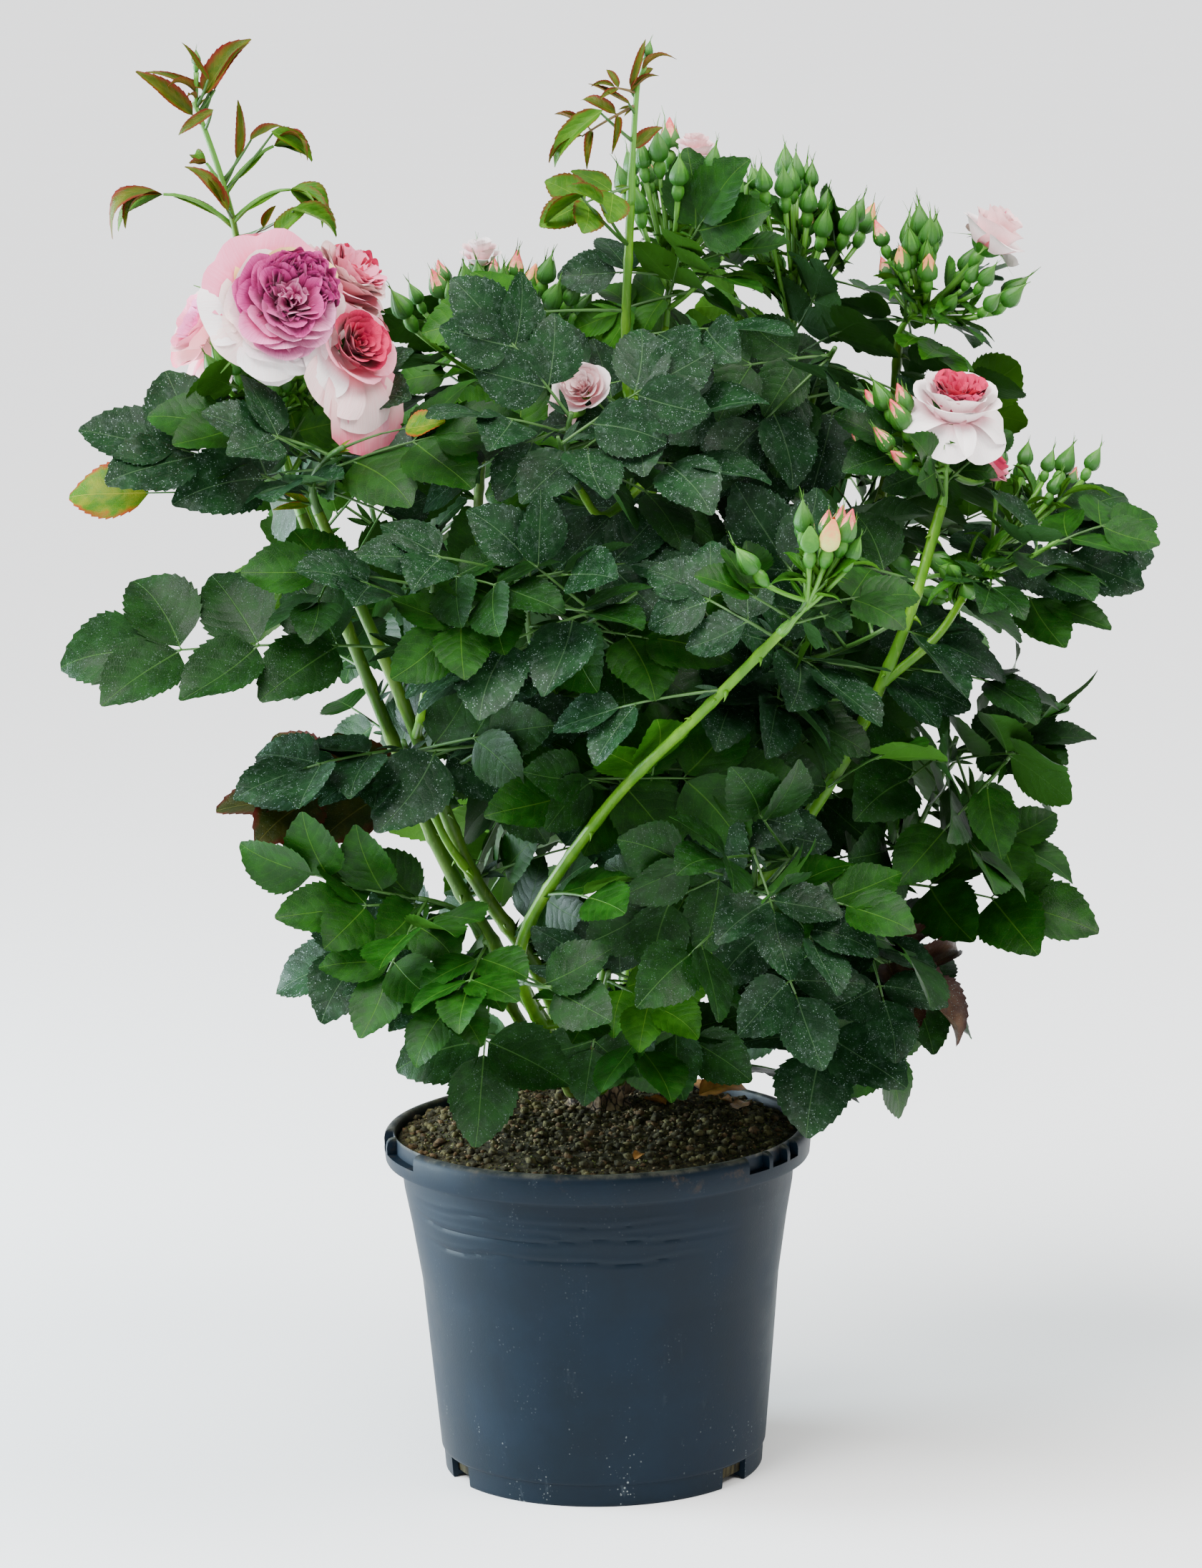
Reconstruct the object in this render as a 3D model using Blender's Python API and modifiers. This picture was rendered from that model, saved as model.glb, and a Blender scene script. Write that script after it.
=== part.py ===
"""Rose bush in its nursery pot, as separate named solids.

Units are metres and +Z is up. The origin is the centre of the pot's underside, and the
bush is seen from its front along +Y. The pot, the soil, the woody crown, the canes with
their side shoots, and the masses of leaves, buds and blooms are each an object of their own.
"""

import math
import random

import bmesh
import bpy
from mathutils import Vector
from mathutils.bvhtree import BVHTree

# ---------------------------------------------------------------- driving dimensions
GAP = 0.0003                 # clearance between two objects that meet
MERGE = 0.00001              # largest distance that is welded
CUT_MARGIN = 0.01            # how far a cutter runs past what it cuts
FLAT_ANGLE = math.radians(0.5)

POT_HEIGHT = 0.195
POT_RIM_RADIUS = 0.1195
POT_FOOT_RADIUS = 0.0896
POT_LIP_HEIGHT = 0.0165
POT_WALL = 0.0022
POT_FLOOR = 0.004            # top of the pot's floor
POT_MOUTH_RADIUS = 0.1130    # inside the lip
POT_THROAT = 0.1840          # height at which the inside has opened to the mouth
# Radius and height down the outside of the body: under the lip, the upper band, its foot,
# the taper and the ledge above the foot ring.
POT_BODY = ((0.1100, 0.1763), (0.1088, 0.1640), (0.1050, 0.1430), (0.1000, 0.1100), (0.0915, 0.0130))
POT_SEGMENTS = 30
HUB_RADIUS = 0.030           # flat pad under the middle of the pot
HUB_RECESS = 0.0016          # the rest of the underside stands this much higher
FOOT_LEDGE = 0.0010          # how far the foot ring is set back under the body
NOTCH_HEIGHT = 0.012
NOTCH_DEPTH = 0.012
NOTCH_ANGLES = (206.0, 324.0, 85.0)
NOTCH_SPAN = 14.0
DRAIN_HOLES = 4
DRAIN_RADIUS = 0.006
DRAIN_RING = 0.060
SLOT_SPANS = ((180.0, 190.0), (192.0, 212.0), (314.0, 322.0), (323.6, 331.0), (332.6, 338.0))
SLOT_INNER = 0.1145          # radius of the wall behind the slots in the rim
SLOT_FLOOR = 0.1860

SOIL_EDGE = 0.1905           # height of the soil at the pot's wall
SOIL_TOP = 0.1990            # height of the flat middle of the mound
SOIL_FLAT_RADIUS = 0.064
SOIL_CLEARANCE = 0.0006

CROWN_CENTRE = Vector((0.000, 0.036, 0.0))
CROWN_FOOT_RADIUS = 0.021
CROWN_HEIGHT = 0.034

LEAF_KEEL = 0.0012            # depth of a leaflet under its flat top
LEAF_WIDEST = 0.42           # where a leaflet is widest, as a share of its length
STEM_RADIUS = 0.0020
STALK_RADIUS = 0.0010
ROOT_TAPER = 0.5             # a stalk's root, inside the stem, as a share of its radius
ROOT_DEPTH = 0.0025          # how far a leaflet, bud or flower stalk is sunk into its twig
GOLDEN_ANGLE = math.radians(137.508)
UP = Vector((0.0, 0.0, 1.0))
VIEW = Vector((0.0, -1.0, 0.25))

# A compound leaf by its pairs of side leaflets: length of a leaflet as a share of the
# leaf's length, and where the pairs stand along it.
LEAFLET_SHARE = {0: 1.0, 1: 0.54, 2: 0.43, 3: 0.28}
PAIR_PLACES = {0: (), 1: (0.40,), 2: (0.20, 0.49), 3: (0.24, 0.45, 0.66)}
SHORTEST_STALK = 0.14
STALK_ARCH = 0.22
LEAFLET_DROOP = 0.16
SIDE_ANGLE = math.radians(68.0)
SIDE_SIZE = 0.94
LEAF_WIDTH = 0.78
YOUNG_NARROWING = 0.5
TEST_KEEL = 0.0025           # depth of a leaflet in the test for room
FREE_FROM = 0.15             # a stalk or twig is clear of all else from here on
SHORTEST_TWIG = 0.03
LIMB_CLEARANCE = 0.0012
LEAFLET_ROOT = 0.0016        # half the length of stalk that a side leaflet's root takes

# Canes: radius at the crown, radius at the tip, and the points that each passes through.
CANES = {
    "cane_left_rear": (0.0048, 0.0032, ((-0.011, 0.035, 0.216), (-0.052, 0.010, 0.290),
        (-0.085, -0.010, 0.357), (-0.119, -0.020, 0.448), (-0.155, -0.015, 0.545))),
    "cane_left_front": (0.0046, 0.0030, ((-0.006, 0.026, 0.214), (-0.034, -0.010, 0.290),
        (-0.067, -0.035, 0.349), (-0.102, -0.055, 0.449), (-0.144, -0.050, 0.550))),
    "cane_tall": (0.0046, 0.0026, ((0.006, 0.040, 0.218), (0.033, 0.020, 0.340),
        (0.040, -0.004, 0.450), (0.036, -0.022, 0.560), (0.024, -0.030, 0.619),
        (0.028, -0.030, 0.715))),
    "cane_front": (0.0046, 0.0030, ((0.002, 0.020, 0.212), (-0.034, -0.038, 0.270),
        (-0.037, -0.080, 0.322), (0.009, -0.130, 0.400), (0.060, -0.156, 0.455),
        (0.103, -0.170, 0.500))),
    "cane_right": (0.0046, 0.0028, ((0.010, 0.027, 0.216), (0.084, -0.040, 0.329),
        (0.134, -0.064, 0.405), (0.170, -0.067, 0.480), (0.193, -0.050, 0.547))),
    "cane_low_right": (0.0040, 0.0026, ((0.010, 0.033, 0.2070), (0.049, 0.044, 0.219),
        (0.083, 0.050, 0.242), (0.130, 0.040, 0.280), (0.156, 0.030, 0.313))),
    "cane_rear_right": (0.0042, 0.0026, ((0.006, 0.050, 0.216), (0.075, 0.090, 0.371),
        (0.104, 0.082, 0.500), (0.113, 0.060, 0.607))),
    "cane_rear_left": (0.0042, 0.0026, ((-0.006, 0.049, 0.216), (-0.047, 0.120, 0.368),
        (-0.061, 0.110, 0.507), (-0.054, 0.060, 0.593))),
    "cane_far_right": (0.0042, 0.0026, ((0.013, 0.044, 0.2115), (0.112, 0.140, 0.384),
        (0.166, 0.100, 0.526), (0.176, 0.040, 0.630))),
    "cane_rear_middle": (0.0040, 0.0026, ((0.000, 0.054, 0.212), (0.017, 0.150, 0.362),
        (0.024, 0.170, 0.497))),
    "cane_low_left": (0.0040, 0.0026, ((-0.013, 0.028, 0.209), (-0.042, -0.028, 0.262),
        (-0.063, -0.070, 0.321))),
}

# Side shoots: the cane each leaves, how far along it, the point it passes and its tip.
SHOOTS = {
    "shoot_young": ("cane_left_rear", 0.80, (-0.176, 0.052, 0.600), (-0.187, 0.012, 0.690)),
    "shoot_left_wing": ("cane_left_front", 0.70, (-0.090, -0.080, 0.445), (-0.086, -0.086, 0.470)),
    "shoot_left_middle": ("cane_left_front", 0.46, (-0.078, -0.050, 0.366), (-0.088, -0.050, 0.388)),
    "shoot_front_left": ("cane_front", 0.30, (-0.050, -0.072, 0.284), (-0.054, -0.092, 0.302)),
    "shoot_front_middle": ("cane_front", 0.16, (-0.004, -0.028, 0.262), (0.002, -0.060, 0.276)),
    "shoot_front_right": ("cane_right", 0.20, (0.070, -0.060, 0.300), (0.082, -0.088, 0.330)),
    "shoot_low_right": ("cane_low_right", 0.70, (0.118, 0.018, 0.272), (0.132, -0.002, 0.288)),
    "shoot_right_upper": ("cane_right", 0.66, (0.188, -0.068, 0.478), (0.206, -0.050, 0.500)),
    "shoot_top_middle": ("cane_tall", 0.74, (0.042, -0.008, 0.620), (0.046, 0.000, 0.642)),
    "shoot_upper_front": ("cane_tall", 0.62, (0.010, -0.046, 0.545), (-0.003, -0.060, 0.562)),
    "shoot_middle_left": ("cane_tall", 0.38, (-0.010, -0.050, 0.440), (-0.026, -0.078, 0.468)),
    "shoot_middle_right": ("cane_rear_right", 0.44, (0.092, 0.040, 0.425), (0.094, -0.004, 0.436)),
    "shoot_low_middle": ("cane_tall", 0.22, (0.034, -0.020, 0.350), (0.030, -0.052, 0.374)),
    "shoot_rear_left": ("cane_rear_left", 0.40, (-0.080, 0.138, 0.420), (-0.100, 0.146, 0.455)),
    "shoot_rear_right": ("cane_far_right", 0.40, (0.140, 0.160, 0.420), (0.152, 0.166, 0.460)),
    "shoot_rear_low": ("cane_rear_middle", 0.30, (0.006, 0.138, 0.310), (0.004, 0.160, 0.338)),
    "shoot_upper_right": ("cane_rear_right", 0.84, (0.122, 0.044, 0.580), (0.128, 0.022, 0.602)),
}
SHOOT_RADII = (0.0026, 0.0020)

# Masses: the limb that each grows on, the tip of its stem, the middle and half-sizes of its
# space, its number of compound leaves, their length, and how much they face outward.
MASSES = {
    "blooms_left": ("cane_left_rear", (-0.168, -0.020, 0.618), (-0.160, -0.030, 0.600),
        (0.080, 0.080, 0.060), 3, 0.075, 0.6),
    "young_shoot_left": ("shoot_young", (-0.207, -0.010, 0.770), (-0.190, 0.000, 0.745),
        (0.085, 0.060, 0.065), 0, 0.060, 0.5),
    "leaves_upper_left": ("cane_left_front", (-0.128, -0.088, 0.590), (-0.150, -0.070, 0.575),
        (0.140, 0.070, 0.055), 4, 0.115, 0.45),
    "leaves_left_wing": ("shoot_left_wing", (-0.082, -0.104, 0.535), (-0.080, -0.105, 0.510),
        (0.100, 0.060, 0.070), 3, 0.115, 0.6),
    "leaves_left_middle": ("shoot_left_middle", (-0.100, -0.085, 0.430), (-0.095, -0.080, 0.415),
        (0.100, 0.070, 0.070), 4, 0.130, 0.7),
    "leaves_low_left": ("cane_low_left", (-0.094, -0.098, 0.346), (-0.120, -0.100, 0.325),
        (0.085, 0.075, 0.080), 2, 0.115, 0.9),
    "leaves_front_left": ("shoot_front_left", (-0.058, -0.128, 0.328), (-0.050, -0.130, 0.295),
        (0.085, 0.070, 0.085), 3, 0.110, 0.9),
    "leaves_front_middle": ("shoot_front_middle", (0.008, -0.098, 0.304), (0.010, -0.110, 0.280),
        (0.080, 0.080, 0.070), 3, 0.105, 0.9),
    "leaves_front_right": ("shoot_front_right", (0.086, -0.126, 0.375), (0.080, -0.130, 0.340),
        (0.090, 0.070, 0.100), 3, 0.130, 0.9),
    "leaves_low_right": ("shoot_low_right", (0.150, -0.036, 0.322), (0.150, -0.020, 0.285),
        (0.095, 0.100, 0.080), 3, 0.125, 0.8),
    "leaves_right_middle": ("cane_low_right", (0.204, 0.010, 0.410), (0.190, 0.000, 0.385),
        (0.105, 0.100, 0.105), 5, 0.130, 0.7),
    "truss_right_upper": ("shoot_right_upper", (0.226, -0.030, 0.524), (0.235, -0.030, 0.510),
        (0.085, 0.085, 0.060), 3, 0.095, 0.5),
    "truss_right_bloom": ("cane_right", (0.195, -0.050, 0.570), (0.190, -0.040, 0.580),
        (0.065, 0.065, 0.045), 1, 0.070, 0.5),
    "truss_right_top": ("cane_far_right", (0.192, 0.022, 0.648), (0.190, 0.030, 0.635),
        (0.080, 0.080, 0.050), 2, 0.080, 0.5),
    "truss_top_right": ("cane_rear_right", (0.120, 0.052, 0.652), (0.125, 0.050, 0.655),
        (0.070, 0.080, 0.060), 3, 0.090, 0.5),
    "truss_top_middle": ("shoot_top_middle", (0.050, 0.004, 0.676), (0.052, 0.015, 0.675),
        (0.065, 0.080, 0.065), 3, 0.085, 0.5),
    "tall_shoot": ("cane_tall", (0.033, -0.030, 0.778), (0.015, -0.030, 0.745),
        (0.070, 0.050, 0.060), 0, 0.060, 0.4),
    "truss_top_left": ("cane_rear_left", (-0.050, 0.038, 0.622), (-0.055, 0.040, 0.625),
        (0.085, 0.080, 0.055), 3, 0.090, 0.5),
    "leaves_upper_front": ("shoot_upper_front", (-0.006, -0.088, 0.606), (0.000, -0.075, 0.590),
        (0.110, 0.070, 0.070), 6, 0.128, 0.5),
    "leaves_middle_left": ("shoot_middle_left", (-0.030, -0.112, 0.528), (-0.020, -0.110, 0.490),
        (0.105, 0.070, 0.085), 6, 0.132, 0.6),
    "leaves_middle_right": ("shoot_middle_right", (0.118, -0.078, 0.500), (0.118, -0.072, 0.465),
        (0.105, 0.090, 0.105), 8, 0.132, 0.7),
    "truss_front": ("cane_front", (0.117, -0.178, 0.516), (0.115, -0.178, 0.520),
        (0.060, 0.050, 0.050), 1, 0.060, 0.5),
    "leaves_rear_left": ("shoot_rear_left", (-0.124, 0.150, 0.530), (-0.110, 0.140, 0.500),
        (0.115, 0.105, 0.115), 6, 0.138, 0.6),
    "leaves_rear_middle": ("cane_rear_middle", (0.018, 0.176, 0.575), (0.010, 0.180, 0.560),
        (0.115, 0.095, 0.115), 6, 0.138, 0.6),
    "leaves_rear_right": ("shoot_rear_right", (0.168, 0.164, 0.540), (0.155, 0.155, 0.500),
        (0.115, 0.105, 0.115), 6, 0.138, 0.6),
    "leaves_rear_low": ("shoot_rear_low", (0.020, 0.190, 0.400), (0.000, 0.165, 0.355),
        (0.140, 0.095, 0.100), 5, 0.138, 0.8),
    "leaves_low_middle": ("shoot_low_middle", (0.030, -0.092, 0.420), (0.030, -0.090, 0.400),
        (0.100, 0.070, 0.080), 5, 0.128, 0.8),
    "leaves_upper_right": ("shoot_upper_right", (0.138, -0.012, 0.630), (0.125, -0.010, 0.585),
        (0.085, 0.080, 0.080), 4, 0.120, 0.6),
}

# Leaves with a place of their own: the mass, how far along its stem, the leaf's tip, and its
# pairs of side leaflets. A count of 0 or less gives the narrow folded leaflets of young growth.
PLACED_LEAVES = (
    ("leaves_left_wing", 0.15, (-0.285, -0.075, 0.473), 3),
    ("leaves_upper_left", 0.20, (-0.272, -0.050, 0.599), 2),
    ("leaves_upper_left", 0.08, (-0.281, -0.030, 0.560), 1),
    ("leaves_upper_left", 0.70, (-0.201, -0.100, 0.612), 1),
    ("leaves_upper_left", 0.90, (-0.073, -0.110, 0.606), 1),
    ("leaves_left_middle", 0.10, (-0.205, -0.050, 0.389), 2),
    ("leaves_left_middle", 0.60, (-0.146, -0.100, 0.400), 1),
    ("leaves_low_left", 0.60, (-0.170, -0.120, 0.342), 2),
    ("leaves_low_left", 0.25, (-0.175, -0.060, 0.288), 2),
    ("leaves_low_left", 0.90, (-0.125, -0.155, 0.283), 2),
    ("leaves_front_left", 0.10, (-0.065, -0.125, 0.214), 1),
    ("leaves_front_left", 0.80, (-0.096, -0.160, 0.268), 2),
    ("leaves_front_middle", 0.30, (-0.007, -0.100, 0.230), 1),
    ("leaves_front_middle", 0.15, (0.034, -0.070, 0.229), 1),
    ("leaves_front_right", 0.95, (0.105, -0.160, 0.311), 1),
    ("leaves_front_right", 0.30, (0.122, -0.130, 0.254), 2),
    ("leaves_front_right", 0.90, (0.045, -0.180, 0.374), 1),
    ("leaves_low_right", 0.10, (0.113, -0.110, 0.213), 2),
    ("leaves_low_right", 0.15, (0.171, 0.000, 0.195), 2),
    ("leaves_low_right", 0.40, (0.211, 0.010, 0.238), 2),
    ("leaves_low_right", 0.80, (0.163, -0.090, 0.248), 2),
    ("leaves_right_middle", 0.15, (0.282, 0.000, 0.300), 2),
    ("leaves_right_middle", 0.60, (0.267, -0.010, 0.330), 2),
    ("leaves_right_middle", 0.92, (0.281, 0.000, 0.409), 2),
    ("truss_right_upper", 0.40, (0.313, -0.010, 0.514), 2),
    ("truss_right_upper", 0.15, (0.284, -0.060, 0.480), 1),
    ("truss_right_upper", 0.85, (0.299, 0.010, 0.545), 1),
    ("tall_shoot", 0.80, (-0.016, -0.040, 0.736), -2),
    ("tall_shoot", 0.10, (-0.021, -0.060, 0.703), 2),
    ("tall_shoot", 0.90, (0.008, -0.034, 0.776), -1),
    ("truss_top_middle", 0.80, (0.091, -0.030, 0.735), 1),
    ("leaves_upper_front", 0.95, (-0.068, -0.085, 0.679), 2),
    ("leaves_middle_left", 0.85, (-0.103, -0.150, 0.475), 2),
    ("young_shoot_left", 0.15, (-0.256, 0.000, 0.698), -1),
    ("young_shoot_left", 0.20, (-0.131, -0.020, 0.702), -1),
    ("young_shoot_left", 0.42, (-0.144, 0.000, 0.737), -1),
    ("young_shoot_left", 0.30, (-0.212, 0.006, 0.737), -1),
    ("young_shoot_left", 0.86, (-0.236, -0.020, 0.788), 0),
    ("young_shoot_left", 0.96, (-0.178, -0.010, 0.805), 0),
)

# Blooms: the mass, the middle, the way it faces and its radius.
BLOOMS = (
    ("blooms_left", (-0.162, -0.070, 0.665), (0.18, -0.88, 0.42), 0.038),
    ("blooms_left", (-0.206, -0.014, 0.649), (-0.75, -0.30, 0.45), 0.028),
    ("blooms_left", (-0.128, -0.018, 0.676), (0.60, -0.20, 0.75), 0.030),
    ("blooms_left", (-0.120, -0.058, 0.642), (0.60, -0.65, 0.45), 0.024),
    ("blooms_left", (-0.176, -0.006, 0.688), (-0.20, 0.30, 0.92), 0.022),
    ("truss_top_middle", (0.064, 0.010, 0.738), (0.10, -0.20, 0.95), 0.013),
    ("truss_top_left", (-0.055, 0.030, 0.682), (0.00, -0.20, 0.95), 0.012),
    ("leaves_upper_front", (0.000, -0.066, 0.617), (-0.20, -0.75, 0.60), 0.017),
    ("truss_right_bloom", (0.202, -0.050, 0.606), (0.12, -0.35, 0.92), 0.026),
    ("truss_right_bloom", (0.224, -0.010, 0.562), (0.60, -0.10, 0.70), 0.011),
    ("truss_right_top", (0.227, 0.006, 0.690), (0.55, -0.10, 0.80), 0.020),
)

# Clusters of buds: the mass, the middle of the cluster, its radius and the number of buds.
BUD_CLUSTERS = (
    ("blooms_left", (-0.168, -0.020, 0.612), 0.024, 4),
    ("truss_top_left", (-0.062, 0.034, 0.655), 0.026, 5),
    ("truss_top_left", (-0.022, 0.022, 0.650), 0.020, 3),
    ("truss_top_middle", (0.052, 0.004, 0.712), 0.028, 6),
    ("truss_top_right", (0.112, 0.050, 0.702), 0.026, 5),
    ("truss_top_right", (0.142, 0.050, 0.682), 0.020, 4),
    ("truss_right_top", (0.180, 0.020, 0.674), 0.022, 4),
    ("truss_right_top", (0.214, 0.014, 0.660), 0.016, 3),
    ("truss_right_bloom", (0.176, -0.042, 0.584), 0.018, 4),
    ("truss_right_upper", (0.250, 0.000, 0.545), 0.024, 4),
    ("truss_right_upper", (0.196, -0.060, 0.505), 0.018, 3),
    ("truss_front", (0.122, -0.180, 0.538), 0.014, 3),
    ("truss_front", (0.091, -0.182, 0.525), 0.004, 1),
    ("tall_shoot", (0.034, -0.030, 0.785), 0.006, 2),
    ("young_shoot_left", (-0.208, -0.010, 0.786), 0.004, 1),
)
BUD_LENGTH = 0.019
BUD_RADIUS = 0.0045
BLOOM_SIDES = 8

COLOURS = {
    "pot": ((0.085, 0.125, 0.165), 0.45),
    "soil": ((0.060, 0.042, 0.028), 0.95),
    "crown": ((0.120, 0.085, 0.055), 0.85),
    "cane": ((0.130, 0.260, 0.045), 0.50),
    "leaf": ((0.018, 0.085, 0.022), 0.45),
    "young": ((0.110, 0.130, 0.035), 0.50),
    "bloom": ((0.780, 0.420, 0.520), 0.60),
}
BLOOM_MASSES = ("blooms_left",)
YOUNG_MASSES = ("young_shoot_left",)


# ---------------------------------------------------------------- plain geometry
def curve_point(points, t):
    """Point at t, from 0 to 1, on the smooth curve through the points."""
    spans = len(points) - 1
    place = min(max(t, 0.0), 1.0) * spans
    i = min(int(place), spans - 1)
    f = place - i
    p1 = Vector(points[i])
    p2 = Vector(points[i + 1])
    p0 = Vector(points[i - 1]) if i > 0 else 2 * p1 - p2
    p3 = Vector(points[i + 2]) if i + 2 <= spans else 2 * p2 - p1
    return 0.5 * (2 * p1 + (p2 - p0) * f + (2 * p0 - 5 * p1 + 4 * p2 - p3) * f * f
                  + (3 * p1 - p0 - 3 * p2 + p3) * f ** 3)


def bezier_point(a, b, c, t):
    return a * (1 - t) ** 2 + b * 2 * t * (1 - t) + c * t * t


def tube_shape(points, radii, sides, heading=None):
    """Vertices and faces of a capped tapering tube; its rings turn as little as they can.

    The first ring is square to the heading where one is given.
    """
    rings = []
    count = len(points)
    heading = heading or points[1] - points[0]
    across = heading.orthogonal().normalized()
    for i, point in enumerate(points):
        ahead = points[min(i + 1, count - 1)] - points[i - 1] if i > 0 else heading
        forward = ahead.normalized()
        across = (across - forward * across.dot(forward)).normalized()
        other = forward.cross(across)
        for k in range(sides):
            angle = 2 * math.pi * k / sides
            rings.append(point + (across * math.cos(angle) + other * math.sin(angle)) * radii[i])
    faces = [tuple(range(sides - 1, -1, -1))]
    for i in range(count - 1):
        for k in range(sides):
            a = i * sides + k
            b = i * sides + (k + 1) % sides
            faces.append((a, b, b + sides, a + sides))
    faces.append(tuple((count - 1) * sides + k for k in range(sides)))
    return rings, faces


def blade_shape(root, tip, face, width, keel):
    """A leaflet of six faces: flat on top, keeled below, and widest before its middle."""
    length = (tip - root).length
    along = (tip - root) / length
    side = along.cross(face).normalized()
    below = along.cross(side)
    middle = root + along * length * LEAF_WIDEST
    half = side * width * 0.5
    verts = [root, middle - half, middle + half, middle + below * keel, tip]
    faces = [(0, 2, 1), (0, 1, 3), (0, 3, 2), (4, 1, 2), (4, 3, 1), (4, 2, 3)]
    return verts, faces


def leaf_shape(stalk, places, side, face, blades):
    """A compound leaf as one closed body: a three-sided stalk that opens into its leaflets.

    blades holds the end leaflet and then, by (pair, hand), each side leaflet that is kept,
    as (root, tip, face, width).
    """
    length = (blades["end"][1] - stalk(0.0)).length
    half_root = LEAFLET_ROOT / length
    stops = [0.0]
    for place in places:
        stops += [place - half_root, place + half_root]
    stops.append(places[-1] + half_root + 0.10 if places else 0.10)
    verts = []
    for i, stop in enumerate(stops):
        radius = STALK_RADIUS * (ROOT_TAPER if i == 0 else 1.1 - 0.25 * i / len(stops))
        point = stalk(stop)
        verts += [point - side * radius * 0.87 + face * radius * 0.5,
                  point + side * radius * 0.87 + face * radius * 0.5, point - face * radius]
    faces = [(2, 1, 0)]

    def add_middle(root, tip, up, width):
        along = (tip - root).normalized()
        across = along.cross(up).normalized()
        middle = root.lerp(tip, LEAF_WIDEST)
        below = along.cross(across)
        first = len(verts)
        verts.extend([middle - across * width * 0.5, middle + across * width * 0.5,
                      middle + below * LEAF_KEEL, tip])
        return first

    for i in range(len(stops) - 1):
        a = 3 * i
        faces.append((a, a + 1, a + 4, a + 3))
        for hand, near, low in ((-1, a, a + 2), (1, a + 1, a + 2)):
            blade = blades.get((i // 2, hand)) if i % 2 == 1 else None
            if blade is None:
                faces.append((low, near, near + 3, low + 3))
                continue
            first = add_middle(*blade)
            back, front = (first + 1, first) if hand > 0 else (first, first + 1)
            faces += [(near, near + 3, front, back), (near + 3, low + 3, first + 2, front),
                      (low, near, back, first + 2), (low + 3, low, first + 2),
                      (back, front, first + 3), (front, first + 2, first + 3),
                      (first + 2, back, first + 3)]
    last = 3 * (len(stops) - 1)
    first = add_middle(*blades["end"])
    faces += [(last, last + 1, first + 1, first), (last + 1, last + 2, first + 2, first + 1),
              (last + 2, last, first, first + 2), (first, first + 1, first + 3),
              (first + 1, first + 2, first + 3), (first + 2, first, first + 3)]
    return verts, faces


def spindle_shape(base, axis, stations, sides):
    """A closed body round an axis, from (height, radius) stations; a radius of 0 is a point."""
    across = axis.orthogonal().normalized()
    other = axis.cross(across)
    verts = []
    rows = []
    for height, radius in stations:
        if radius == 0.0:
            rows.append([len(verts)])
            verts.append(base + axis * height)
            continue
        rows.append(list(range(len(verts), len(verts) + sides)))
        for k in range(sides):
            angle = 2 * math.pi * k / sides
            turn = across * math.cos(angle) + other * math.sin(angle)
            verts.append(base + axis * height + turn * radius)
    faces = []
    for low, high in zip(rows, rows[1:]):
        for k in range(sides):
            n = (k + 1) % sides
            if len(low) == 1:
                faces.append((low[0], high[n], high[k]))
            elif len(high) == 1:
                faces.append((low[k], low[n], high[0]))
            else:
                faces.append((low[k], low[n], high[n], high[k]))
    return verts, faces


# ---------------------------------------------------------------- growth
def limb_paths():
    """Path and radii of every cane and side shoot, by name."""
    paths = {}
    for name, (foot, tip, points) in CANES.items():
        steps = len(points)
        path = [curve_point(points, i / steps) for i in range(steps + 1)]
        radii = [foot + (tip - foot) * i / steps for i in range(steps + 1)]
        paths[name] = (path, radii, "crown")
    for name, (carrier, place, by, tip) in SHOOTS.items():
        carrier_path = paths[carrier][0]
        span = place * (len(carrier_path) - 1)
        joint = int(span)
        start = carrier_path[joint].lerp(carrier_path[joint + 1], span - joint)
        points = (start, by, tip)
        steps = 3
        path = [curve_point(points, i / steps) for i in range(steps + 1)]
        radii = [SHOOT_RADII[0] + (SHOOT_RADII[1] - SHOOT_RADII[0]) * i / steps
                 for i in range(steps + 1)]
        paths[name] = (path, radii, carrier)
    return paths


class Growth:
    """What stands where: keeps a leaf or twig from touching a limb or another piece."""

    def __init__(self, limbs):
        self.pieces = []
        for path, radii, _ in limbs.values():
            self.add(tube_shape(path, [r + LIMB_CLEARANCE for r in radii], 6))
        self.limb_count = len(self.pieces)

    def add(self, shape):
        verts, faces = shape
        centre = sum(verts, Vector()) / len(verts)
        reach = max((v - centre).length for v in verts)
        self.pieces.append((centre, reach, BVHTree.FromPolygons(verts, faces)))

    def clear(self, shape, of_limbs_only=False):
        verts, faces = shape
        for v in verts:
            if math.hypot(v.x, v.y) < POT_RIM_RADIUS + 0.012 and v.z < SOIL_TOP + 0.007:
                return False
        centre = sum(verts, Vector()) / len(verts)
        reach = max((v - centre).length for v in verts)
        tree = None
        others = self.pieces[:self.limb_count] if of_limbs_only else self.pieces
        for other_centre, other_reach, other_tree in others:
            if (centre - other_centre).length > reach + other_reach:
                continue
            tree = tree or BVHTree.FromPolygons(verts, faces)
            if tree.overlap(other_tree):
                return False
        return True


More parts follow.
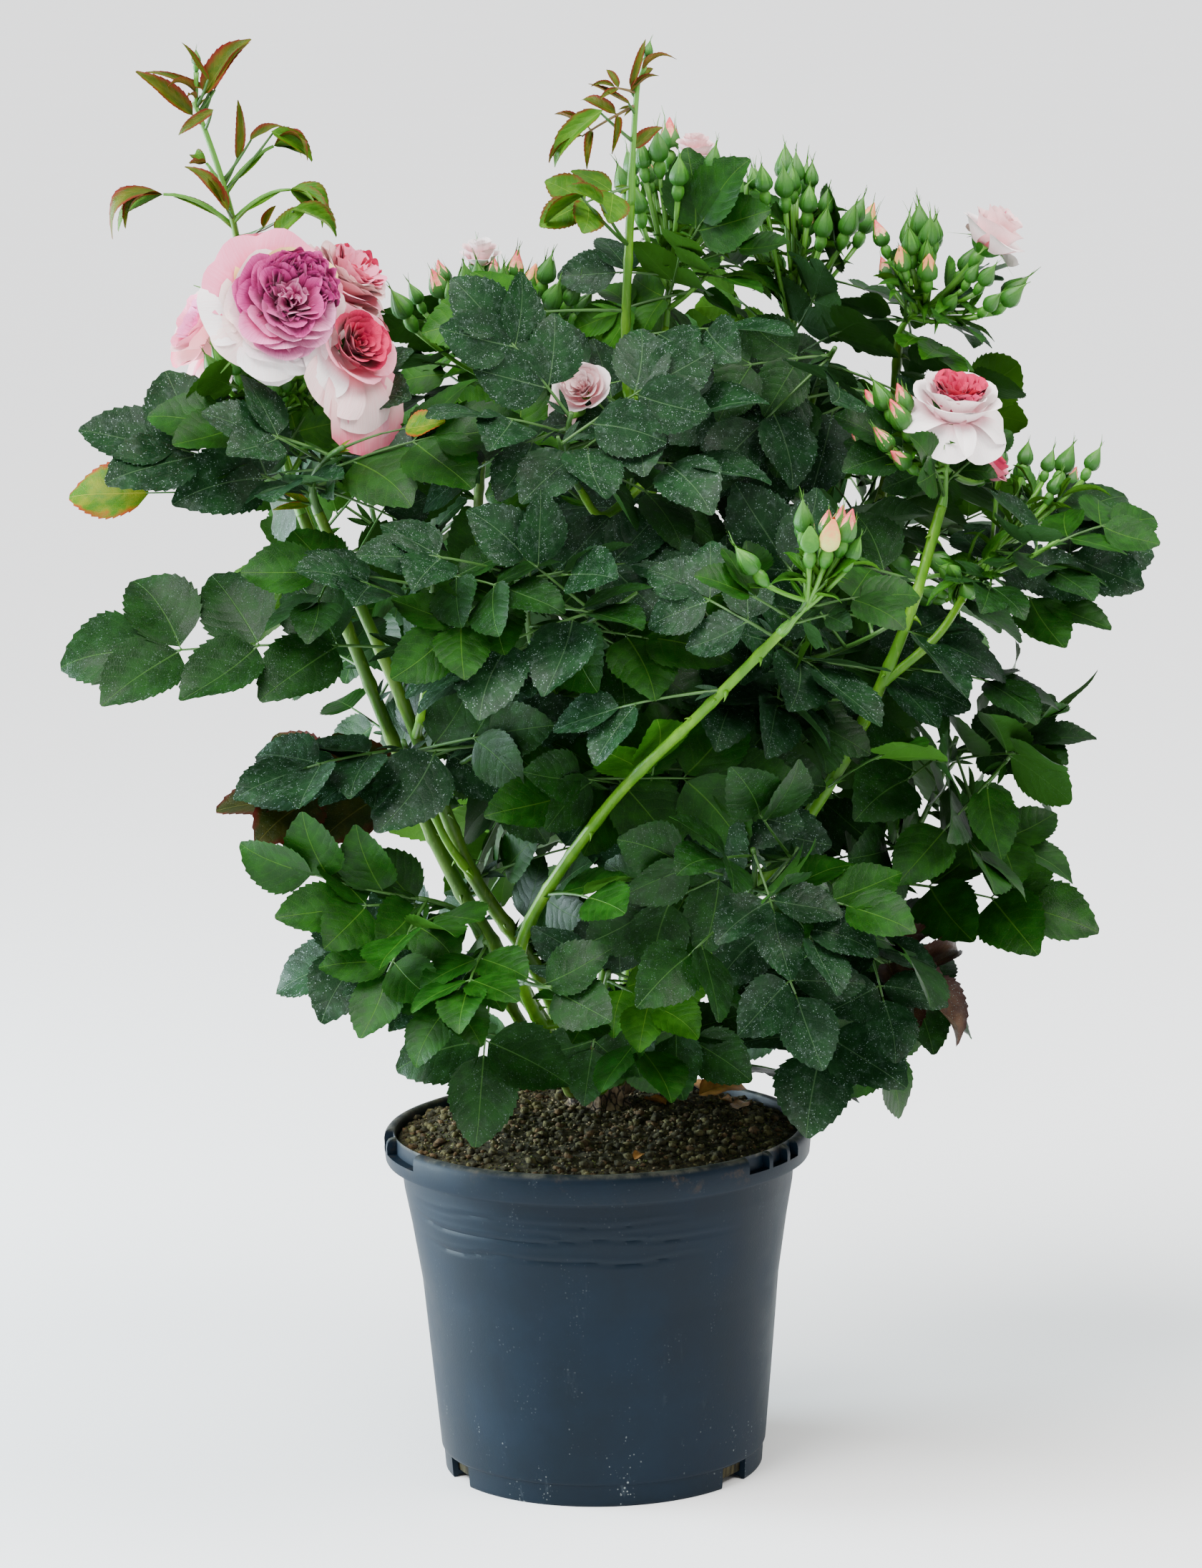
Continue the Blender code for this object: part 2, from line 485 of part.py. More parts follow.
def grow_leaf(growth, base, tip, normal, pairs, least):
    """Shape of one compound leaf, or None where fewer than the least leaflets have room."""
    young = pairs <= 0
    pairs = abs(pairs)
    way = tip - base
    length = way.length
    along = way / length
    side = along.cross(normal).normalized()
    face = side.cross(along)

    def stalk(s):
        return base + way * s + face * length * STALK_ARCH * s * (1 - s)

    share = LEAFLET_SHARE[pairs]
    width = LEAF_WIDTH * (YOUNG_NARROWING if young else 1.0)
    end = max(1 - share, SHORTEST_STALK)
    start = stalk(end)
    rows = {"end": (start, tip, face, (tip - start).length * width)}
    for pair, place in enumerate(PAIR_PLACES[pairs]):
        root = stalk(place)
        for hand in (-1, 1):
            heading = along * math.cos(SIDE_ANGLE) + side * hand * math.sin(SIDE_ANGLE)
            heading = (heading - face * LEAFLET_DROOP).normalized()
            size = length * share * SIDE_SIZE
            turned = (face + side * hand * LEAFLET_DROOP).normalized()
            rows[(pair, hand)] = (root, root + heading * size, turned, size * width)
    line = tube_shape([stalk(FREE_FROM), stalk(end * 0.5), start], [STALK_RADIUS] * 3, 3)
    foot = tube_shape([base, stalk(FREE_FROM)], [STALK_RADIUS] * 2, 3)
    if not growth.clear(line) or not growth.clear(foot, of_limbs_only=True):
        return None
    kept = {}
    for key, (root, point, up, size) in rows.items():
        thick = blade_shape(root.lerp(point, 0.08), point, up, size + 0.001, TEST_KEEL)
        if growth.clear(thick):
            kept[key] = (root, point, up, size)
        elif key == "end":
            return None
    if len(kept) < min(least, len(rows)):
        return None
    growth.add(line)
    for blade in kept.values():
        growth.add(blade_shape(*blade, LEAF_KEEL))
    return leaf_shape(stalk, PAIR_PLACES[pairs], side, face, kept)


def grow_bloom(stem_end, centre, facing, radius):
    """A bloom as a turned rosette, and the flower stalk under it."""
    facing = Vector(facing).normalized()
    base = Vector(centre) - facing * radius * 0.62
    stations = ((0.0, 0.0), (radius * 0.10, radius * 0.30), (radius * 0.42, radius * 0.86),
                (radius * 0.80, radius), (radius * 0.98, radius * 0.66), (radius * 0.84, 0.0))
    bloom = spindle_shape(base, facing, stations, BLOOM_SIDES)
    joint = base + facing * radius * 0.25
    bend = base - facing * min(radius, 0.5 * (base - stem_end).length)
    points = [bezier_point(stem_end, bend, joint, i / 3) for i in range(4)]
    return [bloom, tube_shape(points, [STEM_RADIUS] * 4, 3)]


def bud_shape(root, base, axis):
    """A bud with its stalk, as one three-sided spindle."""
    points = [root, base, base + axis * BUD_LENGTH * 0.32, base + axis * BUD_LENGTH]
    return tube_shape(points, [STALK_RADIUS * ROOT_TAPER, STALK_RADIUS, BUD_RADIUS, 0.0003], 3)


def mass_stems(limbs):
    """Start, bend and tip of each mass's stem, which goes on from the tip of its limb."""
    stems = {}
    for name, (limb, tip, _, _, _, _, _) in MASSES.items():
        path = limbs[limb][0]
        way = (path[-1] - path[-2]).normalized()
        start = path[-1] + way * GAP
        tip = Vector(tip)
        stems[name] = (start, start + way * (tip - start).length * 0.45, tip)
    return stems


def sunk_end(stem):
    """A point just inside the tip of a stem, where its flower stalks start."""
    start, bend, tip = stem
    return tip + (bend - tip).normalized() * ROOT_DEPTH


def grow_masses(limbs):
    """All pieces of every mass, each a closed shape sunk into the one it grows from."""
    growth = Growth(limbs)
    stems = mass_stems(limbs)
    pieces = {name: [] for name in MASSES}
    for name, stem in stems.items():
        points = [bezier_point(*stem, i / 3) for i in range(4)]
        radii = [STEM_RADIUS * (1.1 - 0.1 * i) for i in range(4)]
        shape = tube_shape(points, radii, 3, stem[1] - stem[0])
        pieces[name].append(shape)
        growth.add(shape)
    for name, centre, facing, radius in BLOOMS:
        for shape in grow_bloom(sunk_end(stems[name]), centre, facing, radius):
            growth.add(shape)
            pieces[name].append(shape)
    for cluster in BUD_CLUSTERS:
        grow_buds(growth, stems, pieces, *cluster)
    for name, place, tip, pairs in PLACED_LEAVES:
        base = bezier_point(*stems[name], place)
        tip = Vector(tip)
        outward = Vector((tip.x, tip.y - CROWN_CENTRE.y, 0.0)).normalized()
        normal = UP * 0.55 + outward * 0.25 + VIEW * 0.55
        leaf = grow_leaf(growth, base, tip, normal, pairs, 1)
        if leaf:
            pieces[name].append(leaf)
    for number, name in enumerate(MASSES):
        grow_loose_leaves(growth, stems[name], name, random.Random(100 + number), pieces[name])
    return pieces


def grow_buds(growth, stems, pieces, name, centre, spread, count):
    """A cluster of buds on a dome, their stalks leaving the top of the stem in turn."""
    for i in range(count):
        share = math.sqrt((i + 0.5) / count)
        angle = i * GOLDEN_ANGLE
        offset = Vector((math.cos(angle) * share, math.sin(angle) * share, 0.45 - share * 0.7))
        root = bezier_point(*stems[name], 0.70 + 0.27 * (count - i) / count)
        base = Vector(centre) + offset * spread
        axis = ((base - root).normalized() + UP * 0.8).normalized()
        bud = bud_shape(root, base, axis)
        free = tube_shape([root.lerp(base, 0.3), base, base + axis * BUD_LENGTH],
                          [STALK_RADIUS, BUD_RADIUS, BUD_RADIUS], 3)
        if growth.clear(free):
            growth.add(bud)
            pieces[name].append(bud)


def grow_loose_leaves(growth, stem, name, rng, pieces):
    """Twigs and leaves that follow only the rule: a golden-angle turn from one to the next."""
    _, _, centre, half_size, count, leaf_length, facing = MASSES[name]
    centre = Vector(centre)
    half_size = Vector(half_size)
    turn = rng.uniform(0.0, 2 * math.pi)
    branches = [stem]
    for i in range(count // 3):
        root = bezier_point(*stem, 0.30 + 0.55 * i / max(1, count // 3))
        for attempt in range(12):
            angle = turn + i * GOLDEN_ANGLE + rng.uniform(-1.0, 1.0) * 0.25 * attempt
            aim = Vector((math.cos(angle), math.sin(angle), rng.uniform(0.1, 0.7)))
            tip = centre + Vector((aim.x * half_size.x, aim.y * half_size.y, aim.z * half_size.z)) * 0.5
            bend = root.lerp(tip, 0.5) - UP * 0.10 * (tip - root).length
            points = [bezier_point(root, bend, tip, k / 2) for k in range(3)]
            radii = [STEM_RADIUS * 0.45, STEM_RADIUS * 0.8, STEM_RADIUS * 0.6]
            points.insert(1, bezier_point(root, bend, tip, FREE_FROM))
            radii.insert(1, STEM_RADIUS * 0.8)
            twig = tube_shape(points, radii, 3)
            free = tube_shape(points[1:], radii[1:], 3)
            if (tip - root).length < SHORTEST_TWIG or not growth.clear(twig, of_limbs_only=True):
                continue
            if growth.clear(free):
                growth.add(twig)
                pieces.append(twig)
                branches.append((root, bend, tip))
                break
    for i in range(count):
        branch = branches[i % len(branches)]
        row = i // len(branches)
        rows = math.ceil(count / len(branches))
        place = 0.25 + 0.72 * (rows - row - 0.4) / rows
        base = bezier_point(*branch, place)
        away = Vector((base.x, base.y - CROWN_CENTRE.y, 0.0)).normalized()
        for attempt in range(60):
            angle = turn + i * GOLDEN_ANGLE + rng.uniform(-1.0, 1.0) * min(3.2, 0.1 * attempt)
            lift = math.radians(15 + rng.uniform(-45, 40))
            level = Vector((math.cos(angle), math.sin(angle), 0.0))
            way = (level * math.cos(lift) + UP * math.sin(lift) + away * 0.3).normalized()
            tip = base + way * leaf_length * rng.uniform(0.75, 1.10)
            span = tip - centre
            if sum((span[k] / half_size[k]) ** 2 for k in range(3)) > 1.15:
                continue
            normal = UP.lerp((level + away).normalized(), facing)
            pairs = 1 if leaf_length < 0.08 else 2
            least = 4 if attempt < 20 else 3 if attempt < 40 else 2
            leaf = grow_leaf(growth, base, tip, normal, pairs, least)
            if leaf:
                pieces.append(leaf)
                break


# ---------------------------------------------------------------- objects
def clear_scene():
    for obj in list(bpy.data.objects):
        bpy.data.objects.remove(obj, do_unlink=True)


def make_collection(name):
    collection = bpy.data.collections.new(name)
    bpy.context.scene.collection.children.link(collection)
    return collection


def make_material(name, key):
    colour, roughness = COLOURS[key]
    material = bpy.data.materials.new(name)
    material.use_nodes = True
    shader = material.node_tree.nodes["Principled BSDF"]
    shader.inputs["Base Color"].default_value = (*colour, 1.0)
    shader.inputs["Roughness"].default_value = roughness
    shader.inputs["Metallic"].default_value = 0.0
    return material


def make_object(name, shape, collection):
    """Mesh object from vertices and faces, with every face turned outward."""
    mesh = bpy.data.meshes.new(name)
    mesh.from_pydata(shape[0], [], shape[1])
    soft = bmesh.new()
    soft.from_mesh(mesh)
    bmesh.ops.triangulate(soft, faces=soft.faces)
    bmesh.ops.recalc_face_normals(soft, faces=soft.faces)
    soft.to_mesh(mesh)
    soft.free()
    obj = bpy.data.objects.new(name, mesh)
    collection.objects.link(obj)
    return obj


def freeze(obj):
    """Replace the object's mesh by its evaluated one and drop the modifiers."""
    depsgraph = bpy.context.evaluated_depsgraph_get()
    mesh = bpy.data.meshes.new_from_object(obj.evaluated_get(depsgraph))
    obj.modifiers.clear()
    obj.data = mesh
    return obj


def cut(obj, cutter):
    """Boolean difference, applied, with the cutter removed."""
    cutter.hide_render = True
    cutter.display_type = "WIRE"
    modifier = obj.modifiers.new("cut", "BOOLEAN")
    modifier.operation = "DIFFERENCE"
    modifier.object = cutter
    freeze(obj)
    bpy.data.objects.remove(cutter, do_unlink=True)


def turned(name, profile, collection):
    """Solid turned round Z from a profile of (radius, height), top to bottom on its outside."""
    mesh = bpy.data.meshes.new(name)
    verts = [(radius, 0.0, height) for radius, height in profile]
    mesh.from_pydata(verts, [(i, i + 1) for i in range(len(verts) - 1)], [])
    obj = bpy.data.objects.new(name, mesh)
    collection.objects.link(obj)
    screw = obj.modifiers.new("turn", "SCREW")
    screw.angle = 2 * math.pi
    screw.steps = POT_SEGMENTS
    screw.render_steps = POT_SEGMENTS
    screw.use_merge_vertices = True
    screw.merge_threshold = MERGE
    return freeze(obj)


def sector(name, inner, outer, low, high, start, end, collection):
    """Ring sector between two radii, two heights and two angles in degrees."""
    steps = max(2, int((end - start) / 4))
    verts = []
    for i in range(steps + 1):
        angle = math.radians(start + (end - start) * i / steps)
        for radius, height in ((inner, low), (outer, low), (outer, high), (inner, high)):
            verts.append(Vector((radius * math.cos(angle), radius * math.sin(angle), height)))
    faces = [(3, 2, 1, 0)]
    for i in range(steps):
        a = 4 * i
        for k in range(4):
            n = (k + 1) % 4
            faces.append((a + k, a + n, a + 4 + n, a + 4 + k))
    faces.append(tuple(4 * steps + k for k in range(4)))
    return make_object(name, (verts, faces), collection)


# ---------------------------------------------------------------- pot, soil and crown
def pot_outline():
    """Radius and height down the outside of the pot, from the lip's inner edge to the foot."""
    lip = ((POT_MOUTH_RADIUS, POT_HEIGHT),
           (POT_RIM_RADIUS - 0.0035, POT_HEIGHT - 0.0004),
           (POT_RIM_RADIUS, POT_HEIGHT - 0.0055),
           (POT_RIM_RADIUS - 0.0010, POT_HEIGHT - POT_LIP_HEIGHT))
    ledge_radius, ledge_height = POT_BODY[-1]
    foot = ((ledge_radius - FOOT_LEDGE, ledge_height - FOOT_LEDGE), (POT_FOOT_RADIUS, 0.0))
    return lip + POT_BODY + foot


def pot_inside(clearance):
    """Radius and height up the inside of the pot, drawn in by the clearance."""
    corner = (POT_FOOT_RADIUS - 1.5 * POT_WALL - clearance, POT_FLOOR + min(clearance, GAP))
    walls = [(radius - POT_WALL - clearance, height) for radius, height in reversed(POT_BODY[:-1])]
    return [corner] + walls + [(POT_MOUTH_RADIUS - clearance, POT_THROAT)]


def make_pot(parts, cutters):
    foot_inner = POT_FOOT_RADIUS - POT_WALL
    profile = list(pot_outline())
    profile += [(foot_inner, 0.0), (foot_inner - 0.0010, HUB_RECESS),
                (HUB_RADIUS + 0.0010, HUB_RECESS), (HUB_RADIUS, 0.0), (0.0, 0.0)]
    profile += [(0.0, POT_FLOOR)] + pot_inside(0.0) + [profile[0]]
    pot = turned("pot", profile, parts)
    for angle in NOTCH_ANGLES:
        notch = sector("notch", POT_FOOT_RADIUS - NOTCH_DEPTH, POT_FOOT_RADIUS + NOTCH_DEPTH,
                       -CUT_MARGIN, NOTCH_HEIGHT, angle - NOTCH_SPAN / 2, angle + NOTCH_SPAN / 2,
                       cutters)
        cut(pot, notch)
    for start, end in SLOT_SPANS:
        slot = sector("slot", SLOT_INNER, POT_RIM_RADIUS + CUT_MARGIN, SLOT_FLOOR,
                      POT_HEIGHT + CUT_MARGIN, start, end, cutters)
        cut(pot, slot)
    for i in range(DRAIN_HOLES):
        angle = 2 * math.pi * (i + 0.5) / DRAIN_HOLES
        bpy.ops.mesh.primitive_cylinder_add(
            vertices=8, radius=DRAIN_RADIUS, depth=2 * CUT_MARGIN,
            location=(DRAIN_RING * math.cos(angle), DRAIN_RING * math.sin(angle), 0.0))
        cut(pot, bpy.context.object)
    return pot


def make_soil(parts):
    """Soil that fills the pot, with a low mound round the crown."""
    wall = POT_MOUTH_RADIUS - SOIL_CLEARANCE
    shoulder = ((SOIL_FLAT_RADIUS + wall) / 2, SOIL_TOP - (SOIL_TOP - SOIL_EDGE) * 0.35)
    top = [(0.0, SOIL_TOP), (SOIL_FLAT_RADIUS, SOIL_TOP), shoulder, (wall, SOIL_EDGE)]
    sides = list(reversed(pot_inside(SOIL_CLEARANCE)))
    return turned("soil", top + sides + [(0.0, POT_FLOOR + GAP)], parts)


def crown_shape(extra):
    """Knobbly woody foot: rings that flare at the soil and swell where the canes start."""
    rng = random.Random(7)
    sides = 12
    bumps = [rng.uniform(-0.10, 0.14) for _ in range(sides)]
    verts = []
    rows = ((0.0, 1.0), (0.10, 0.84), (0.35, 0.72), (0.62, 0.86), (0.85, 0.80), (1.0, 0.52))
    for height, share in rows:
        for k in range(sides):
            angle = 2 * math.pi * k / sides
            radius = CROWN_FOOT_RADIUS * share * (1 + bumps[k]) + extra
            lean = Vector((0.004, 0.003, 0.0)) * height
            turn = Vector((math.cos(angle), math.sin(angle), 0.0))
            level = SOIL_TOP + GAP + CROWN_HEIGHT * height
            level += extra if height == 1.0 else 0.0
            verts.append(CROWN_CENTRE + lean + turn * radius + UP * level)
    faces = [tuple(range(sides - 1, -1, -1))]
    for i in range(len(rows) - 1):
        for k in range(sides):
            a = i * sides + k
            b = i * sides + (k + 1) % sides
            faces.append((a, b, b + sides, a + sides))
    faces.append(tuple((len(rows) - 1) * sides + k for k in range(sides)))
    return verts, faces


# ---------------------------------------------------------------- limbs and masses
def limb_object(name, path, radii, extra, collection):
    """A cane as a curve with its own thickness along it, made into a welded mesh."""
    curve = bpy.data.curves.new(name, "CURVE")
    curve.dimensions = "3D"
    curve.bevel_depth = 0.001
    curve.bevel_resolution = 1
    curve.use_fill_caps = True
    spline = curve.splines.new("POLY")
    spline.points.add(len(path) - 1)
    for point, place, radius in zip(spline.points, path, radii):
        point.co = (*place, 1.0)
        point.radius = (radius + extra) / curve.bevel_depth
    line = bpy.data.objects.new(name + "_line", curve)
    collection.objects.link(line)
    depsgraph = bpy.context.evaluated_depsgraph_get()
    mesh = bpy.data.meshes.new_from_object(line.evaluated_get(depsgraph))
    welded = bmesh.new()
    welded.from_mesh(mesh)
    bmesh.ops.remove_doubles(welded, verts=welded.verts, dist=MERGE)
    bmesh.ops.recalc_face_normals(welded, faces=welded.faces)
    welded.to_mesh(mesh)
    welded.free()
    bpy.data.objects.remove(line, do_unlink=True)
    obj = bpy.data.objects.new(name, mesh)
    collection.objects.link(obj)
    return obj


def make_limbs(limbs, parts, cutters):
    """Canes cut clear of the crown, and side shoots cut clear of the cane they leave."""
    made = []
    for name, (path, radii, carrier) in limbs.items():
        limb = limb_object(name, path, radii, 0.0, parts)
        if carrier == "crown":
            cut(limb, make_object("clearance", crown_shape(GAP * 1.2), cutters))
        else:
            carrier_path, carrier_radii, _ = limbs[carrier]
            cut(limb, limb_object("clearance", carrier_path, carrier_radii, GAP * 1.3, cutters))
        made.append(limb)
    return made


def join_mass(name, shapes, parts, joined):
    """One solid from a mass's pieces, by one Boolean union on their collection."""
    body = make_object(name, shapes[0], parts)
    others = [make_object("piece", shape, joined) for shape in shapes[1:]]
    union = body.modifiers.new("join", "BOOLEAN")
    union.operation = "UNION"
    union.operand_type = "COLLECTION"
    union.collection = joined
    union.solver = "EXACT"
    freeze(body)
    for other in others:
        bpy.data.objects.remove(other, do_unlink=True)
    clean_joined(body)
    return body


def face_bodies(mesh):
    """The mesh's faces in groups that hang together by their edges, largest first."""
    left = set(mesh.faces)
    bodies = []
    while left:
        body = []
        front = [left.pop()]
        while front:
            face = front.pop()
            body.append(face)
            for edge in face.edges:
                for other in edge.link_faces:
                    if other in left:
                        left.remove(other)
                        front.append(other)
        bodies.append(body)
    return sorted(bodies, key=len, reverse=True)


def clean_joined(obj):
    """Keep the largest body of a joined mass and merge what its joints cut up needlessly."""
    mesh = bmesh.new()
    mesh.from_mesh(obj.data)
    for body in face_bodies(mesh)[1:]:
        bmesh.ops.delete(mesh, geom=body, context="FACES")
    mesh.to_mesh(obj.data)
    bmesh.ops.remove_doubles(mesh, verts=mesh.verts, dist=MERGE)
    bmesh.ops.dissolve_limit(mesh, angle_limit=FLAT_ANGLE, verts=mesh.verts, edges=mesh.edges)
    bmesh.ops.triangulate(mesh, faces=mesh.faces)
    closed = all(len(edge.link_faces) == 2 for edge in mesh.edges)
    if closed and len(face_bodies(mesh)) == 1:
        mesh.to_mesh(obj.data)
    mesh.free()


def main():
    clear_scene()
    parts = make_collection("rose_bush")
    cutters = make_collection("cutters")
    joined = make_collection("pieces_to_join")

    pot = make_pot(parts, cutters)
    pot.data.materials.append(make_material("pot_plastic", "pot"))
    soil = make_soil(parts)
    soil.data.materials.append(make_material("potting_soil", "soil"))
    crown = make_object("crown", crown_shape(0.0), parts)
    crown.data.materials.append(make_material("crown_bark", "crown"))

    limbs = limb_paths()
    for limb in make_limbs(limbs, parts, cutters):
        limb.data.materials.clear()
        limb.data.materials.append(make_material(limb.name + "_bark", "cane"))
        limb.data.shade_smooth()

    for name, shapes in grow_masses(limbs).items():
        body = join_mass(name, shapes, parts, joined)
        key = "bloom" if name in BLOOM_MASSES else "young" if name in YOUNG_MASSES else "leaf"
        body.data.materials.clear()
        body.data.materials.append(make_material(name + "_finish", key))

    for collection in (cutters, joined):
        bpy.data.collections.remove(collection)


main()
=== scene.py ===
"""Rose bush in its nursery pot: finishes, leaves, blooms, soil, camera and light.

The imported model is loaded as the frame, in metres with +Z up. The pot, the soil, the crown
and the canes are replaced by finer meshes on the same lines. The foliage grows again by the
rule that made its solids, and then goes on to finer twigs, leaves and buds in the same spaces.
"""
import itertools
import random
from math import ceil, cos, degrees, exp, hypot, pi, radians, sin, sqrt

import bpy
import numpy as np
from mathutils import Matrix, Vector, noise
from mathutils.bvhtree import BVHTree


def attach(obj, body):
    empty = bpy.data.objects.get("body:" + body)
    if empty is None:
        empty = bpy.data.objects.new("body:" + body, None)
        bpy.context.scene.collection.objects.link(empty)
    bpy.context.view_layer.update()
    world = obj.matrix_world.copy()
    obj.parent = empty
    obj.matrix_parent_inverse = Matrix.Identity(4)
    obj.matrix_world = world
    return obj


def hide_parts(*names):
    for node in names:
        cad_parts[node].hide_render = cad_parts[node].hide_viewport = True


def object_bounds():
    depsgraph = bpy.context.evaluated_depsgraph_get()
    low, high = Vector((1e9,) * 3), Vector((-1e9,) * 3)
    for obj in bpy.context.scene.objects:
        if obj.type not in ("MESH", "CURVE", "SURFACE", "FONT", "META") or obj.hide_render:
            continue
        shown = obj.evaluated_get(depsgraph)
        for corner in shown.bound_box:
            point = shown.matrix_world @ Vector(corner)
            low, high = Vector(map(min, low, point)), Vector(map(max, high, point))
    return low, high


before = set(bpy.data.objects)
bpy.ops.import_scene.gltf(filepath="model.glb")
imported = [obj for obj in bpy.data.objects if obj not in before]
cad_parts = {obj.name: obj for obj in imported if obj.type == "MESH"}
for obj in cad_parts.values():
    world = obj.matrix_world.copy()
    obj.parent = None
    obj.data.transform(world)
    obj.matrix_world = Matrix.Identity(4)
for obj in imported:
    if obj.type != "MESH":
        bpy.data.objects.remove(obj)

CAD_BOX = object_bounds()

# ---- sizes shared with the solids
GAP = 0.0003
POT_HEIGHT = 0.195
POT_RIM_RADIUS = 0.1195
POT_FOOT_RADIUS = 0.0896
POT_LIP_HEIGHT = 0.0165
POT_WALL = 0.0022
POT_FLOOR = 0.004
POT_MOUTH_RADIUS = 0.1130
POT_THROAT = 0.1840
POT_BODY = ((0.1100, 0.1763), (0.1088, 0.1640), (0.1050, 0.1430), (0.1000, 0.1100), (0.0915, 0.0130))
HUB_RADIUS = 0.030
HUB_RECESS = 0.0016
FOOT_LEDGE = 0.0010
NOTCH_HEIGHT = 0.012
NOTCH_DEPTH = 0.012
NOTCH_ANGLES = (206.0, 324.0, 85.0)
NOTCH_SPAN = 14.0
DRAIN_HOLES = 4
DRAIN_RADIUS = 0.006
DRAIN_RING = 0.060
SLOT_SPANS = ((180.0, 190.0), (192.0, 212.0), (314.0, 322.0), (323.6, 331.0), (332.6, 338.0))
SLOT_INNER = 0.1145
SLOT_FLOOR = 0.1860
SOIL_EDGE = 0.1905
SOIL_TOP = 0.1990
SOIL_FLAT_RADIUS = 0.064
SOIL_CLEARANCE = 0.0006
CROWN_CENTRE = Vector((0.000, 0.036, 0.0))
CROWN_FOOT_RADIUS = 0.021
CROWN_HEIGHT = 0.034

LEAF_KEEL = 0.0012
LEAF_WIDEST = 0.42
STEM_RADIUS = 0.0020
STALK_RADIUS = 0.0010
ROOT_TAPER = 0.5
ROOT_DEPTH = 0.0025
GOLDEN_ANGLE = radians(137.508)
UP = Vector((0.0, 0.0, 1.0))
VIEW = Vector((0.0, -1.0, 0.25))
LEAFLET_SHARE = {0: 1.0, 1: 0.54, 2: 0.43, 3: 0.28}
PAIR_PLACES = {0: (), 1: (0.40,), 2: (0.20, 0.49), 3: (0.24, 0.45, 0.66)}
SHORTEST_STALK = 0.14
STALK_ARCH = 0.22
LEAFLET_DROOP = 0.16
SIDE_ANGLE = radians(68.0)
SIDE_SIZE = 0.94
LEAF_WIDTH = 0.78
YOUNG_NARROWING = 0.5
TEST_KEEL = 0.0025
FREE_FROM = 0.15
SHORTEST_TWIG = 0.03
LIMB_CLEARANCE = 0.0012
RIM_CLEARANCE = (0.012, 0.007)   # aside of the rim and above the soil
MOST_PIECES = 16384              # room for the tests of distance
TWIG_TRIES = 12
LEAF_TRIES = 60

# ---- camera
IMAGE_HEIGHT = 2192
FOCAL_PIXELS = 7800.7
CAMERA_PLACE = (0.0058, -3.0454, 0.9415)
CAMERA_PITCH = radians(-10.284)
CAMERA_ROLL = radians(-1.136)
FILM_HEIGHT = 36.0


def metres(table):
    """A table with its points in metres; a point starts with a whole number of millimetres."""
    if isinstance(table, dict):
        return {name: metres(row) for name, row in table.items()}
    if not isinstance(table, tuple):
        return table
    if isinstance(table[0], int):
        return tuple(value / 1000 for value in table)
    return tuple(metres(value) for value in table)


# Points in the tables are in millimetres. Canes: radius at the crown, radius at the tip, and
# the points that each passes through.
CANES = metres({
    "cane_left_rear": (0.0048, 0.0032, ((-11, 35, 216), (-52, 10, 290), (-85, -10, 357),
        (-119, -20, 448), (-155, -15, 545))),
    "cane_left_front": (0.0046, 0.0030, ((-6, 26, 214), (-34, -10, 290), (-67, -35, 349),
        (-102, -55, 449), (-144, -50, 550))),
    "cane_tall": (0.0046, 0.0026, ((6, 40, 218), (33, 20, 340), (40, -4, 450), (36, -22, 560),
        (24, -30, 619), (28, -30, 715))),
    "cane_front": (0.0046, 0.0030, ((2, 20, 212), (-34, -38, 270), (-37, -80, 322), (9, -130, 400),
        (60, -156, 455), (103, -170, 500))),
    "cane_right": (0.0046, 0.0028, ((10, 27, 216), (84, -40, 329), (134, -64, 405), (170, -67, 480),
        (193, -50, 547))),
    "cane_low_right": (0.0040, 0.0026, ((10, 33, 207), (49, 44, 219), (83, 50, 242), (130, 40, 280),
        (156, 30, 313))),
    "cane_rear_right": (0.0042, 0.0026, ((6, 50, 216), (75, 90, 371), (104, 82, 500), (113, 60, 607))),
    "cane_rear_left": (0.0042, 0.0026, ((-6, 49, 216), (-47, 120, 368), (-61, 110, 507), (-54, 60, 593))),
    "cane_far_right": (0.0042, 0.0026, ((13, 44, 211.5), (112, 140, 384), (166, 100, 526), (176, 40, 630))),
    "cane_rear_middle": (0.0040, 0.0026, ((0, 54, 212), (17, 150, 362), (24, 170, 497))),
    "cane_low_left": (0.0040, 0.0026, ((-13, 28, 209), (-42, -28, 262), (-63, -70, 321))),
})

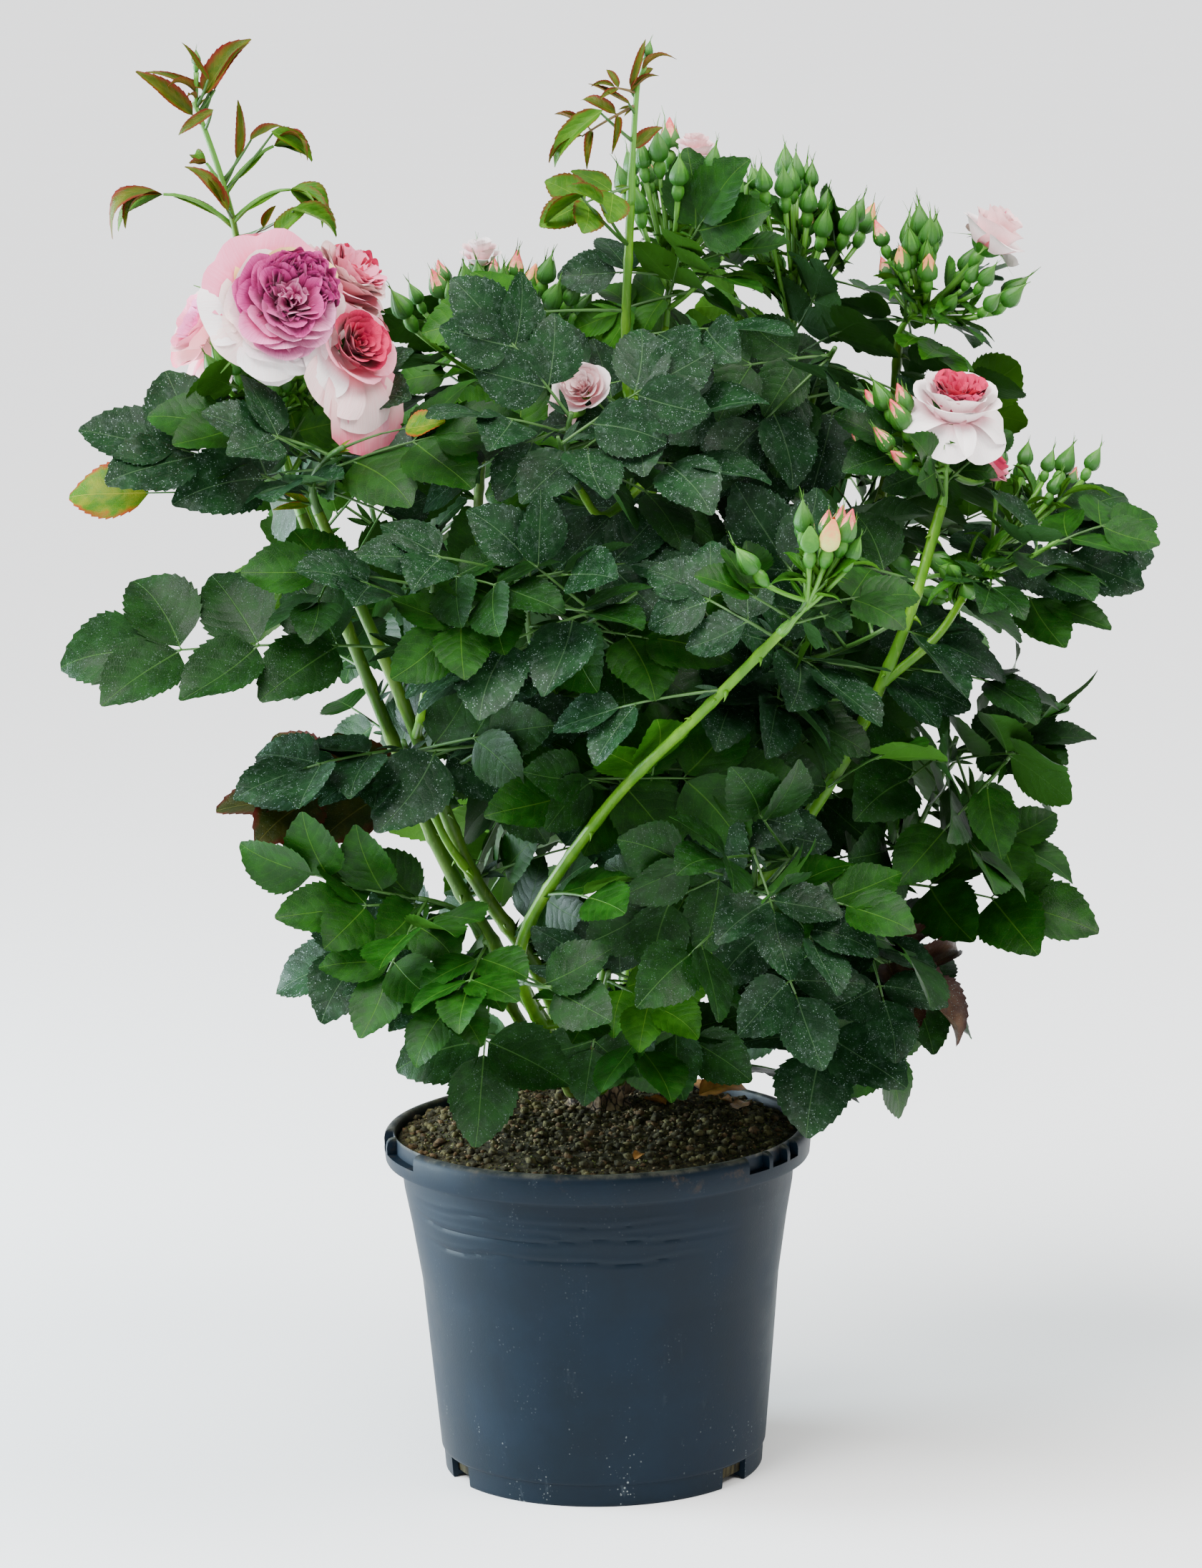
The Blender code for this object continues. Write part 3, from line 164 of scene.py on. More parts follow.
# Side shoots: the cane each leaves, how far along it, the point it passes and its tip.
SHOOTS = metres({
    "shoot_young": ("cane_left_rear", 0.80, (-176, 52, 600), (-187, 12, 690)),
    "shoot_left_wing": ("cane_left_front", 0.70, (-90, -80, 445), (-86, -86, 470)),
    "shoot_left_middle": ("cane_left_front", 0.46, (-78, -50, 366), (-88, -50, 388)),
    "shoot_front_left": ("cane_front", 0.30, (-50, -72, 284), (-54, -92, 302)),
    "shoot_front_middle": ("cane_front", 0.16, (-4, -28, 262), (2, -60, 276)),
    "shoot_front_right": ("cane_right", 0.20, (70, -60, 300), (82, -88, 330)),
    "shoot_low_right": ("cane_low_right", 0.70, (118, 18, 272), (132, -2, 288)),
    "shoot_right_upper": ("cane_right", 0.66, (188, -68, 478), (206, -50, 500)),
    "shoot_top_middle": ("cane_tall", 0.74, (42, -8, 620), (46, 0, 642)),
    "shoot_upper_front": ("cane_tall", 0.62, (10, -46, 545), (-3, -60, 562)),
    "shoot_middle_left": ("cane_tall", 0.38, (-10, -50, 440), (-26, -78, 468)),
    "shoot_middle_right": ("cane_rear_right", 0.44, (92, 40, 425), (94, -4, 436)),
    "shoot_low_middle": ("cane_tall", 0.22, (34, -20, 350), (30, -52, 374)),
    "shoot_rear_left": ("cane_rear_left", 0.40, (-80, 138, 420), (-100, 146, 455)),
    "shoot_rear_right": ("cane_far_right", 0.40, (140, 160, 420), (152, 166, 460)),
    "shoot_rear_low": ("cane_rear_middle", 0.30, (6, 138, 310), (4, 160, 338)),
    "shoot_upper_right": ("cane_rear_right", 0.84, (122, 44, 580), (128, 22, 602)),
})
SHOOT_RADII = (0.0026, 0.0020)

# Masses: the limb that each grows on, the tip of its stem, the middle and half-sizes of its
# space, its number of compound leaves, their length, and how much they face outward.
MASSES = metres({
    "blooms_left": ("cane_left_rear", (-168, -20, 618), (-160, -30, 600), (80, 80, 60), 3, 0.075, 0.6),
    "young_shoot_left": ("shoot_young", (-207, -10, 770), (-190, 0, 745), (85, 60, 65), 0, 0.060, 0.5),
    "leaves_upper_left": ("cane_left_front", (-128, -88, 590), (-150, -70, 575), (140, 70, 55),
        4, 0.115, 0.45),
    "leaves_left_wing": ("shoot_left_wing", (-82, -104, 535), (-80, -105, 510), (100, 60, 70),
        3, 0.115, 0.6),
    "leaves_left_middle": ("shoot_left_middle", (-100, -85, 430), (-95, -80, 415), (100, 70, 70),
        4, 0.130, 0.7),
    "leaves_low_left": ("cane_low_left", (-94, -98, 346), (-120, -100, 325), (85, 75, 80), 2, 0.115, 0.9),
    "leaves_front_left": ("shoot_front_left", (-58, -128, 328), (-50, -130, 295), (85, 70, 85),
        3, 0.110, 0.9),
    "leaves_front_middle": ("shoot_front_middle", (8, -98, 304), (10, -110, 280), (80, 80, 70),
        3, 0.105, 0.9),
    "leaves_front_right": ("shoot_front_right", (86, -126, 375), (80, -130, 340), (90, 70, 100),
        3, 0.130, 0.9),
    "leaves_low_right": ("shoot_low_right", (150, -36, 322), (150, -20, 285), (95, 100, 80), 3, 0.125, 0.8),
    "leaves_right_middle": ("cane_low_right", (204, 10, 410), (190, 0, 385), (105, 100, 105),
        5, 0.130, 0.7),
    "truss_right_upper": ("shoot_right_upper", (226, -30, 524), (235, -30, 510), (85, 85, 60),
        3, 0.095, 0.5),
    "truss_right_bloom": ("cane_right", (195, -50, 570), (190, -40, 580), (65, 65, 45), 1, 0.070, 0.5),
    "truss_right_top": ("cane_far_right", (192, 22, 648), (190, 30, 635), (80, 80, 50), 2, 0.080, 0.5),
    "truss_top_right": ("cane_rear_right", (120, 52, 652), (125, 50, 655), (70, 80, 60), 3, 0.090, 0.5),
    "truss_top_middle": ("shoot_top_middle", (50, 4, 676), (52, 15, 675), (65, 80, 65), 3, 0.085, 0.5),
    "tall_shoot": ("cane_tall", (33, -30, 778), (15, -30, 745), (70, 50, 60), 0, 0.060, 0.4),
    "truss_top_left": ("cane_rear_left", (-50, 38, 622), (-55, 40, 625), (85, 80, 55), 3, 0.090, 0.5),
    "leaves_upper_front": ("shoot_upper_front", (-6, -88, 606), (0, -75, 590), (110, 70, 70),
        6, 0.128, 0.5),
    "leaves_middle_left": ("shoot_middle_left", (-30, -112, 528), (-20, -110, 490), (105, 70, 85),
        6, 0.132, 0.6),
    "leaves_middle_right": ("shoot_middle_right", (118, -78, 500), (118, -72, 465), (105, 90, 105),
        8, 0.132, 0.7),
    "truss_front": ("cane_front", (117, -178, 516), (115, -178, 520), (60, 50, 50), 1, 0.060, 0.5),
    "leaves_rear_left": ("shoot_rear_left", (-124, 150, 530), (-110, 140, 500), (115, 105, 115),
        6, 0.138, 0.6),
    "leaves_rear_middle": ("cane_rear_middle", (18, 176, 575), (10, 180, 560), (115, 95, 115),
        6, 0.138, 0.6),
    "leaves_rear_right": ("shoot_rear_right", (168, 164, 540), (155, 155, 500), (115, 105, 115),
        6, 0.138, 0.6),
    "leaves_rear_low": ("shoot_rear_low", (20, 190, 400), (0, 165, 355), (140, 95, 100), 5, 0.138, 0.8),
    "leaves_low_middle": ("shoot_low_middle", (30, -92, 420), (30, -90, 400), (100, 70, 80), 5, 0.128, 0.8),
    "leaves_upper_right": ("shoot_upper_right", (138, -12, 630), (125, -10, 585), (85, 80, 80),
        4, 0.120, 0.6),
})

# Leaves with a place of their own: the mass, how far along its stem, the leaf's tip, and its
# pairs of side leaflets, then its finish where that is its own. A count of 0 or less gives the
# narrow folded leaflets of young growth.
PLACED_LEAVES = metres({
    "leaves_left_wing": ((0.15, (-285, -75, 473), 3, "leaf_deep"),),
    "leaves_upper_left": ((0.20, (-272, -50, 599), 2, "leaf_dusty"),
        (0.08, (-281, -30, 560), 1, "leaf_autumn"), (0.70, (-201, -100, 612), 1),
        (0.90, (-73, -110, 606), 1, "leaf_autumn")),
    "leaves_left_middle": ((0.10, (-205, -50, 389), 2, "leaf_bronze"), (0.60, (-146, -100, 400), 1)),
    "leaves_low_left": ((0.60, (-170, -120, 342), 2), (0.25, (-175, -60, 288), 2),
        (0.90, (-125, -155, 283), 2)),
    "leaves_front_left": ((0.10, (-65, -125, 214), 1), (0.80, (-96, -160, 268), 2)),
    "leaves_front_middle": ((0.30, (-7, -100, 230), 1), (0.15, (34, -70, 229), 1, "leaf_rich")),
    "leaves_front_right": ((0.95, (105, -160, 311), 1), (0.30, (122, -130, 254), 2),
        (0.90, (45, -180, 374), 1)),
    "leaves_low_right": ((0.10, (113, -110, 213), 2), (0.15, (171, 0, 195), 2), (0.40, (211, 10, 238), 2),
        (0.80, (163, -90, 248), 2)),
    "leaves_right_middle": ((0.15, (282, 0, 300), 2), (0.60, (267, -10, 330), 2), (0.92, (281, 0, 409), 2)),
    "truss_right_upper": ((0.40, (313, -10, 514), 2, "leaf_dusty"), (0.15, (284, -60, 480), 1),
        (0.85, (299, 10, 545), 1, "leaf_deep")),
    "tall_shoot": ((0.80, (-16, -40, 736), -2, "leaf_young"), (0.10, (-21, -60, 703), 2, "leaf_spring"),
        (0.90, (8, -34, 776), -1, "leaf_young")),
    "truss_top_middle": ((0.80, (91, -30, 735), 1, "leaf_rich"),),
    "leaves_upper_front": ((0.95, (-68, -85, 679), 2),),
    "leaves_middle_left": ((0.85, (-103, -150, 475), 2),),
    "young_shoot_left": ((0.15, (-256, 0, 698), -1, "leaf_young"),
        (0.20, (-131, -20, 702), -1, "leaf_young"), (0.42, (-144, 0, 737), -1, "leaf_young"),
        (0.30, (-212, 6, 737), -1, "leaf_young"), (0.86, (-236, -20, 788), 0, "leaf_young"),
        (0.96, (-178, -10, 805), 0, "leaf_young")),
})

# Blooms: the mass, the middle, the way it faces and its radius.
BLOOMS = metres((
    ("blooms_left", (-162, -70, 665), (0.18, -0.88, 0.42), 0.038),
    ("blooms_left", (-206, -14, 649), (-0.75, -0.30, 0.45), 0.028),
    ("blooms_left", (-128, -18, 676), (0.60, -0.20, 0.75), 0.030),
    ("blooms_left", (-120, -58, 642), (0.60, -0.65, 0.45), 0.024),
    ("blooms_left", (-176, -6, 688), (-0.20, 0.30, 0.92), 0.022),
    ("truss_top_middle", (64, 10, 738), (0.10, -0.20, 0.95), 0.013),
    ("truss_top_left", (-55, 30, 682), (0.00, -0.20, 0.95), 0.012),
    ("leaves_upper_front", (0, -66, 617), (-0.20, -0.75, 0.60), 0.017),
    ("truss_right_bloom", (202, -50, 606), (0.12, -0.35, 0.92), 0.026),
    ("truss_right_bloom", (224, -10, 562), (0.60, -0.10, 0.70), 0.011),
    ("truss_right_top", (227, 6, 690), (0.55, -0.10, 0.80), 0.020),
))

# Clusters of buds: the mass, the middle of the cluster, its radius and the number of buds.
BUD_CLUSTERS = metres((
    ("blooms_left", (-168, -20, 612), 0.024, 4),
    ("truss_top_left", (-62, 34, 655), 0.026, 5),
    ("truss_top_left", (-22, 22, 650), 0.020, 3),
    ("truss_top_middle", (52, 4, 712), 0.028, 6),
    ("truss_top_right", (112, 50, 702), 0.026, 5),
    ("truss_top_right", (142, 50, 682), 0.020, 4),
    ("truss_right_top", (180, 20, 674), 0.022, 4),
    ("truss_right_top", (214, 14, 660), 0.016, 3),
    ("truss_right_bloom", (176, -42, 584), 0.018, 4),
    ("truss_right_upper", (250, 0, 545), 0.024, 4),
    ("truss_right_upper", (196, -60, 505), 0.018, 3),
    ("truss_front", (122, -180, 538), 0.014, 3),
    ("truss_front", (91, -182, 525), 0.004, 1),
    ("tall_shoot", (34, -30, 785), 0.006, 2),
    ("young_shoot_left", (-208, -10, 786), 0.004, 1),
))
BUD_LENGTH = 0.019
BUD_RADIUS = 0.0045
BLOOM_SIDES = 8


# ---- finishes
# The shared map: tiles each way, and the lower edge and height that a leaflet takes on its tile.
MAP_TILES = 2
TILE_EDGE = 0.03
TILE_HEIGHT = 0.94
LEAF_HALF = 0.43                 # half the width of a leaflet's and of a petal's place on its tile
PETAL_HALF = 0.46
STREAK_TONE = (160, 180, 100)
BARK_LIGHT = (96, 76, 54)


def tone(*values):
    """A colour from its display values, 0 to 255."""
    shares = [value / 255 for value in values]
    return (*(share / 12.92 if share <= 0.04045 else ((share + 0.055) / 1.055) ** 2.4
              for share in shares), 1.0)


class Sockets:
    """A node's sockets by name or number: read as wires, or given a plain value or a wire."""

    def __init__(self, tree, sockets):
        self.tree = tree
        self.sockets = sockets

    def __getitem__(self, name):
        return Wire(self.tree, self.sockets[name])

    def __setitem__(self, name, value):
        if isinstance(value, Wire):
            self.tree.links.new(value.socket, self.sockets[name])
        else:
            self.sockets[name].default_value = value


def put(tree, kind, values=(), **settings):
    """Add a node; values are its inputs by name or number."""
    node = tree.nodes.new(kind)
    for key, value in settings.items():
        setattr(node, key, value)
    inputs = Sockets(tree, node.inputs)
    for key, value in dict(values).items():
        inputs[key] = value
    return Sockets(tree, node.outputs)


def sums(operation):
    """A sum of a wire, or of a wire and another value, as a method."""
    return lambda self, *others, **settings: put(
        self.tree, "ShaderNodeMath", enumerate((self, *others)), operation=operation, **settings)[0]


class Wire:
    """A value on its way between nodes; the usual signs do sums with it."""

    def __init__(self, tree, socket):
        self.tree = tree
        self.socket = socket

    __add__ = sums("ADD")
    __sub__ = sums("SUBTRACT")
    __mul__ = sums("MULTIPLY")
    __truediv__ = sums("DIVIDE")
    __pow__ = sums("POWER")
    __abs__ = sums("ABSOLUTE")
    fraction = sums("FRACT")
    greater = sums("MAXIMUM")

    def __rsub__(self, value):
        return self * -1.0 + value

    def clamped(self):
        return sums("ADD")(self, 0.0, use_clamp=True)

    def axis(self, index):
        return put(self.tree, "ShaderNodeSeparateXYZ", {0: self})[index]


def ramp(value, low, high, to_low=0.0, to_high=1.0):
    """Smooth step of a value between two levels."""
    return put(value.tree, "ShaderNodeMapRange",
               {"Value": value, "From Min": low, "From Max": high, "To Min": to_low, "To Max": to_high},
               interpolation_type="SMOOTHSTEP")[0]


def tree_of(values):
    return next(value.tree for value in values if isinstance(value, Wire))


def blend(amount, a, b):
    return put(tree_of((amount, a, b)), "ShaderNodeMix", {0: amount, 6: a, 7: b}, data_type="RGBA")[2]


def stretch(place, scale):
    return put(place.tree, "ShaderNodeVectorMath", {0: place, 1: scale}, operation="MULTIPLY")[0]


def cloud(place, scale, detail=3.0, rough=0.55):
    """Soft noise from 0 to 1."""
    return put(place.tree, "ShaderNodeTexNoise",
               {"Vector": place, "Scale": scale, "Detail": detail, "Roughness": rough})[0]


def cells(place, scale, **settings):
    return put(place.tree, "ShaderNodeTexVoronoi", {"Vector": place, "Scale": scale}, **settings)


def map_place(skin):
    return put(skin.tree, "ShaderNodeUVMap", uv_map="OFBake")[0]


def object_place(skin):
    return put(skin.tree, "ShaderNodeTexCoord")["Object"]


def start_group(name, inputs, outputs):
    """A shared effect; the kinds of its named inputs and outputs are Color, Float and Vector."""
    group = bpy.data.node_groups.new(name, "ShaderNodeTree")
    for way, sockets in (("INPUT", inputs), ("OUTPUT", outputs)):
        for label, kind in sockets.items():
            group.interface.new_socket(label, in_out=way, socket_type="NodeSocket" + kind)
    given = Sockets(group, group.nodes.new("NodeGroupInput").outputs)
    made = Sockets(group, group.nodes.new("NodeGroupOutput").inputs)
    return group, given, made


def place_group(group, **values):
    named = {label.replace("_", " "): value for label, value in values.items()}
    return put(tree_of(values.values()), "ShaderNodeGroup", named, node_tree=group)


def dust_group():
    """Fine pale specks that gather in patches."""
    group, given, made = start_group(
        "dust_specks", {"Place": "Vector", "Specks": "Float", "Patches": "Float"}, {"Mask": "Float"})
    spots = cells(given["Place"], given["Specks"])
    size = put(group, "ShaderNodeSeparateColor", {0: spots["Color"]})[0]
    dots = ramp(size * 0.39 - 0.02 - spots["Distance"], 0.0, 0.10)
    made["Mask"] = dots * ramp(cloud(given["Place"], given["Patches"], 4.0, 0.65), 0.40, 0.56)
    return group


def leaf_group(dust):
    """Upper side of a leaflet: midrib, side veins, mottling, margin and dust, from its own map."""
    group, given, made = start_group(
        "leaf_blade",
        {"Map": "Vector", "Blade": "Color", "Light": "Color", "Vein": "Color", "Margin": "Color",
         "Margin Width": "Float", "Dust": "Float", "Dust Tone": "Color"},
        {"Colour": "Color", "Height": "Float", "Roughness": "Float"})
    place = given["Map"]
    vein = given["Vein"]
    width = given["Margin Width"]
    along = (((place.axis(1) * MAP_TILES).fraction() - TILE_EDGE) / TILE_HEIGHT).clamped()
    aside = abs(((place.axis(0) * MAP_TILES).fraction() - 0.5) / LEAF_HALF)
    lift = aside ** 1.5 * 0.34 + cloud(place, 6.0, 2.0) * 0.22 - 0.11
    wave = abs(((along - lift) * 6.5).fraction() * 2.0 - 1.0)
    midrib = ramp(aside / (0.034 - along * 0.022), 1.0, 0.4)
    half = along ** 0.62 * (1.0 - along) ** 0.86
    edge = aside / (half * 2.735 + 0.02) + cloud(place, 14.0) * 0.7 - 0.35
    margin = ramp(edge, 1.0 - width, 1.06) * ramp(width, 0.0, 0.05)
    mottle = ramp(cloud(place, 7.0, 5.0, 0.6), 0.38, 0.68)
    net = ramp(cells(place, 75.0, feature="DISTANCE_TO_EDGE")["Distance"], 0.0, 0.12)
    colour = blend(mottle, given["Blade"], given["Light"])
    colour = blend(0.08 - net * 0.08, colour, vein)
    colour = blend(ramp(wave, 0.86, 0.99) * 0.10, colour, vein)
    colour = blend(margin, colour, given["Margin"])
    colour = blend(midrib * 0.60, colour, vein)
    specks = place_group(dust, Place=place, Specks=95.0, Patches=6.0)["Mask"]
    film = ramp(cloud(place, 16.0, 8.0, 0.8), 0.50, 0.74, 0.0, 0.24)
    veil = (specks.greater(film) * given["Dust"]).clamped()
    made["Colour"] = blend(veil, colour, given["Dust Tone"])
    made["Height"] = 0.55 - wave * wave * 0.55 + net * 0.20 - midrib * 0.9
    made["Roughness"] = veil * 0.30 + ramp(mottle, 0.0, 1.0, 0.38, 0.48)
    return group


def petal_group():
    """A petal's skin: its tone changes towards its rim, with fine streaks along it."""
    group, given, made = start_group(
        "petal_skin",
        {"Map": "Vector", "Heart": "Color", "Rim": "Color", "Turn": "Float", "Streak": "Float"},
        {"Colour": "Color", "Height": "Float"})
    place = given["Map"]
    heart = given["Heart"]
    along = (place.axis(1) * MAP_TILES).fraction() + cloud(place, 6.0) * 0.44 - 0.22
    change = ramp(along - given["Turn"], -0.24, 0.24)
    lines = ramp(cloud(stretch(place, (1.0, 0.06, 1.0)), 110.0), 0.35, 0.70)
    colour = blend(change, heart, given["Rim"])
    made["Colour"] = blend((lines * given["Streak"]).clamped(), colour, blend(0.65, colour, heart))
    made["Height"] = lines * 0.5 + change
    return group


FINISHES = {}                    # every new material by its name


def new_finish(name, roughness=0.5, **sockets):
    """The sockets of a new material's shader; its plain values go on them at once."""
    material = FINISHES[name] = bpy.data.materials.new(name)
    material.use_nodes = True
    skin = Sockets(material.node_tree, material.node_tree.nodes["Principled BSDF"].inputs)
    skin["Roughness"] = roughness
    for label, value in sockets.items():
        skin[label.replace("_", " ")] = value
    return skin


def raise_surface(skin, height, strength, distance):
    skin["Normal"] = put(skin.tree, "ShaderNodeBump",
                         {"Height": height, "Strength": strength, "Distance": distance})[0]


def back_of(skin):
    return put(skin.tree, "ShaderNodeNewGeometry")["Backfacing"]


# Blade, its lighter mottling, veins, underside, margin, margin width and dust.
LEAF_FINISHES = {
    "leaf_dusty": ((8, 38, 15), (17, 54, 22), (72, 104, 66), (40, 84, 30), (8, 38, 15), 0.0, 0.74),
    "leaf_deep": ((7, 40, 5), (14, 56, 8), (60, 100, 40), (40, 88, 18), (7, 40, 5), 0.0, 0.22),
    "leaf_rich": ((9, 50, 2), (20, 70, 4), (70, 114, 30), (50, 102, 12), (9, 50, 2), 0.0, 0.06),
    "leaf_fresh": ((24, 78, 2), (42, 100, 6), (96, 140, 40), (72, 124, 20), (24, 78, 2), 0.0, 0.0),
    "leaf_spring": ((46, 94, 4), (70, 114, 10), (116, 154, 46), (88, 126, 32), (96, 50, 14), 0.30, 0.0),
    "leaf_bronze": ((34, 46, 8), (58, 58, 14), (108, 106, 46), (78, 84, 36), (84, 28, 18), 0.50, 0.15),
    "leaf_young": ((56, 78, 6), (84, 88, 12), (124, 124, 38), (104, 74, 26), (108, 14, 12), 0.66, 0.0),
    "leaf_autumn": ((56, 104, 4), (112, 124, 8), (150, 152, 44), (100, 124, 34), (150, 50, 10), 0.30, 0.0),
    "leaf_withered": ((54, 34, 26), (80, 56, 38), (104, 86, 60), (88, 70, 52), (40, 18, 14), 0.5, 0.3),
    "leaf_dry": ((140, 92, 44), (186, 132, 70), (110, 74, 36), (160, 116, 60), (110, 64, 26), 0.30, 0.0),
}
DUST_TONE = tone(150, 170, 165)
# Heart, rim, the share of the petal's length where the one turns into the other, streaks, and
# the outer side. The names of these finishes go on from "petal_", here and in the tables of blooms.
PETAL_FINISHES = {
    "plum": ((96, 0, 50), (180, 24, 120), 0.75, 0.5, (164, 26, 106)),
    "magenta": ((132, 0, 72), (216, 74, 156), 0.82, 0.6, (196, 60, 142)),
    "orchid": ((206, 40, 122), (246, 146, 198), 0.70, 0.5, (238, 136, 190)),
    "lilac": ((176, 28, 112), (246, 166, 206), 0.80, 0.5, (226, 110, 174)),
    "pearl": ((246, 150, 186), (255, 238, 230), 0.52, 0.35, (255, 216, 218)),
    "rose": ((244, 70, 124), (255, 152, 184), 0.55, 0.4, (255, 156, 186)),
    "blush": ((252, 166, 178), (255, 222, 222), 0.50, 0.35, (255, 206, 208)),
    "white": ((250, 190, 200), (255, 250, 249), 0.46, 0.25, (255, 232, 232)),
    "cream": ((255, 196, 180), (255, 224, 140), 0.70, 0.4, (255, 218, 170)),
    "salmon": ((246, 88, 126), (255, 170, 192), 0.45, 0.4, (252, 150, 178)),
    "edged": ((255, 206, 206), (248, 84, 130), 0.82, 0.3, (255, 166, 178)),
    "crimson": ((128, 0, 36), (218, 16, 86), 0.70, 0.5, (228, 80, 128)),
}
# Tone low down, tone at the tip, and roughness.
BUD_FINISHES = {
    "bud_green": ((44, 112, 16), (74, 138, 30), 0.5), "sepal_green": ((36, 98, 14), (70, 126, 30), 0.5),
    "bud_pink": ((240, 206, 150), (226, 66, 84), 0.5), "bud_peach": ((206, 210, 110), (246, 140, 92), 0.5),
}
STALK_FINISHES = {
    "stalk_green": ((36, 78, 22), (64, 108, 36), 0.45), "stalk_fresh": ((62, 122, 26), (92, 150, 44), 0.4),
    "stalk_red": ((90, 50, 28), (96, 92, 36), 0.45),
}
# Green, its other tone, wood at the foot, and how far up the wood reaches.
CANE_FINISHES = {
    "cane_fresh": ((66, 118, 14), (98, 148, 28), (52, 42, 28), -0.02),
    "cane_olive": ((56, 94, 18), (84, 118, 32), (56, 42, 28), 0.10),
    "cane_woody": ((54, 74, 34), (70, 70, 40), (42, 30, 22), 0.62),
}
SOIL_FINISHES = {
    "soil_dark": ((34, 31, 21), (80, 74, 49)), "soil_crumb": ((62, 58, 36), (116, 108, 70)),
    "soil_bark": ((64, 50, 34), (114, 90, 60)), "soil_moss": ((66, 74, 30), (120, 126, 66)),
    "soil_pale": ((140, 122, 90), (190, 172, 138)),
}


def leaf_material(name, group, blade, light, vein, under, margin, margin_width, dust):
    """Leaf skin with a paler, duller underside."""
    skin = new_finish(name, Specular_IOR_Level=0.15)
    top = place_group(group, Map=map_place(skin), Blade=tone(*blade), Light=tone(*light),
                      Vein=tone(*vein), Margin=tone(*margin), Margin_Width=margin_width, Dust=dust,
                      Dust_Tone=DUST_TONE)
    back = back_of(skin)
    skin["Base Color"] = blend(back, top["Colour"], blend(0.62, top["Colour"], tone(*under)))
    skin["Roughness"] = (back * 0.22 + top["Roughness"]).clamped()
    raise_surface(skin, top["Height"], 0.5, 0.0004)


def petal_material(name, group, heart, rim, turn, streak, outer):
    """Petal skin: velvety, with its own tone on the outer side."""
    skin = new_finish("petal_" + name, 0.6, Specular_IOR_Level=0.25, Sheen_Weight=0.2)
    face = place_group(group, Map=map_place(skin), Heart=tone(*heart), Rim=tone(*rim), Turn=turn,
                       Streak=streak)
    outside = blend(0.6, face["Colour"], tone(*outer))
    skin["Base Color"] = blend(back_of(skin), face["Colour"], outside)
    raise_surface(skin, face["Height"], 0.35, 0.0004)


def stalk_material(name, low, high, roughness):
    """Smooth green stalk, streaked along its length."""
    skin = new_finish(name, roughness)
    lines = cloud(stretch(map_place(skin), (6.0, 0.8, 1.0)), 5.0)
    skin["Base Color"] = blend(ramp(lines, 0.35, 0.65), tone(*low), tone(*high))
    raise_surface(skin, lines, 0.3, 0.0003)


def bud_material(name, low, high, roughness):
    """Bud or sepal: one tone at its foot that changes to another at its tip."""
    skin = new_finish(name, roughness)
    place = map_place(skin)
    along = (place.axis(1) * MAP_TILES).fraction() + cloud(place, 24.0, 4.0) * 0.8 - 0.4
    skin["Base Color"] = blend(ramp(along, 0.25, 0.85), tone(*low), tone(*high))
    raise_surface(skin, cloud(place, 60.0, 2.0), 0.25, 0.0004)


def cane_material(name, green, other, foot, foot_reach):
    """Cane skin: streaks and pale spots on green, and bark at the foot."""
    skin = new_finish(name, Specular_IOR_Level=0.28)
    spot = object_place(skin)
    patches = cloud(stretch(spot, (1.0, 1.0, 0.35)), 70.0, 5.0, 0.6)
    grain = cloud(stretch(spot, (1.0, 1.0, 0.22)), 420.0)
    colour = blend(ramp(patches, 0.38, 0.66), tone(*green), tone(*other))
    colour = blend(ramp(grain, 0.60, 0.74, 0.0, 0.25), colour, tone(*STREAK_TONE))
    woody = ramp(patches * 0.30 + map_place(skin).axis(1), foot_reach, foot_reach + 0.16, 1.0, 0.0)
    bark = blend(ramp(grain, 0.35, 0.65), tone(*foot), tone(*BARK_LIGHT))
    skin["Base Color"] = blend(woody, colour, bark)
    skin["Roughness"] = woody * 0.35 + 0.40
    raise_surface(skin, grain, 0.35, 0.0004)


def bark_material():
    """Grey-brown cracked bark of the old wood."""
    skin = new_finish("crown_bark", 0.9)
    spot = object_place(skin)
    cracks = ramp(cells(stretch(spot, (1.0, 1.0, 0.45)), 260.0, feature="DISTANCE_TO_EDGE")["Distance"],
                  0.0, 0.16)
    patches = cloud(spot, 130.0, 6.0, 0.65)
    colour = blend(ramp(patches, 0.35, 0.68), tone(78, 60, 44), tone(160, 136, 106))
    skin["Base Color"] = blend(cracks, tone(34, 25, 18), colour)
    raise_surface(skin, cracks * 0.8 + patches, 0.8, 0.0012)


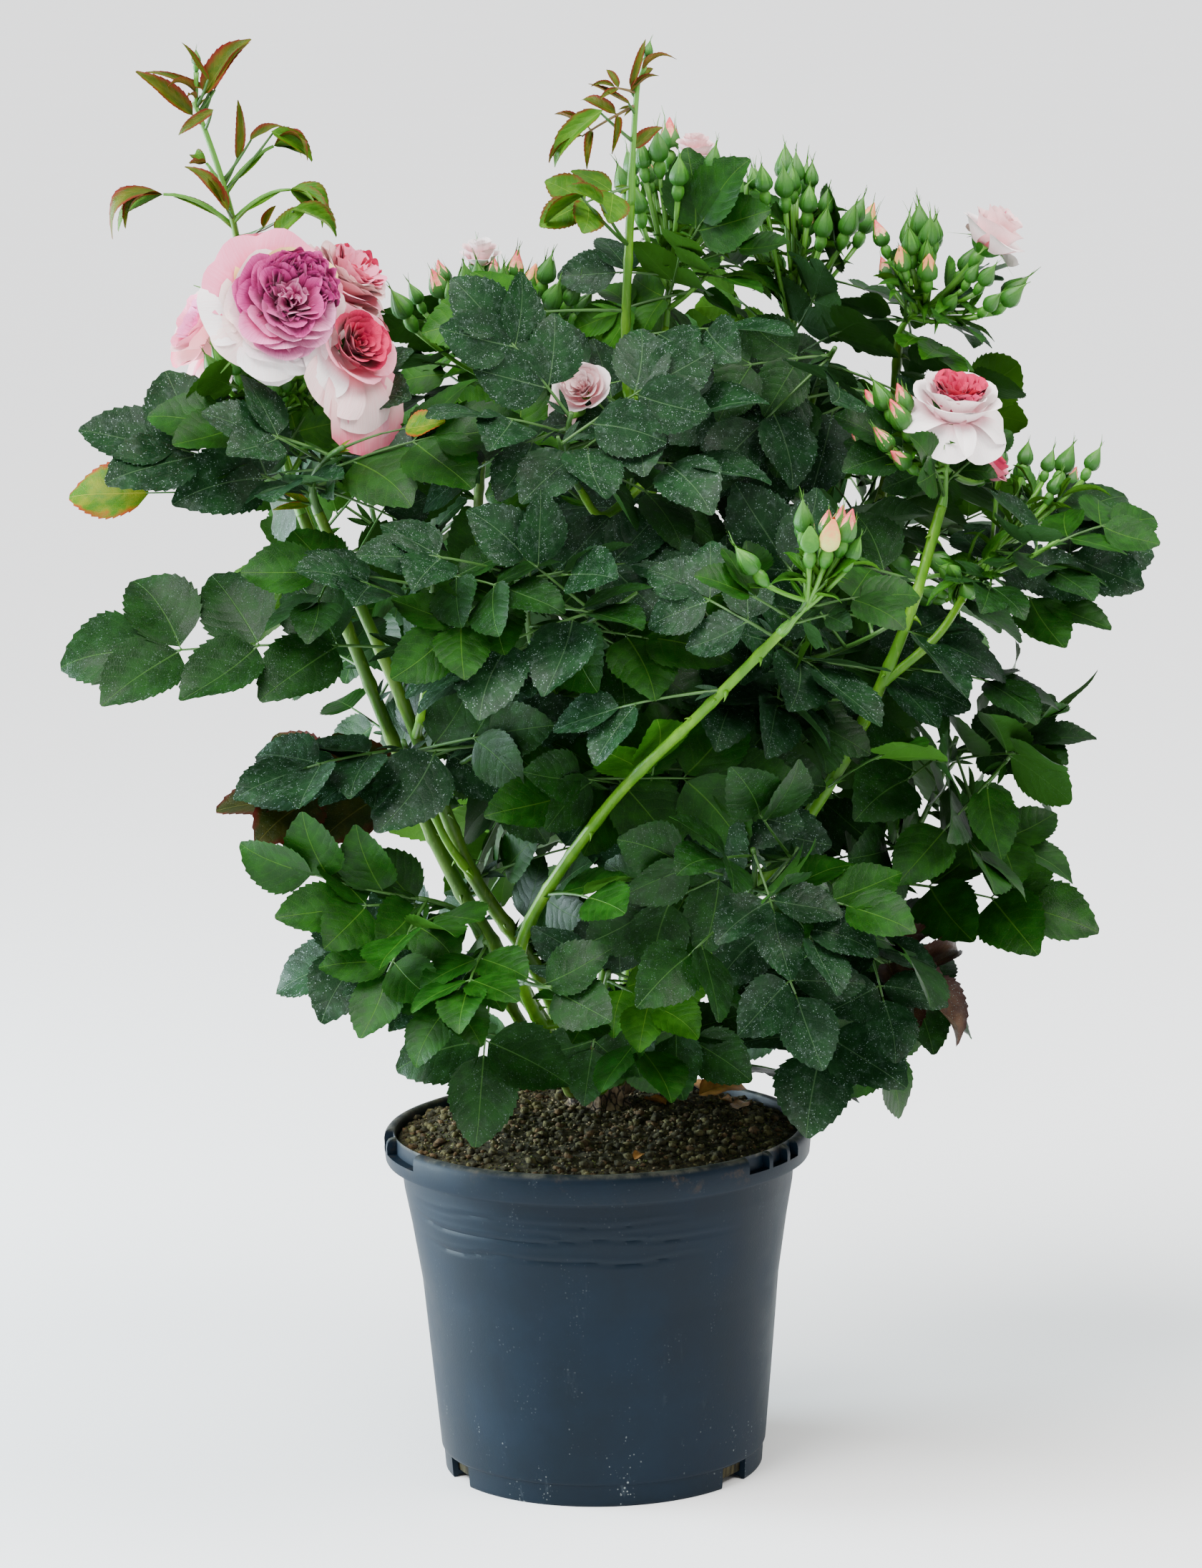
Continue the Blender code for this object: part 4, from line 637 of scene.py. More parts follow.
def pot_material(dust):
    """Slate-coloured moulded plastic: faint clouding, scuffs, specks low down, soil at the rim."""
    skin = new_finish("pot_plastic", Specular_IOR_Level=0.14)
    spot = object_place(skin)
    level = spot.axis(2)
    clouds = cloud(spot, 16.0, 6.0, 0.6)
    colour = blend(ramp(clouds, 0.35, 0.68), tone(2, 17, 28), tone(8, 24, 37))
    low_down = ramp(level, 0.075, 0.0, 0.12, 0.9)
    rubs = cloud(stretch(spot, (1.0, 1.0, 0.25)), 85.0, 6.0, 0.7)
    scuffs = ramp(rubs, 0.60, 0.80) * low_down
    colour = blend(scuffs * 0.35, colour, tone(130, 142, 148))
    specks = place_group(dust, Place=spot, Specks=540.0, Patches=34.0)["Mask"]
    dusty = specks * ramp(rubs, 0.50, 0.62) * low_down * 0.42
    colour = blend(dusty, colour, tone(190, 198, 196))
    stain = ramp(cloud(spot, 60.0, 5.0, 0.7), 0.56, 0.70) * ramp(level, 0.172, 0.192, 0.0, 0.45)
    colour = blend(stain, colour, tone(62, 50, 36))
    settled = ramp(rubs, 0.40, 0.66, 0.08, 0.55) * ramp(level, POT_HEIGHT - 0.0025, POT_HEIGHT - 0.0004)
    skin["Base Color"] = blend(settled, colour, tone(106, 104, 90))
    skin["Roughness"] = dusty * 0.3 + scuffs * 0.25 + ramp(clouds, 0.3, 0.7, 0.46, 0.58)
    raise_surface(skin, clouds * 3.0 + cloud(spot, 900.0, 2.0), 0.12, 0.0005)


def soil_material(name, dark, light):
    """Crumbly soil in two tones."""
    skin = new_finish(name, 0.95, Specular_IOR_Level=0.25)
    spots = cloud(map_place(skin), 70.0, 6.0, 0.7)
    skin["Base Color"] = blend(ramp(spots, 0.36, 0.66), tone(*dark), tone(*light))
    raise_surface(skin, spots, 0.9, 0.0020)


def make_finishes():
    """Every finish of the bush, under its own name."""
    dust = dust_group()
    leaf = leaf_group(dust)
    petal = petal_group()
    bark_material()
    pot_material(dust)
    makers = ((LEAF_FINISHES, leaf_material, leaf), (PETAL_FINISHES, petal_material, petal),
              (BUD_FINISHES, bud_material), (STALK_FINISHES, stalk_material),
              (CANE_FINISHES, cane_material), (SOIL_FINISHES, soil_material))
    for table, make, *group in makers:
        for name, row in table.items():
            make(name, *group, *row)


# ---- plain geometry
def curve_point(points, t):
    """Point at t, from 0 to 1, on the smooth curve through the points."""
    spans = len(points) - 1
    place = min(max(t, 0.0), 1.0) * spans
    i = min(int(place), spans - 1)
    f = place - i
    p1 = Vector(points[i])
    p2 = Vector(points[i + 1])
    p0 = Vector(points[i - 1]) if i > 0 else 2 * p1 - p2
    p3 = Vector(points[i + 2]) if i + 2 <= spans else 2 * p2 - p1
    return 0.5 * (2 * p1 + (p2 - p0) * f + (2 * p0 - 5 * p1 + 4 * p2 - p3) * f * f
                  + (3 * p1 - p0 - 3 * p2 + p3) * f ** 3)


def curve_line(points, steps):
    return [curve_point(points, i / steps) for i in range(steps + 1)]


def bezier_point(a, b, c, t):
    return a * (1 - t) ** 2 + b * 2 * t * (1 - t) + c * t * t


def bezier_line(a, b, c, steps):
    return [bezier_point(a, b, c, k / steps) for k in range(steps + 1)]


def turned(a, b, angle):
    """The direction at an angle from one direction towards another."""
    return a * cos(angle) + b * sin(angle)


def level_at(angle):
    return Vector((cos(angle), sin(angle), 0.0))


def new_object(name, data):
    thing = bpy.data.objects.new(name, data)
    bpy.context.scene.collection.objects.link(thing)
    return thing


def tube_shape(points, radii, sides, heading=None):
    """Vertices and faces of a capped tapering tube; its rings turn as little as they can."""
    rings = []
    count = len(points)
    heading = heading or points[1] - points[0]
    across = heading.orthogonal().normalized()
    for i, point in enumerate(points):
        ahead = points[min(i + 1, count - 1)] - points[i - 1] if i > 0 else heading
        forward = ahead.normalized()
        across = (across - forward * across.dot(forward)).normalized()
        other = forward.cross(across)
        rings += [point + turned(across, other, 2 * pi * k / sides) * radii[i] for k in range(sides)]
    rows = [range(i * sides, (i + 1) * sides) for i in range(count)]
    return rings, [tuple(rows[0][::-1]), *ring_faces(rows), tuple(rows[-1])]


def ring_faces(rows):
    """Faces between rings of the same count of points; a ring of one point is an end."""
    sides = max(len(row) for row in rows)
    faces = []
    for low, high in zip(rows, rows[1:]):
        for k in range(0 if len(low) == len(high) == 1 else sides):
            corners = (low[k % len(low)], low[(k + 1) % len(low)], high[(k + 1) % len(high)],
                       high[k % len(high)])
            if len(low) == 1:
                corners = corners[1:]
            if len(high) == 1:
                corners = corners[:3]
            faces.append(corners)
    return faces


def flipped(faces):
    return [face[:1] + face[:0:-1] for face in faces]


def blade_shape(root, tip, face, width, keel):
    """A leaflet of six faces, as the solids have it, for the tests of room."""
    length = (tip - root).length
    along = (tip - root) / length
    side = along.cross(face).normalized()
    below = along.cross(side)
    middle = root + along * length * LEAF_WIDEST
    half = side * width * 0.5
    verts = [root, middle - half, middle + half, middle + below * keel, tip]
    faces = [(0, 2, 1), (0, 1, 3), (0, 3, 2), (4, 1, 2), (4, 3, 1), (4, 2, 3)]
    return verts, faces


def spindle_shape(base, axis, stations, sides):
    """A closed body round an axis, from (height, radius) stations; a radius of 0 is a point."""
    across = axis.orthogonal().normalized()
    other = axis.cross(across)
    verts = []
    rows = []
    for height, radius in stations:
        count = sides if radius else 1
        rows.append(range(len(verts), len(verts) + count))
        for k in range(count):
            verts.append(base + axis * height + turned(across, other, 2 * pi * k / sides) * radius)
    return verts, ring_faces(rows)


# ---- growth, as in the solids
def limb_paths():
    """Path and radii of every cane and side shoot, by name, as the solids have them."""
    paths = {}

    def add(name, points, steps, foot, tip, carrier):
        path = [curve_point(points, i / steps) for i in range(steps + 1)]
        paths[name] = (path, [foot + (tip - foot) * i / steps for i in range(steps + 1)], carrier)

    for name, (foot, tip, points) in CANES.items():
        add(name, points, len(points), foot, tip, "crown")
    for name, (carrier, place, by, tip) in SHOOTS.items():
        path = paths[carrier][0]
        joint, part = divmod(place * (len(path) - 1), 1)
        start = path[int(joint)].lerp(path[int(joint) + 1], part)
        add(name, (start, by, tip), 3, *SHOOT_RADII, carrier)
    return paths


class Growth:
    """What stands where: keeps a leaf or twig from touching a limb or another piece."""

    def __init__(self, limbs):
        self.trees = []
        self.centres = np.zeros((MOST_PIECES, 3))
        self.reaches = np.zeros(MOST_PIECES)
        for path, radii, _ in limbs.values():
            self.add(tube_shape(path, [r + LIMB_CLEARANCE for r in radii], 6))
        self.limb_count = len(self.trees)

    def add(self, shape):
        verts, faces = shape
        centre = sum(verts, Vector()) / len(verts)
        self.centres[len(self.trees)] = centre
        self.reaches[len(self.trees)] = max((v - centre).length for v in verts) + 0.00001
        self.trees.append(BVHTree.FromPolygons(verts, faces))

    def clear(self, shape, of_limbs_only=False):
        verts, faces = shape
        for v in verts:
            if hypot(v.x, v.y) < POT_RIM_RADIUS + RIM_CLEARANCE[0] and v.z < SOIL_TOP + RIM_CLEARANCE[1]:
                return False
        centre = sum(verts, Vector()) / len(verts)
        reach = max((v - centre).length for v in verts)
        count = self.limb_count if of_limbs_only else len(self.trees)
        away = np.linalg.norm(self.centres[:count] - np.array(centre), axis=1)
        near = np.nonzero(away <= reach + self.reaches[:count])[0]
        if not len(near):
            return True
        tree = BVHTree.FromPolygons(verts, faces)
        return not any(tree.overlap(self.trees[i]) for i in near)


class Leaf:
    """One compound leaf: the line of its stalk and the leaflets that have room."""

    def __init__(self, base, tip, normal, pairs):
        self.young = pairs <= 0
        self.pairs = abs(pairs)
        self.base = base
        self.way = tip - base
        self.length = self.way.length
        along = self.way / self.length
        side = along.cross(normal).normalized()
        self.face = side.cross(along)
        share = LEAFLET_SHARE[self.pairs]
        width = LEAF_WIDTH * (YOUNG_NARROWING if self.young else 1.0)
        self.end = max(1 - share, SHORTEST_STALK)
        start = self.stalk(self.end)
        self.rows = {"end": (start, tip, self.face, (tip - start).length * width)}
        for pair, place in enumerate(PAIR_PLACES[self.pairs]):
            root = self.stalk(place)
            for hand in (-1, 1):
                heading = turned(along, side * hand, SIDE_ANGLE)
                heading = (heading - self.face * LEAFLET_DROOP).normalized()
                size = self.length * share * SIDE_SIZE
                up = (self.face + side * hand * LEAFLET_DROOP).normalized()
                self.rows[(pair, hand)] = (root, root + heading * size, up, size * width)
        self.blades = {}
        self.finish = None
        self.placed = False

    def stalk(self, s):
        return self.base + self.way * s + self.face * self.length * STALK_ARCH * s * (1 - s)


def grow_leaf(growth, base, tip, normal, pairs, least):
    """One compound leaf, or None where fewer than the least leaflets have room."""
    leaf = Leaf(base, tip, normal, pairs)
    start = leaf.stalk(leaf.end)
    line = tube_shape([leaf.stalk(FREE_FROM), leaf.stalk(leaf.end * 0.5), start], [STALK_RADIUS] * 3, 3)
    foot = tube_shape([base, leaf.stalk(FREE_FROM)], [STALK_RADIUS] * 2, 3)
    if not growth.clear(line) or not growth.clear(foot, of_limbs_only=True):
        return None
    for key, (root, point, up, size) in leaf.rows.items():
        if growth.clear(blade_shape(root.lerp(point, 0.08), point, up, size + 0.001, TEST_KEEL)):
            leaf.blades[key] = (root, point, up, size)
        elif key == "end":
            return None
    if len(leaf.blades) < min(least, len(leaf.rows)):
        return None
    growth.add(line)
    for blade in leaf.blades.values():
        growth.add(blade_shape(*blade, LEAF_KEEL))
    return leaf


def mass_stems(limbs):
    """Start, bend and tip of each mass's stem, which goes on from the tip of its limb."""
    stems = {}
    for name, (limb, tip, *_) in MASSES.items():
        path = limbs[limb][0]
        way = (path[-1] - path[-2]).normalized()
        start = path[-1] + way * GAP
        tip = Vector(tip)
        stems[name] = (start, start + way * (tip - start).length * 0.45, tip)
    return stems


class Bush:
    """Everything that grew: stems, twigs, flower stalks, buds, blooms and leaves."""

    def __init__(self, limbs):
        self.limbs = limbs
        self.growth = Growth(limbs)
        self.stems = mass_stems(limbs)
        self.twigs, self.leaves, self.buds = ({name: [] for name in MASSES} for _ in range(3))
        self.pedicels = []


def grow_as_solids(limbs):
    """The same pieces as the solids, from the same seeds and in the same order."""
    bush = Bush(limbs)
    for stem in bush.stems.values():
        radii = [STEM_RADIUS * (1.1 - 0.1 * i) for i in range(4)]
        bush.growth.add(tube_shape(bezier_line(*stem, 3), radii, 3, stem[1] - stem[0]))
    for row in BLOOMS:
        block_bloom(bush, *row)
    for cluster in BUD_CLUSTERS:
        grow_buds(bush, *cluster)
    for name, rows in PLACED_LEAVES.items():
        for place, tip, pairs, *finish in rows:
            tip = Vector(tip)
            outward = away_from_crown(tip)
            normal = UP * 0.55 + outward * 0.25 + VIEW * 0.55
            keep_leaf(bush, name, finish,
                      grow_leaf(bush.growth, bezier_point(*bush.stems[name], place), tip, normal, pairs, 1))
    for number, name in enumerate(MASSES):
        grow_loose_leaves(bush, name, random.Random(100 + number))
    return bush


def keep_leaf(bush, name, finish, leaf):
    """Note a leaf that has a place of its own, if it grew, with its finish if that is its own."""
    if leaf:
        leaf.finish = finish[0] if finish else None
        leaf.placed = True
        bush.leaves[name].append(leaf)


def away_from_crown(point):
    return Vector((point[0], point[1] - CROWN_CENTRE.y, 0.0)).normalized()


def block_bloom(bush, name, centre, facing, radius):
    """Keep the room of a bloom and its stalk, and note the line of the stalk."""
    facing = Vector(facing).normalized()
    base = Vector(centre) - facing * radius * 0.62
    stations = ((0.0, 0.0), (radius * 0.10, radius * 0.30), (radius * 0.42, radius * 0.86),
                (radius * 0.80, radius), (radius * 0.98, radius * 0.66), (radius * 0.84, 0.0))
    bush.growth.add(spindle_shape(base, facing, stations, BLOOM_SIDES))
    _, bend, tip = bush.stems[name]
    stem_end = tip + (bend - tip).normalized() * ROOT_DEPTH
    joint = base + facing * radius * 0.25
    bend = base - facing * min(radius, 0.5 * (base - stem_end).length)
    bush.growth.add(tube_shape(bezier_line(stem_end, bend, joint, 3), [STEM_RADIUS] * 4, 3))
    bush.pedicels.append((stem_end, bend, joint))


def grow_buds(bush, name, centre, spread, count):
    """A cluster of buds on a dome, their stalks leaving the top of the stem in turn."""
    for i in range(count):
        share = sqrt((i + 0.5) / count)
        angle = i * GOLDEN_ANGLE
        offset = Vector((cos(angle) * share, sin(angle) * share, 0.45 - share * 0.7))
        root = bezier_point(*bush.stems[name], 0.70 + 0.27 * (count - i) / count)
        try_bud(bush, name, root, Vector(centre) + offset * spread)


def try_bud(bush, name, root, base):
    """Keep a bud on its stalk where it has room."""
    axis = ((base - root).normalized() + UP * 0.8).normalized()
    points = [root, base, base + axis * BUD_LENGTH * 0.32, base + axis * BUD_LENGTH]
    bud = tube_shape(points, [STALK_RADIUS * ROOT_TAPER, STALK_RADIUS, BUD_RADIUS, 0.0003], 3)
    free = tube_shape([root.lerp(base, 0.3), base, base + axis * BUD_LENGTH],
                      [STALK_RADIUS, BUD_RADIUS, BUD_RADIUS], 3)
    if not bush.growth.clear(free):
        return False
    bush.growth.add(bud)
    bush.buds[name].append((root, base, axis))
    return True


def grow_loose_leaves(bush, name, rng):
    """Twigs and leaves that follow only the rule: a golden-angle turn from one to the next."""
    growth = bush.growth
    stem = bush.stems[name]
    _, _, centre, half_size, count, leaf_length, facing = MASSES[name]
    centre = Vector(centre)
    turn = rng.uniform(0.0, 2 * pi)
    branches = [stem]
    for i in range(count // 3):
        root = bezier_point(*stem, 0.30 + 0.55 * i / max(1, count // 3))
        for attempt in range(TWIG_TRIES):
            angle = turn + i * GOLDEN_ANGLE + rng.uniform(-1.0, 1.0) * 0.25 * attempt
            aim = Vector((cos(angle), sin(angle), rng.uniform(0.1, 0.7)))
            tip = centre + Vector([a * b for a, b in zip(aim, Vector(half_size))]) * 0.5
            bend = root.lerp(tip, 0.5) - UP * 0.10 * (tip - root).length
            points = [bezier_point(root, bend, tip, k) for k in (0.0, FREE_FROM, 0.5, 1.0)]
            radii = [STEM_RADIUS * share for share in (0.45, 0.8, 0.8, 0.6)]
            twig = tube_shape(points, radii, 3)
            free = tube_shape(points[1:], radii[1:], 3)
            if (tip - root).length < SHORTEST_TWIG or not growth.clear(twig, of_limbs_only=True):
                continue
            if growth.clear(free):
                growth.add(twig)
                branches.append((root, bend, tip))
                break
    bush.twigs[name] = branches[1:]
    rows = ceil(count / len(branches))
    for i in range(count):
        row, branch = divmod(i, len(branches))
        base = bezier_point(*branches[branch], 0.25 + 0.72 * (rows - row - 0.4) / rows)
        away = away_from_crown(base)
        for attempt in range(LEAF_TRIES):
            angle = turn + i * GOLDEN_ANGLE + rng.uniform(-1.0, 1.0) * min(3.2, 0.1 * attempt)
            level, way = level_and_way(angle, radians(15 + rng.uniform(-45, 40)), 0.3, away)
            tip = base + way * leaf_length * rng.uniform(0.75, 1.10)
            if not within(tip, name, 1.15):
                continue
            normal = UP.lerp((level + away).normalized(), facing)
            pairs = 1 if leaf_length < 0.08 else 2
            least = 4 if attempt < 20 else 3 if attempt < 40 else 2
            leaf = grow_leaf(growth, base, tip, normal, pairs, least)
            if leaf:
                bush.leaves[name].append(leaf)
                break


# ---- finer growth in the same spaces
EXTRA_TURNS = 2                  # rounds of extra leaves for each mass
EXTRA_TRIES = 26
LIMB_TRIES = 14
BUD_TRIES = 80
LIMB_LEAF_STEP = 0.022
LEAST_LEAF = 0.100
LEAF_SPACING = 0.62              # least distance between leaflet middles, as a share of their length
SHOWN_CANES = (("cane_front", 0.22, 1.0), ("cane_left_front", 0.30, 0.88),
               ("cane_left_rear", 0.34, 0.80), ("cane_tall", 0.62, 1.0), ("cane_right", 0.42, 0.92))
SHOWN_WIDTH = 0.016
TO_FRONT = Vector((0.0, -0.98, 0.18)).normalized()
# Openings through the crown, as seen from the camera on the plane of the pot's axis: middle
# across and up, half width and half height, in millimetres.
OPENINGS = ((-233, 537, 67, 24), (-207, 428, 75, 26), (-229, 324, 47, 51), (-166, 238, 62, 23),
            (258, 268, 51, 26), (301, 454, 32, 26), (151, 693, 12, 33), (185, 717, 42, 25),
            (-243, 634, 50, 17), (-114, 732, 42, 42), (-39, 755, 50, 50), (119, 768, 66, 29),
            (-120, 215, 51, 12), (215, 221, 60, 26), (258, 360, 26, 16), (-168, 329, 44, 20),
            (211, 300, 32, 23), (156, 218, 26, 14), (-68, 232, 44, 9), (162, 695, 18, 29),
            (-132, 535, 33, 14), (152, 549, 18, 14), (232, 625, 20, 12), (111, 600, 9, 6))
# Places where the petals, buds and stalks under the broad bloom show, measured as the openings
# are, and the depth that leaves in front of them would be nearer than.
CLEARED = ((-172, 612, 30, 22), (-132, 622, 24, 26), (-146, 597, 28, 17), (-16, 226, 17, 20))
CLEARED_DEPTH = -0.046
# Small leaflets of the young shoots: root, tip and width, in millimetres.
YOUNG_BLADES = (
    (-195, -10, 775, -232, -10, 789, 5), (-198, -14, 781, -211, -14, 803, 5),
    (-197, -10, 777, -197, -10, 794, 4), (-196, -12, 775, -178, -12, 803, 6),
    (-196, -16, 766, -216, -16, 753, 7), (-166, -4, 753, -143, -4, 738, 14),
    (-185, 0, 737, -184, 0, 770, 7), (-178, 0, 748, -161, 0, 757, 9),
    (-190, -12, 711, -211, -12, 737, 9), (-193, -12, 714, -202, -12, 731, 7),
    (-171, -20, 702, -164, -20, 714, 9), (-155, -30, 712, -130, -30, 699, 17),
    (-164, -30, 699, -146, -30, 714, 13), (29, -34, 765, 7, -34, 778, 6),
    (29, -30, 774, 37, -30, 800, 6), (29, -30, 771, 43, -30, 782, 7), (14, -40, 763, -15, -40, 735, 15),
    (30, -20, 741, 45, -20, 753, 9), (3, -60, 719, -20, -60, 703, 16), (13, -60, 714, -6, -60, 725, 14),
)


# More leaves with a place of their own, in the same form as the table of placed leaves.
ADDED_LEAVES = metres({
    "leaves_low_right": ((0.50, (205, -20, 243), 1, "leaf_withered"),
        (0.35, (196, -24, 270), 1, "leaf_withered")),
})


# More clusters of buds, in the same form as the table of clusters.
ADDED_CLUSTERS = metres((
    ("blooms_left", (-180, -44, 618), 0.013, 3),
    ("blooms_left", (-152, -46, 618), 0.013, 3),
))


def in_opening(point):
    """Whether a point is seen in one of the openings."""
    eye_x, eye_y, eye_z = CAMERA_PLACE
    scale = -eye_y / (point.y - eye_y)
    x = 1000 * (eye_x + (point.x - eye_x) * scale)
    z = 1000 * (eye_z + (point.z - eye_z) * scale)
    places = OPENINGS + CLEARED if point.y < CLEARED_DEPTH else OPENINGS
    return any(((x - cx) / wide) ** 2 + ((z - cz) / high) ** 2 < 1 for cx, cz, wide, high in places)


class Spacing:
    """Where leaflets are, so that the finer leaves fill the gaps and leave canes and blooms open."""

    def __init__(self, bush):
        self.bush = bush
        self.middles = np.zeros((MOST_PIECES, 3))
        self.count = 0
        for leaves in bush.leaves.values():
            for leaf in leaves:
                self.note(leaf)
        self.open_lines = np.array([
            curve_point(CANES[name][2], first + (last - first) * k / 20)
            for name, first, last in SHOWN_CANES for k in range(21)])
        self.blooms = [(Vector(row[1]), row[3]) for row in BLOOMS]

    def note(self, leaf):
        for root, tip, _, _ in leaf.blades.values():
            self.middles[self.count] = root.lerp(tip, 0.5)
            self.count += 1

    def near(self, middle, distance):
        away = np.linalg.norm(self.middles[:self.count] - np.array(middle), axis=1)
        return bool((away < distance).any())

    def shades_cane(self, middle):
        offset = np.array(middle) - self.open_lines
        ahead = offset @ np.array(TO_FRONT)
        aside = np.linalg.norm(offset - ahead[:, None] * np.array(TO_FRONT), axis=1)
        return bool(((ahead > 0) & (aside < SHOWN_WIDTH)).any())

    def shades_bloom(self, middle, size):
        for centre, radius in self.blooms:
            offset = middle - centre
            if offset.length < radius + size * 0.5:
                return True
            ahead = offset.dot(TO_FRONT)
            if ahead > 0 and (offset - TO_FRONT * ahead).length < radius * 0.9:
                return True
        return False


def inside_box(point, margin=0.001):
    low, high = CAD_BOX
    return all(low[k] + margin < point[k] < high[k] - margin for k in range(3))


def over_soil(point):
    return point.z < SOIL_TOP + 0.012 and hypot(point.x, point.y) < POT_RIM_RADIUS + 0.015


def open_the_crown(bush):
    """Take out the loose leaves that would close the openings of the crown."""
    for leaves in bush.leaves.values():
        for leaf in list(leaves):
            if leaf.placed:
                continue
            leaf.blades = {key: row for key, row in leaf.blades.items()
                           if not in_opening(row[0].lerp(row[1], 0.5))}
            if "end" not in leaf.blades:
                leaves.remove(leaf)


def place_added_leaves(bush):
    """The added leaves, on the stems of their masses."""
    for name, rows in ADDED_LEAVES.items():
        for place, tip, pairs, *finish in rows:
            leaf = Leaf(bezier_point(*bush.stems[name], place), Vector(tip), UP + VIEW, pairs)
            leaf.blades = dict(leaf.rows)
            keep_leaf(bush, name, finish, leaf)


def grow_fine_leaf(bush, spacing, name, base, tip, normal, pairs, least, spread=LEAF_SPACING):
    """One more leaf where most of its leaflets have room among those that are there."""
    leaf = Leaf(base, tip, normal, pairs)
    for key, (root, point, up, size) in leaf.rows.items():
        middle = root.lerp(point, 0.5)
        length = (point - root).length
        if over_soil(point) or over_soil(middle) or not inside_box(point) or not inside_box(middle):
            continue
        if in_opening(middle) or spacing.near(middle, length * spread) or spacing.shades_cane(middle):
            continue
        if spacing.shades_bloom(middle, length):
            continue
        if bush.growth.clear(blade_shape(root.lerp(point, 0.12), point, up, size, LEAF_KEEL),
                             of_limbs_only=True):
            leaf.blades[key] = (root, point, up, size)
    if "end" not in leaf.blades or len(leaf.blades) < min(least, len(leaf.rows)):
        return False
    spacing.note(leaf)
    bush.leaves[name].append(leaf)
    return True


def within(point, name, reach):
    _, _, centre, half_size, *_ = MASSES[name]
    span = point - Vector(centre)
    return sum((span[k] / half_size[k]) ** 2 for k in range(3)) < reach


def level_and_way(angle, rise, pull, outward):
    """A level direction, and that direction raised and drawn a little outward."""
    level = level_at(angle)
    return level, (turned(level, UP, rise) + outward * pull).normalized()


def fill_masses(bush, spacing):
    """More leaves on the stems and twigs of each mass, by the golden angle, in its own space."""
    for turn in range(EXTRA_TURNS):
        for number, (name, row) in enumerate(MASSES.items()):
            rng = random.Random(1000 * (turn + 1) + number)
            *_, centre, _, count, leaf_length, facing = row
            if count == 0:
                continue
            truss = name.startswith("truss")
            branches = [bush.stems[name]] + bush.twigs[name]
            leaf_length = leaf_length if truss else max(leaf_length, LEAST_LEAF)
            start_angle = rng.uniform(0.0, 2 * pi)
            away = away_from_crown(centre)
            for i in range(count + 1 if truss else int(count * 1.4) + 3):
                branch = branches[i % len(branches)]
                for attempt in range(EXTRA_TRIES):
                    base = bezier_point(*branch, rng.uniform(0.05, 0.98))
                    angle = start_angle + i * GOLDEN_ANGLE + rng.uniform(-1.0, 1.0) * 0.16 * attempt
                    level, way = level_and_way(angle, radians(rng.uniform(-35, 50)), 0.25, away)
                    tip = base + way * leaf_length * rng.uniform(0.7, 1.08)
                    if not within(tip, name, 1.2):
                        continue
                    normal = UP.lerp((level + away).normalized(), facing)
                    if grow_fine_leaf(bush, spacing, name, base, tip, normal, rng.choice((1, 2, 2, 2)), 2):
                        break


def fill_along_limbs(bush, spacing):
    """Leaves along the canes and side shoots, where their tips stay in the space of a mass."""
    for number, (limb, (path, _, _)) in enumerate(bush.limbs.items()):
        rng = random.Random(5000 + number)
        length = sum((b - a).length for a, b in zip(path, path[1:]))
        steps = int(length / LIMB_LEAF_STEP)
        for i in range(steps):
            place = 0.22 + 0.78 * (i + 0.5) / steps if limb in CANES else (i + 0.5) / steps
            base = curve_point(path, place)
            away = away_from_crown(base)
            for attempt in range(LIMB_TRIES):
                angle = i * GOLDEN_ANGLE + rng.uniform(-1.0, 1.0) * 0.25 * attempt
                level, way = level_and_way(angle, radians(rng.uniform(-25, 45)), 0.2, away)
                tip = base + way * rng.uniform(0.085, 0.130)
                home = next((name for name in MASSES if within(tip, name, 1.0)), None)
                if home is None or not MASSES[home][4]:
                    continue
                normal = UP.lerp((level + away).normalized(), 0.55)
                if grow_fine_leaf(bush, spacing, home, base, tip, normal, 2, 2):
                    break


def fill_clusters(bush):
    """More buds in each cluster, lower and further out than the first ones."""
    for number, (name, centre, spread, count) in enumerate(BUD_CLUSTERS + ADDED_CLUSTERS):
        rng = random.Random(7000 + number)
        if spread < 0.01:
            continue
        wanted = int(count * 1.8) + 1
        for attempt in range(BUD_TRIES):
            if wanted == 0:
                break
            angle = attempt * GOLDEN_ANGLE + rng.uniform(-0.4, 0.4)
            share = rng.uniform(0.35, 1.2)
            offset = Vector((cos(angle) * share, sin(angle) * share,
                             0.75 - share * rng.uniform(0.4, 1.6)))
            root = bezier_point(*bush.stems[name], rng.uniform(0.55, 0.97))
            base = Vector(centre) + offset * spread
            if not inside_box(base + UP * 0.03) or in_opening(base + UP * BUD_LENGTH * 0.5):
                continue
            if try_bud(bush, name, root, base):
                wanted -= 1


# ---- joined sheets
def grid_faces(rows, columns):
    """Triangles of a grid of points, row after row."""
    faces = []
    for i in range(rows - 1):
        for k in range(columns - 1):
            a = i * columns + k
            faces += [(a, a + 1, a + columns + 1), (a, a + columns + 1, a + columns)]
    return np.array(faces)


def laid_out(base, *parts):
    """Points at their distances from a base along each of some directions."""
    points = np.array(base)
    for far, way in parts:
        points = points + np.outer(far, np.array(way))
    return points


def tile_marks(rng, across, along):
    """Places on one tile of the shared map, picked by chance."""
    tile_x = rng.randrange(MAP_TILES)
    tile_y = rng.randrange(MAP_TILES)
    return np.stack([(tile_x + 0.5 + across) / MAP_TILES,
                     (tile_y + TILE_EDGE + TILE_HEIGHT * along) / MAP_TILES], axis=1)


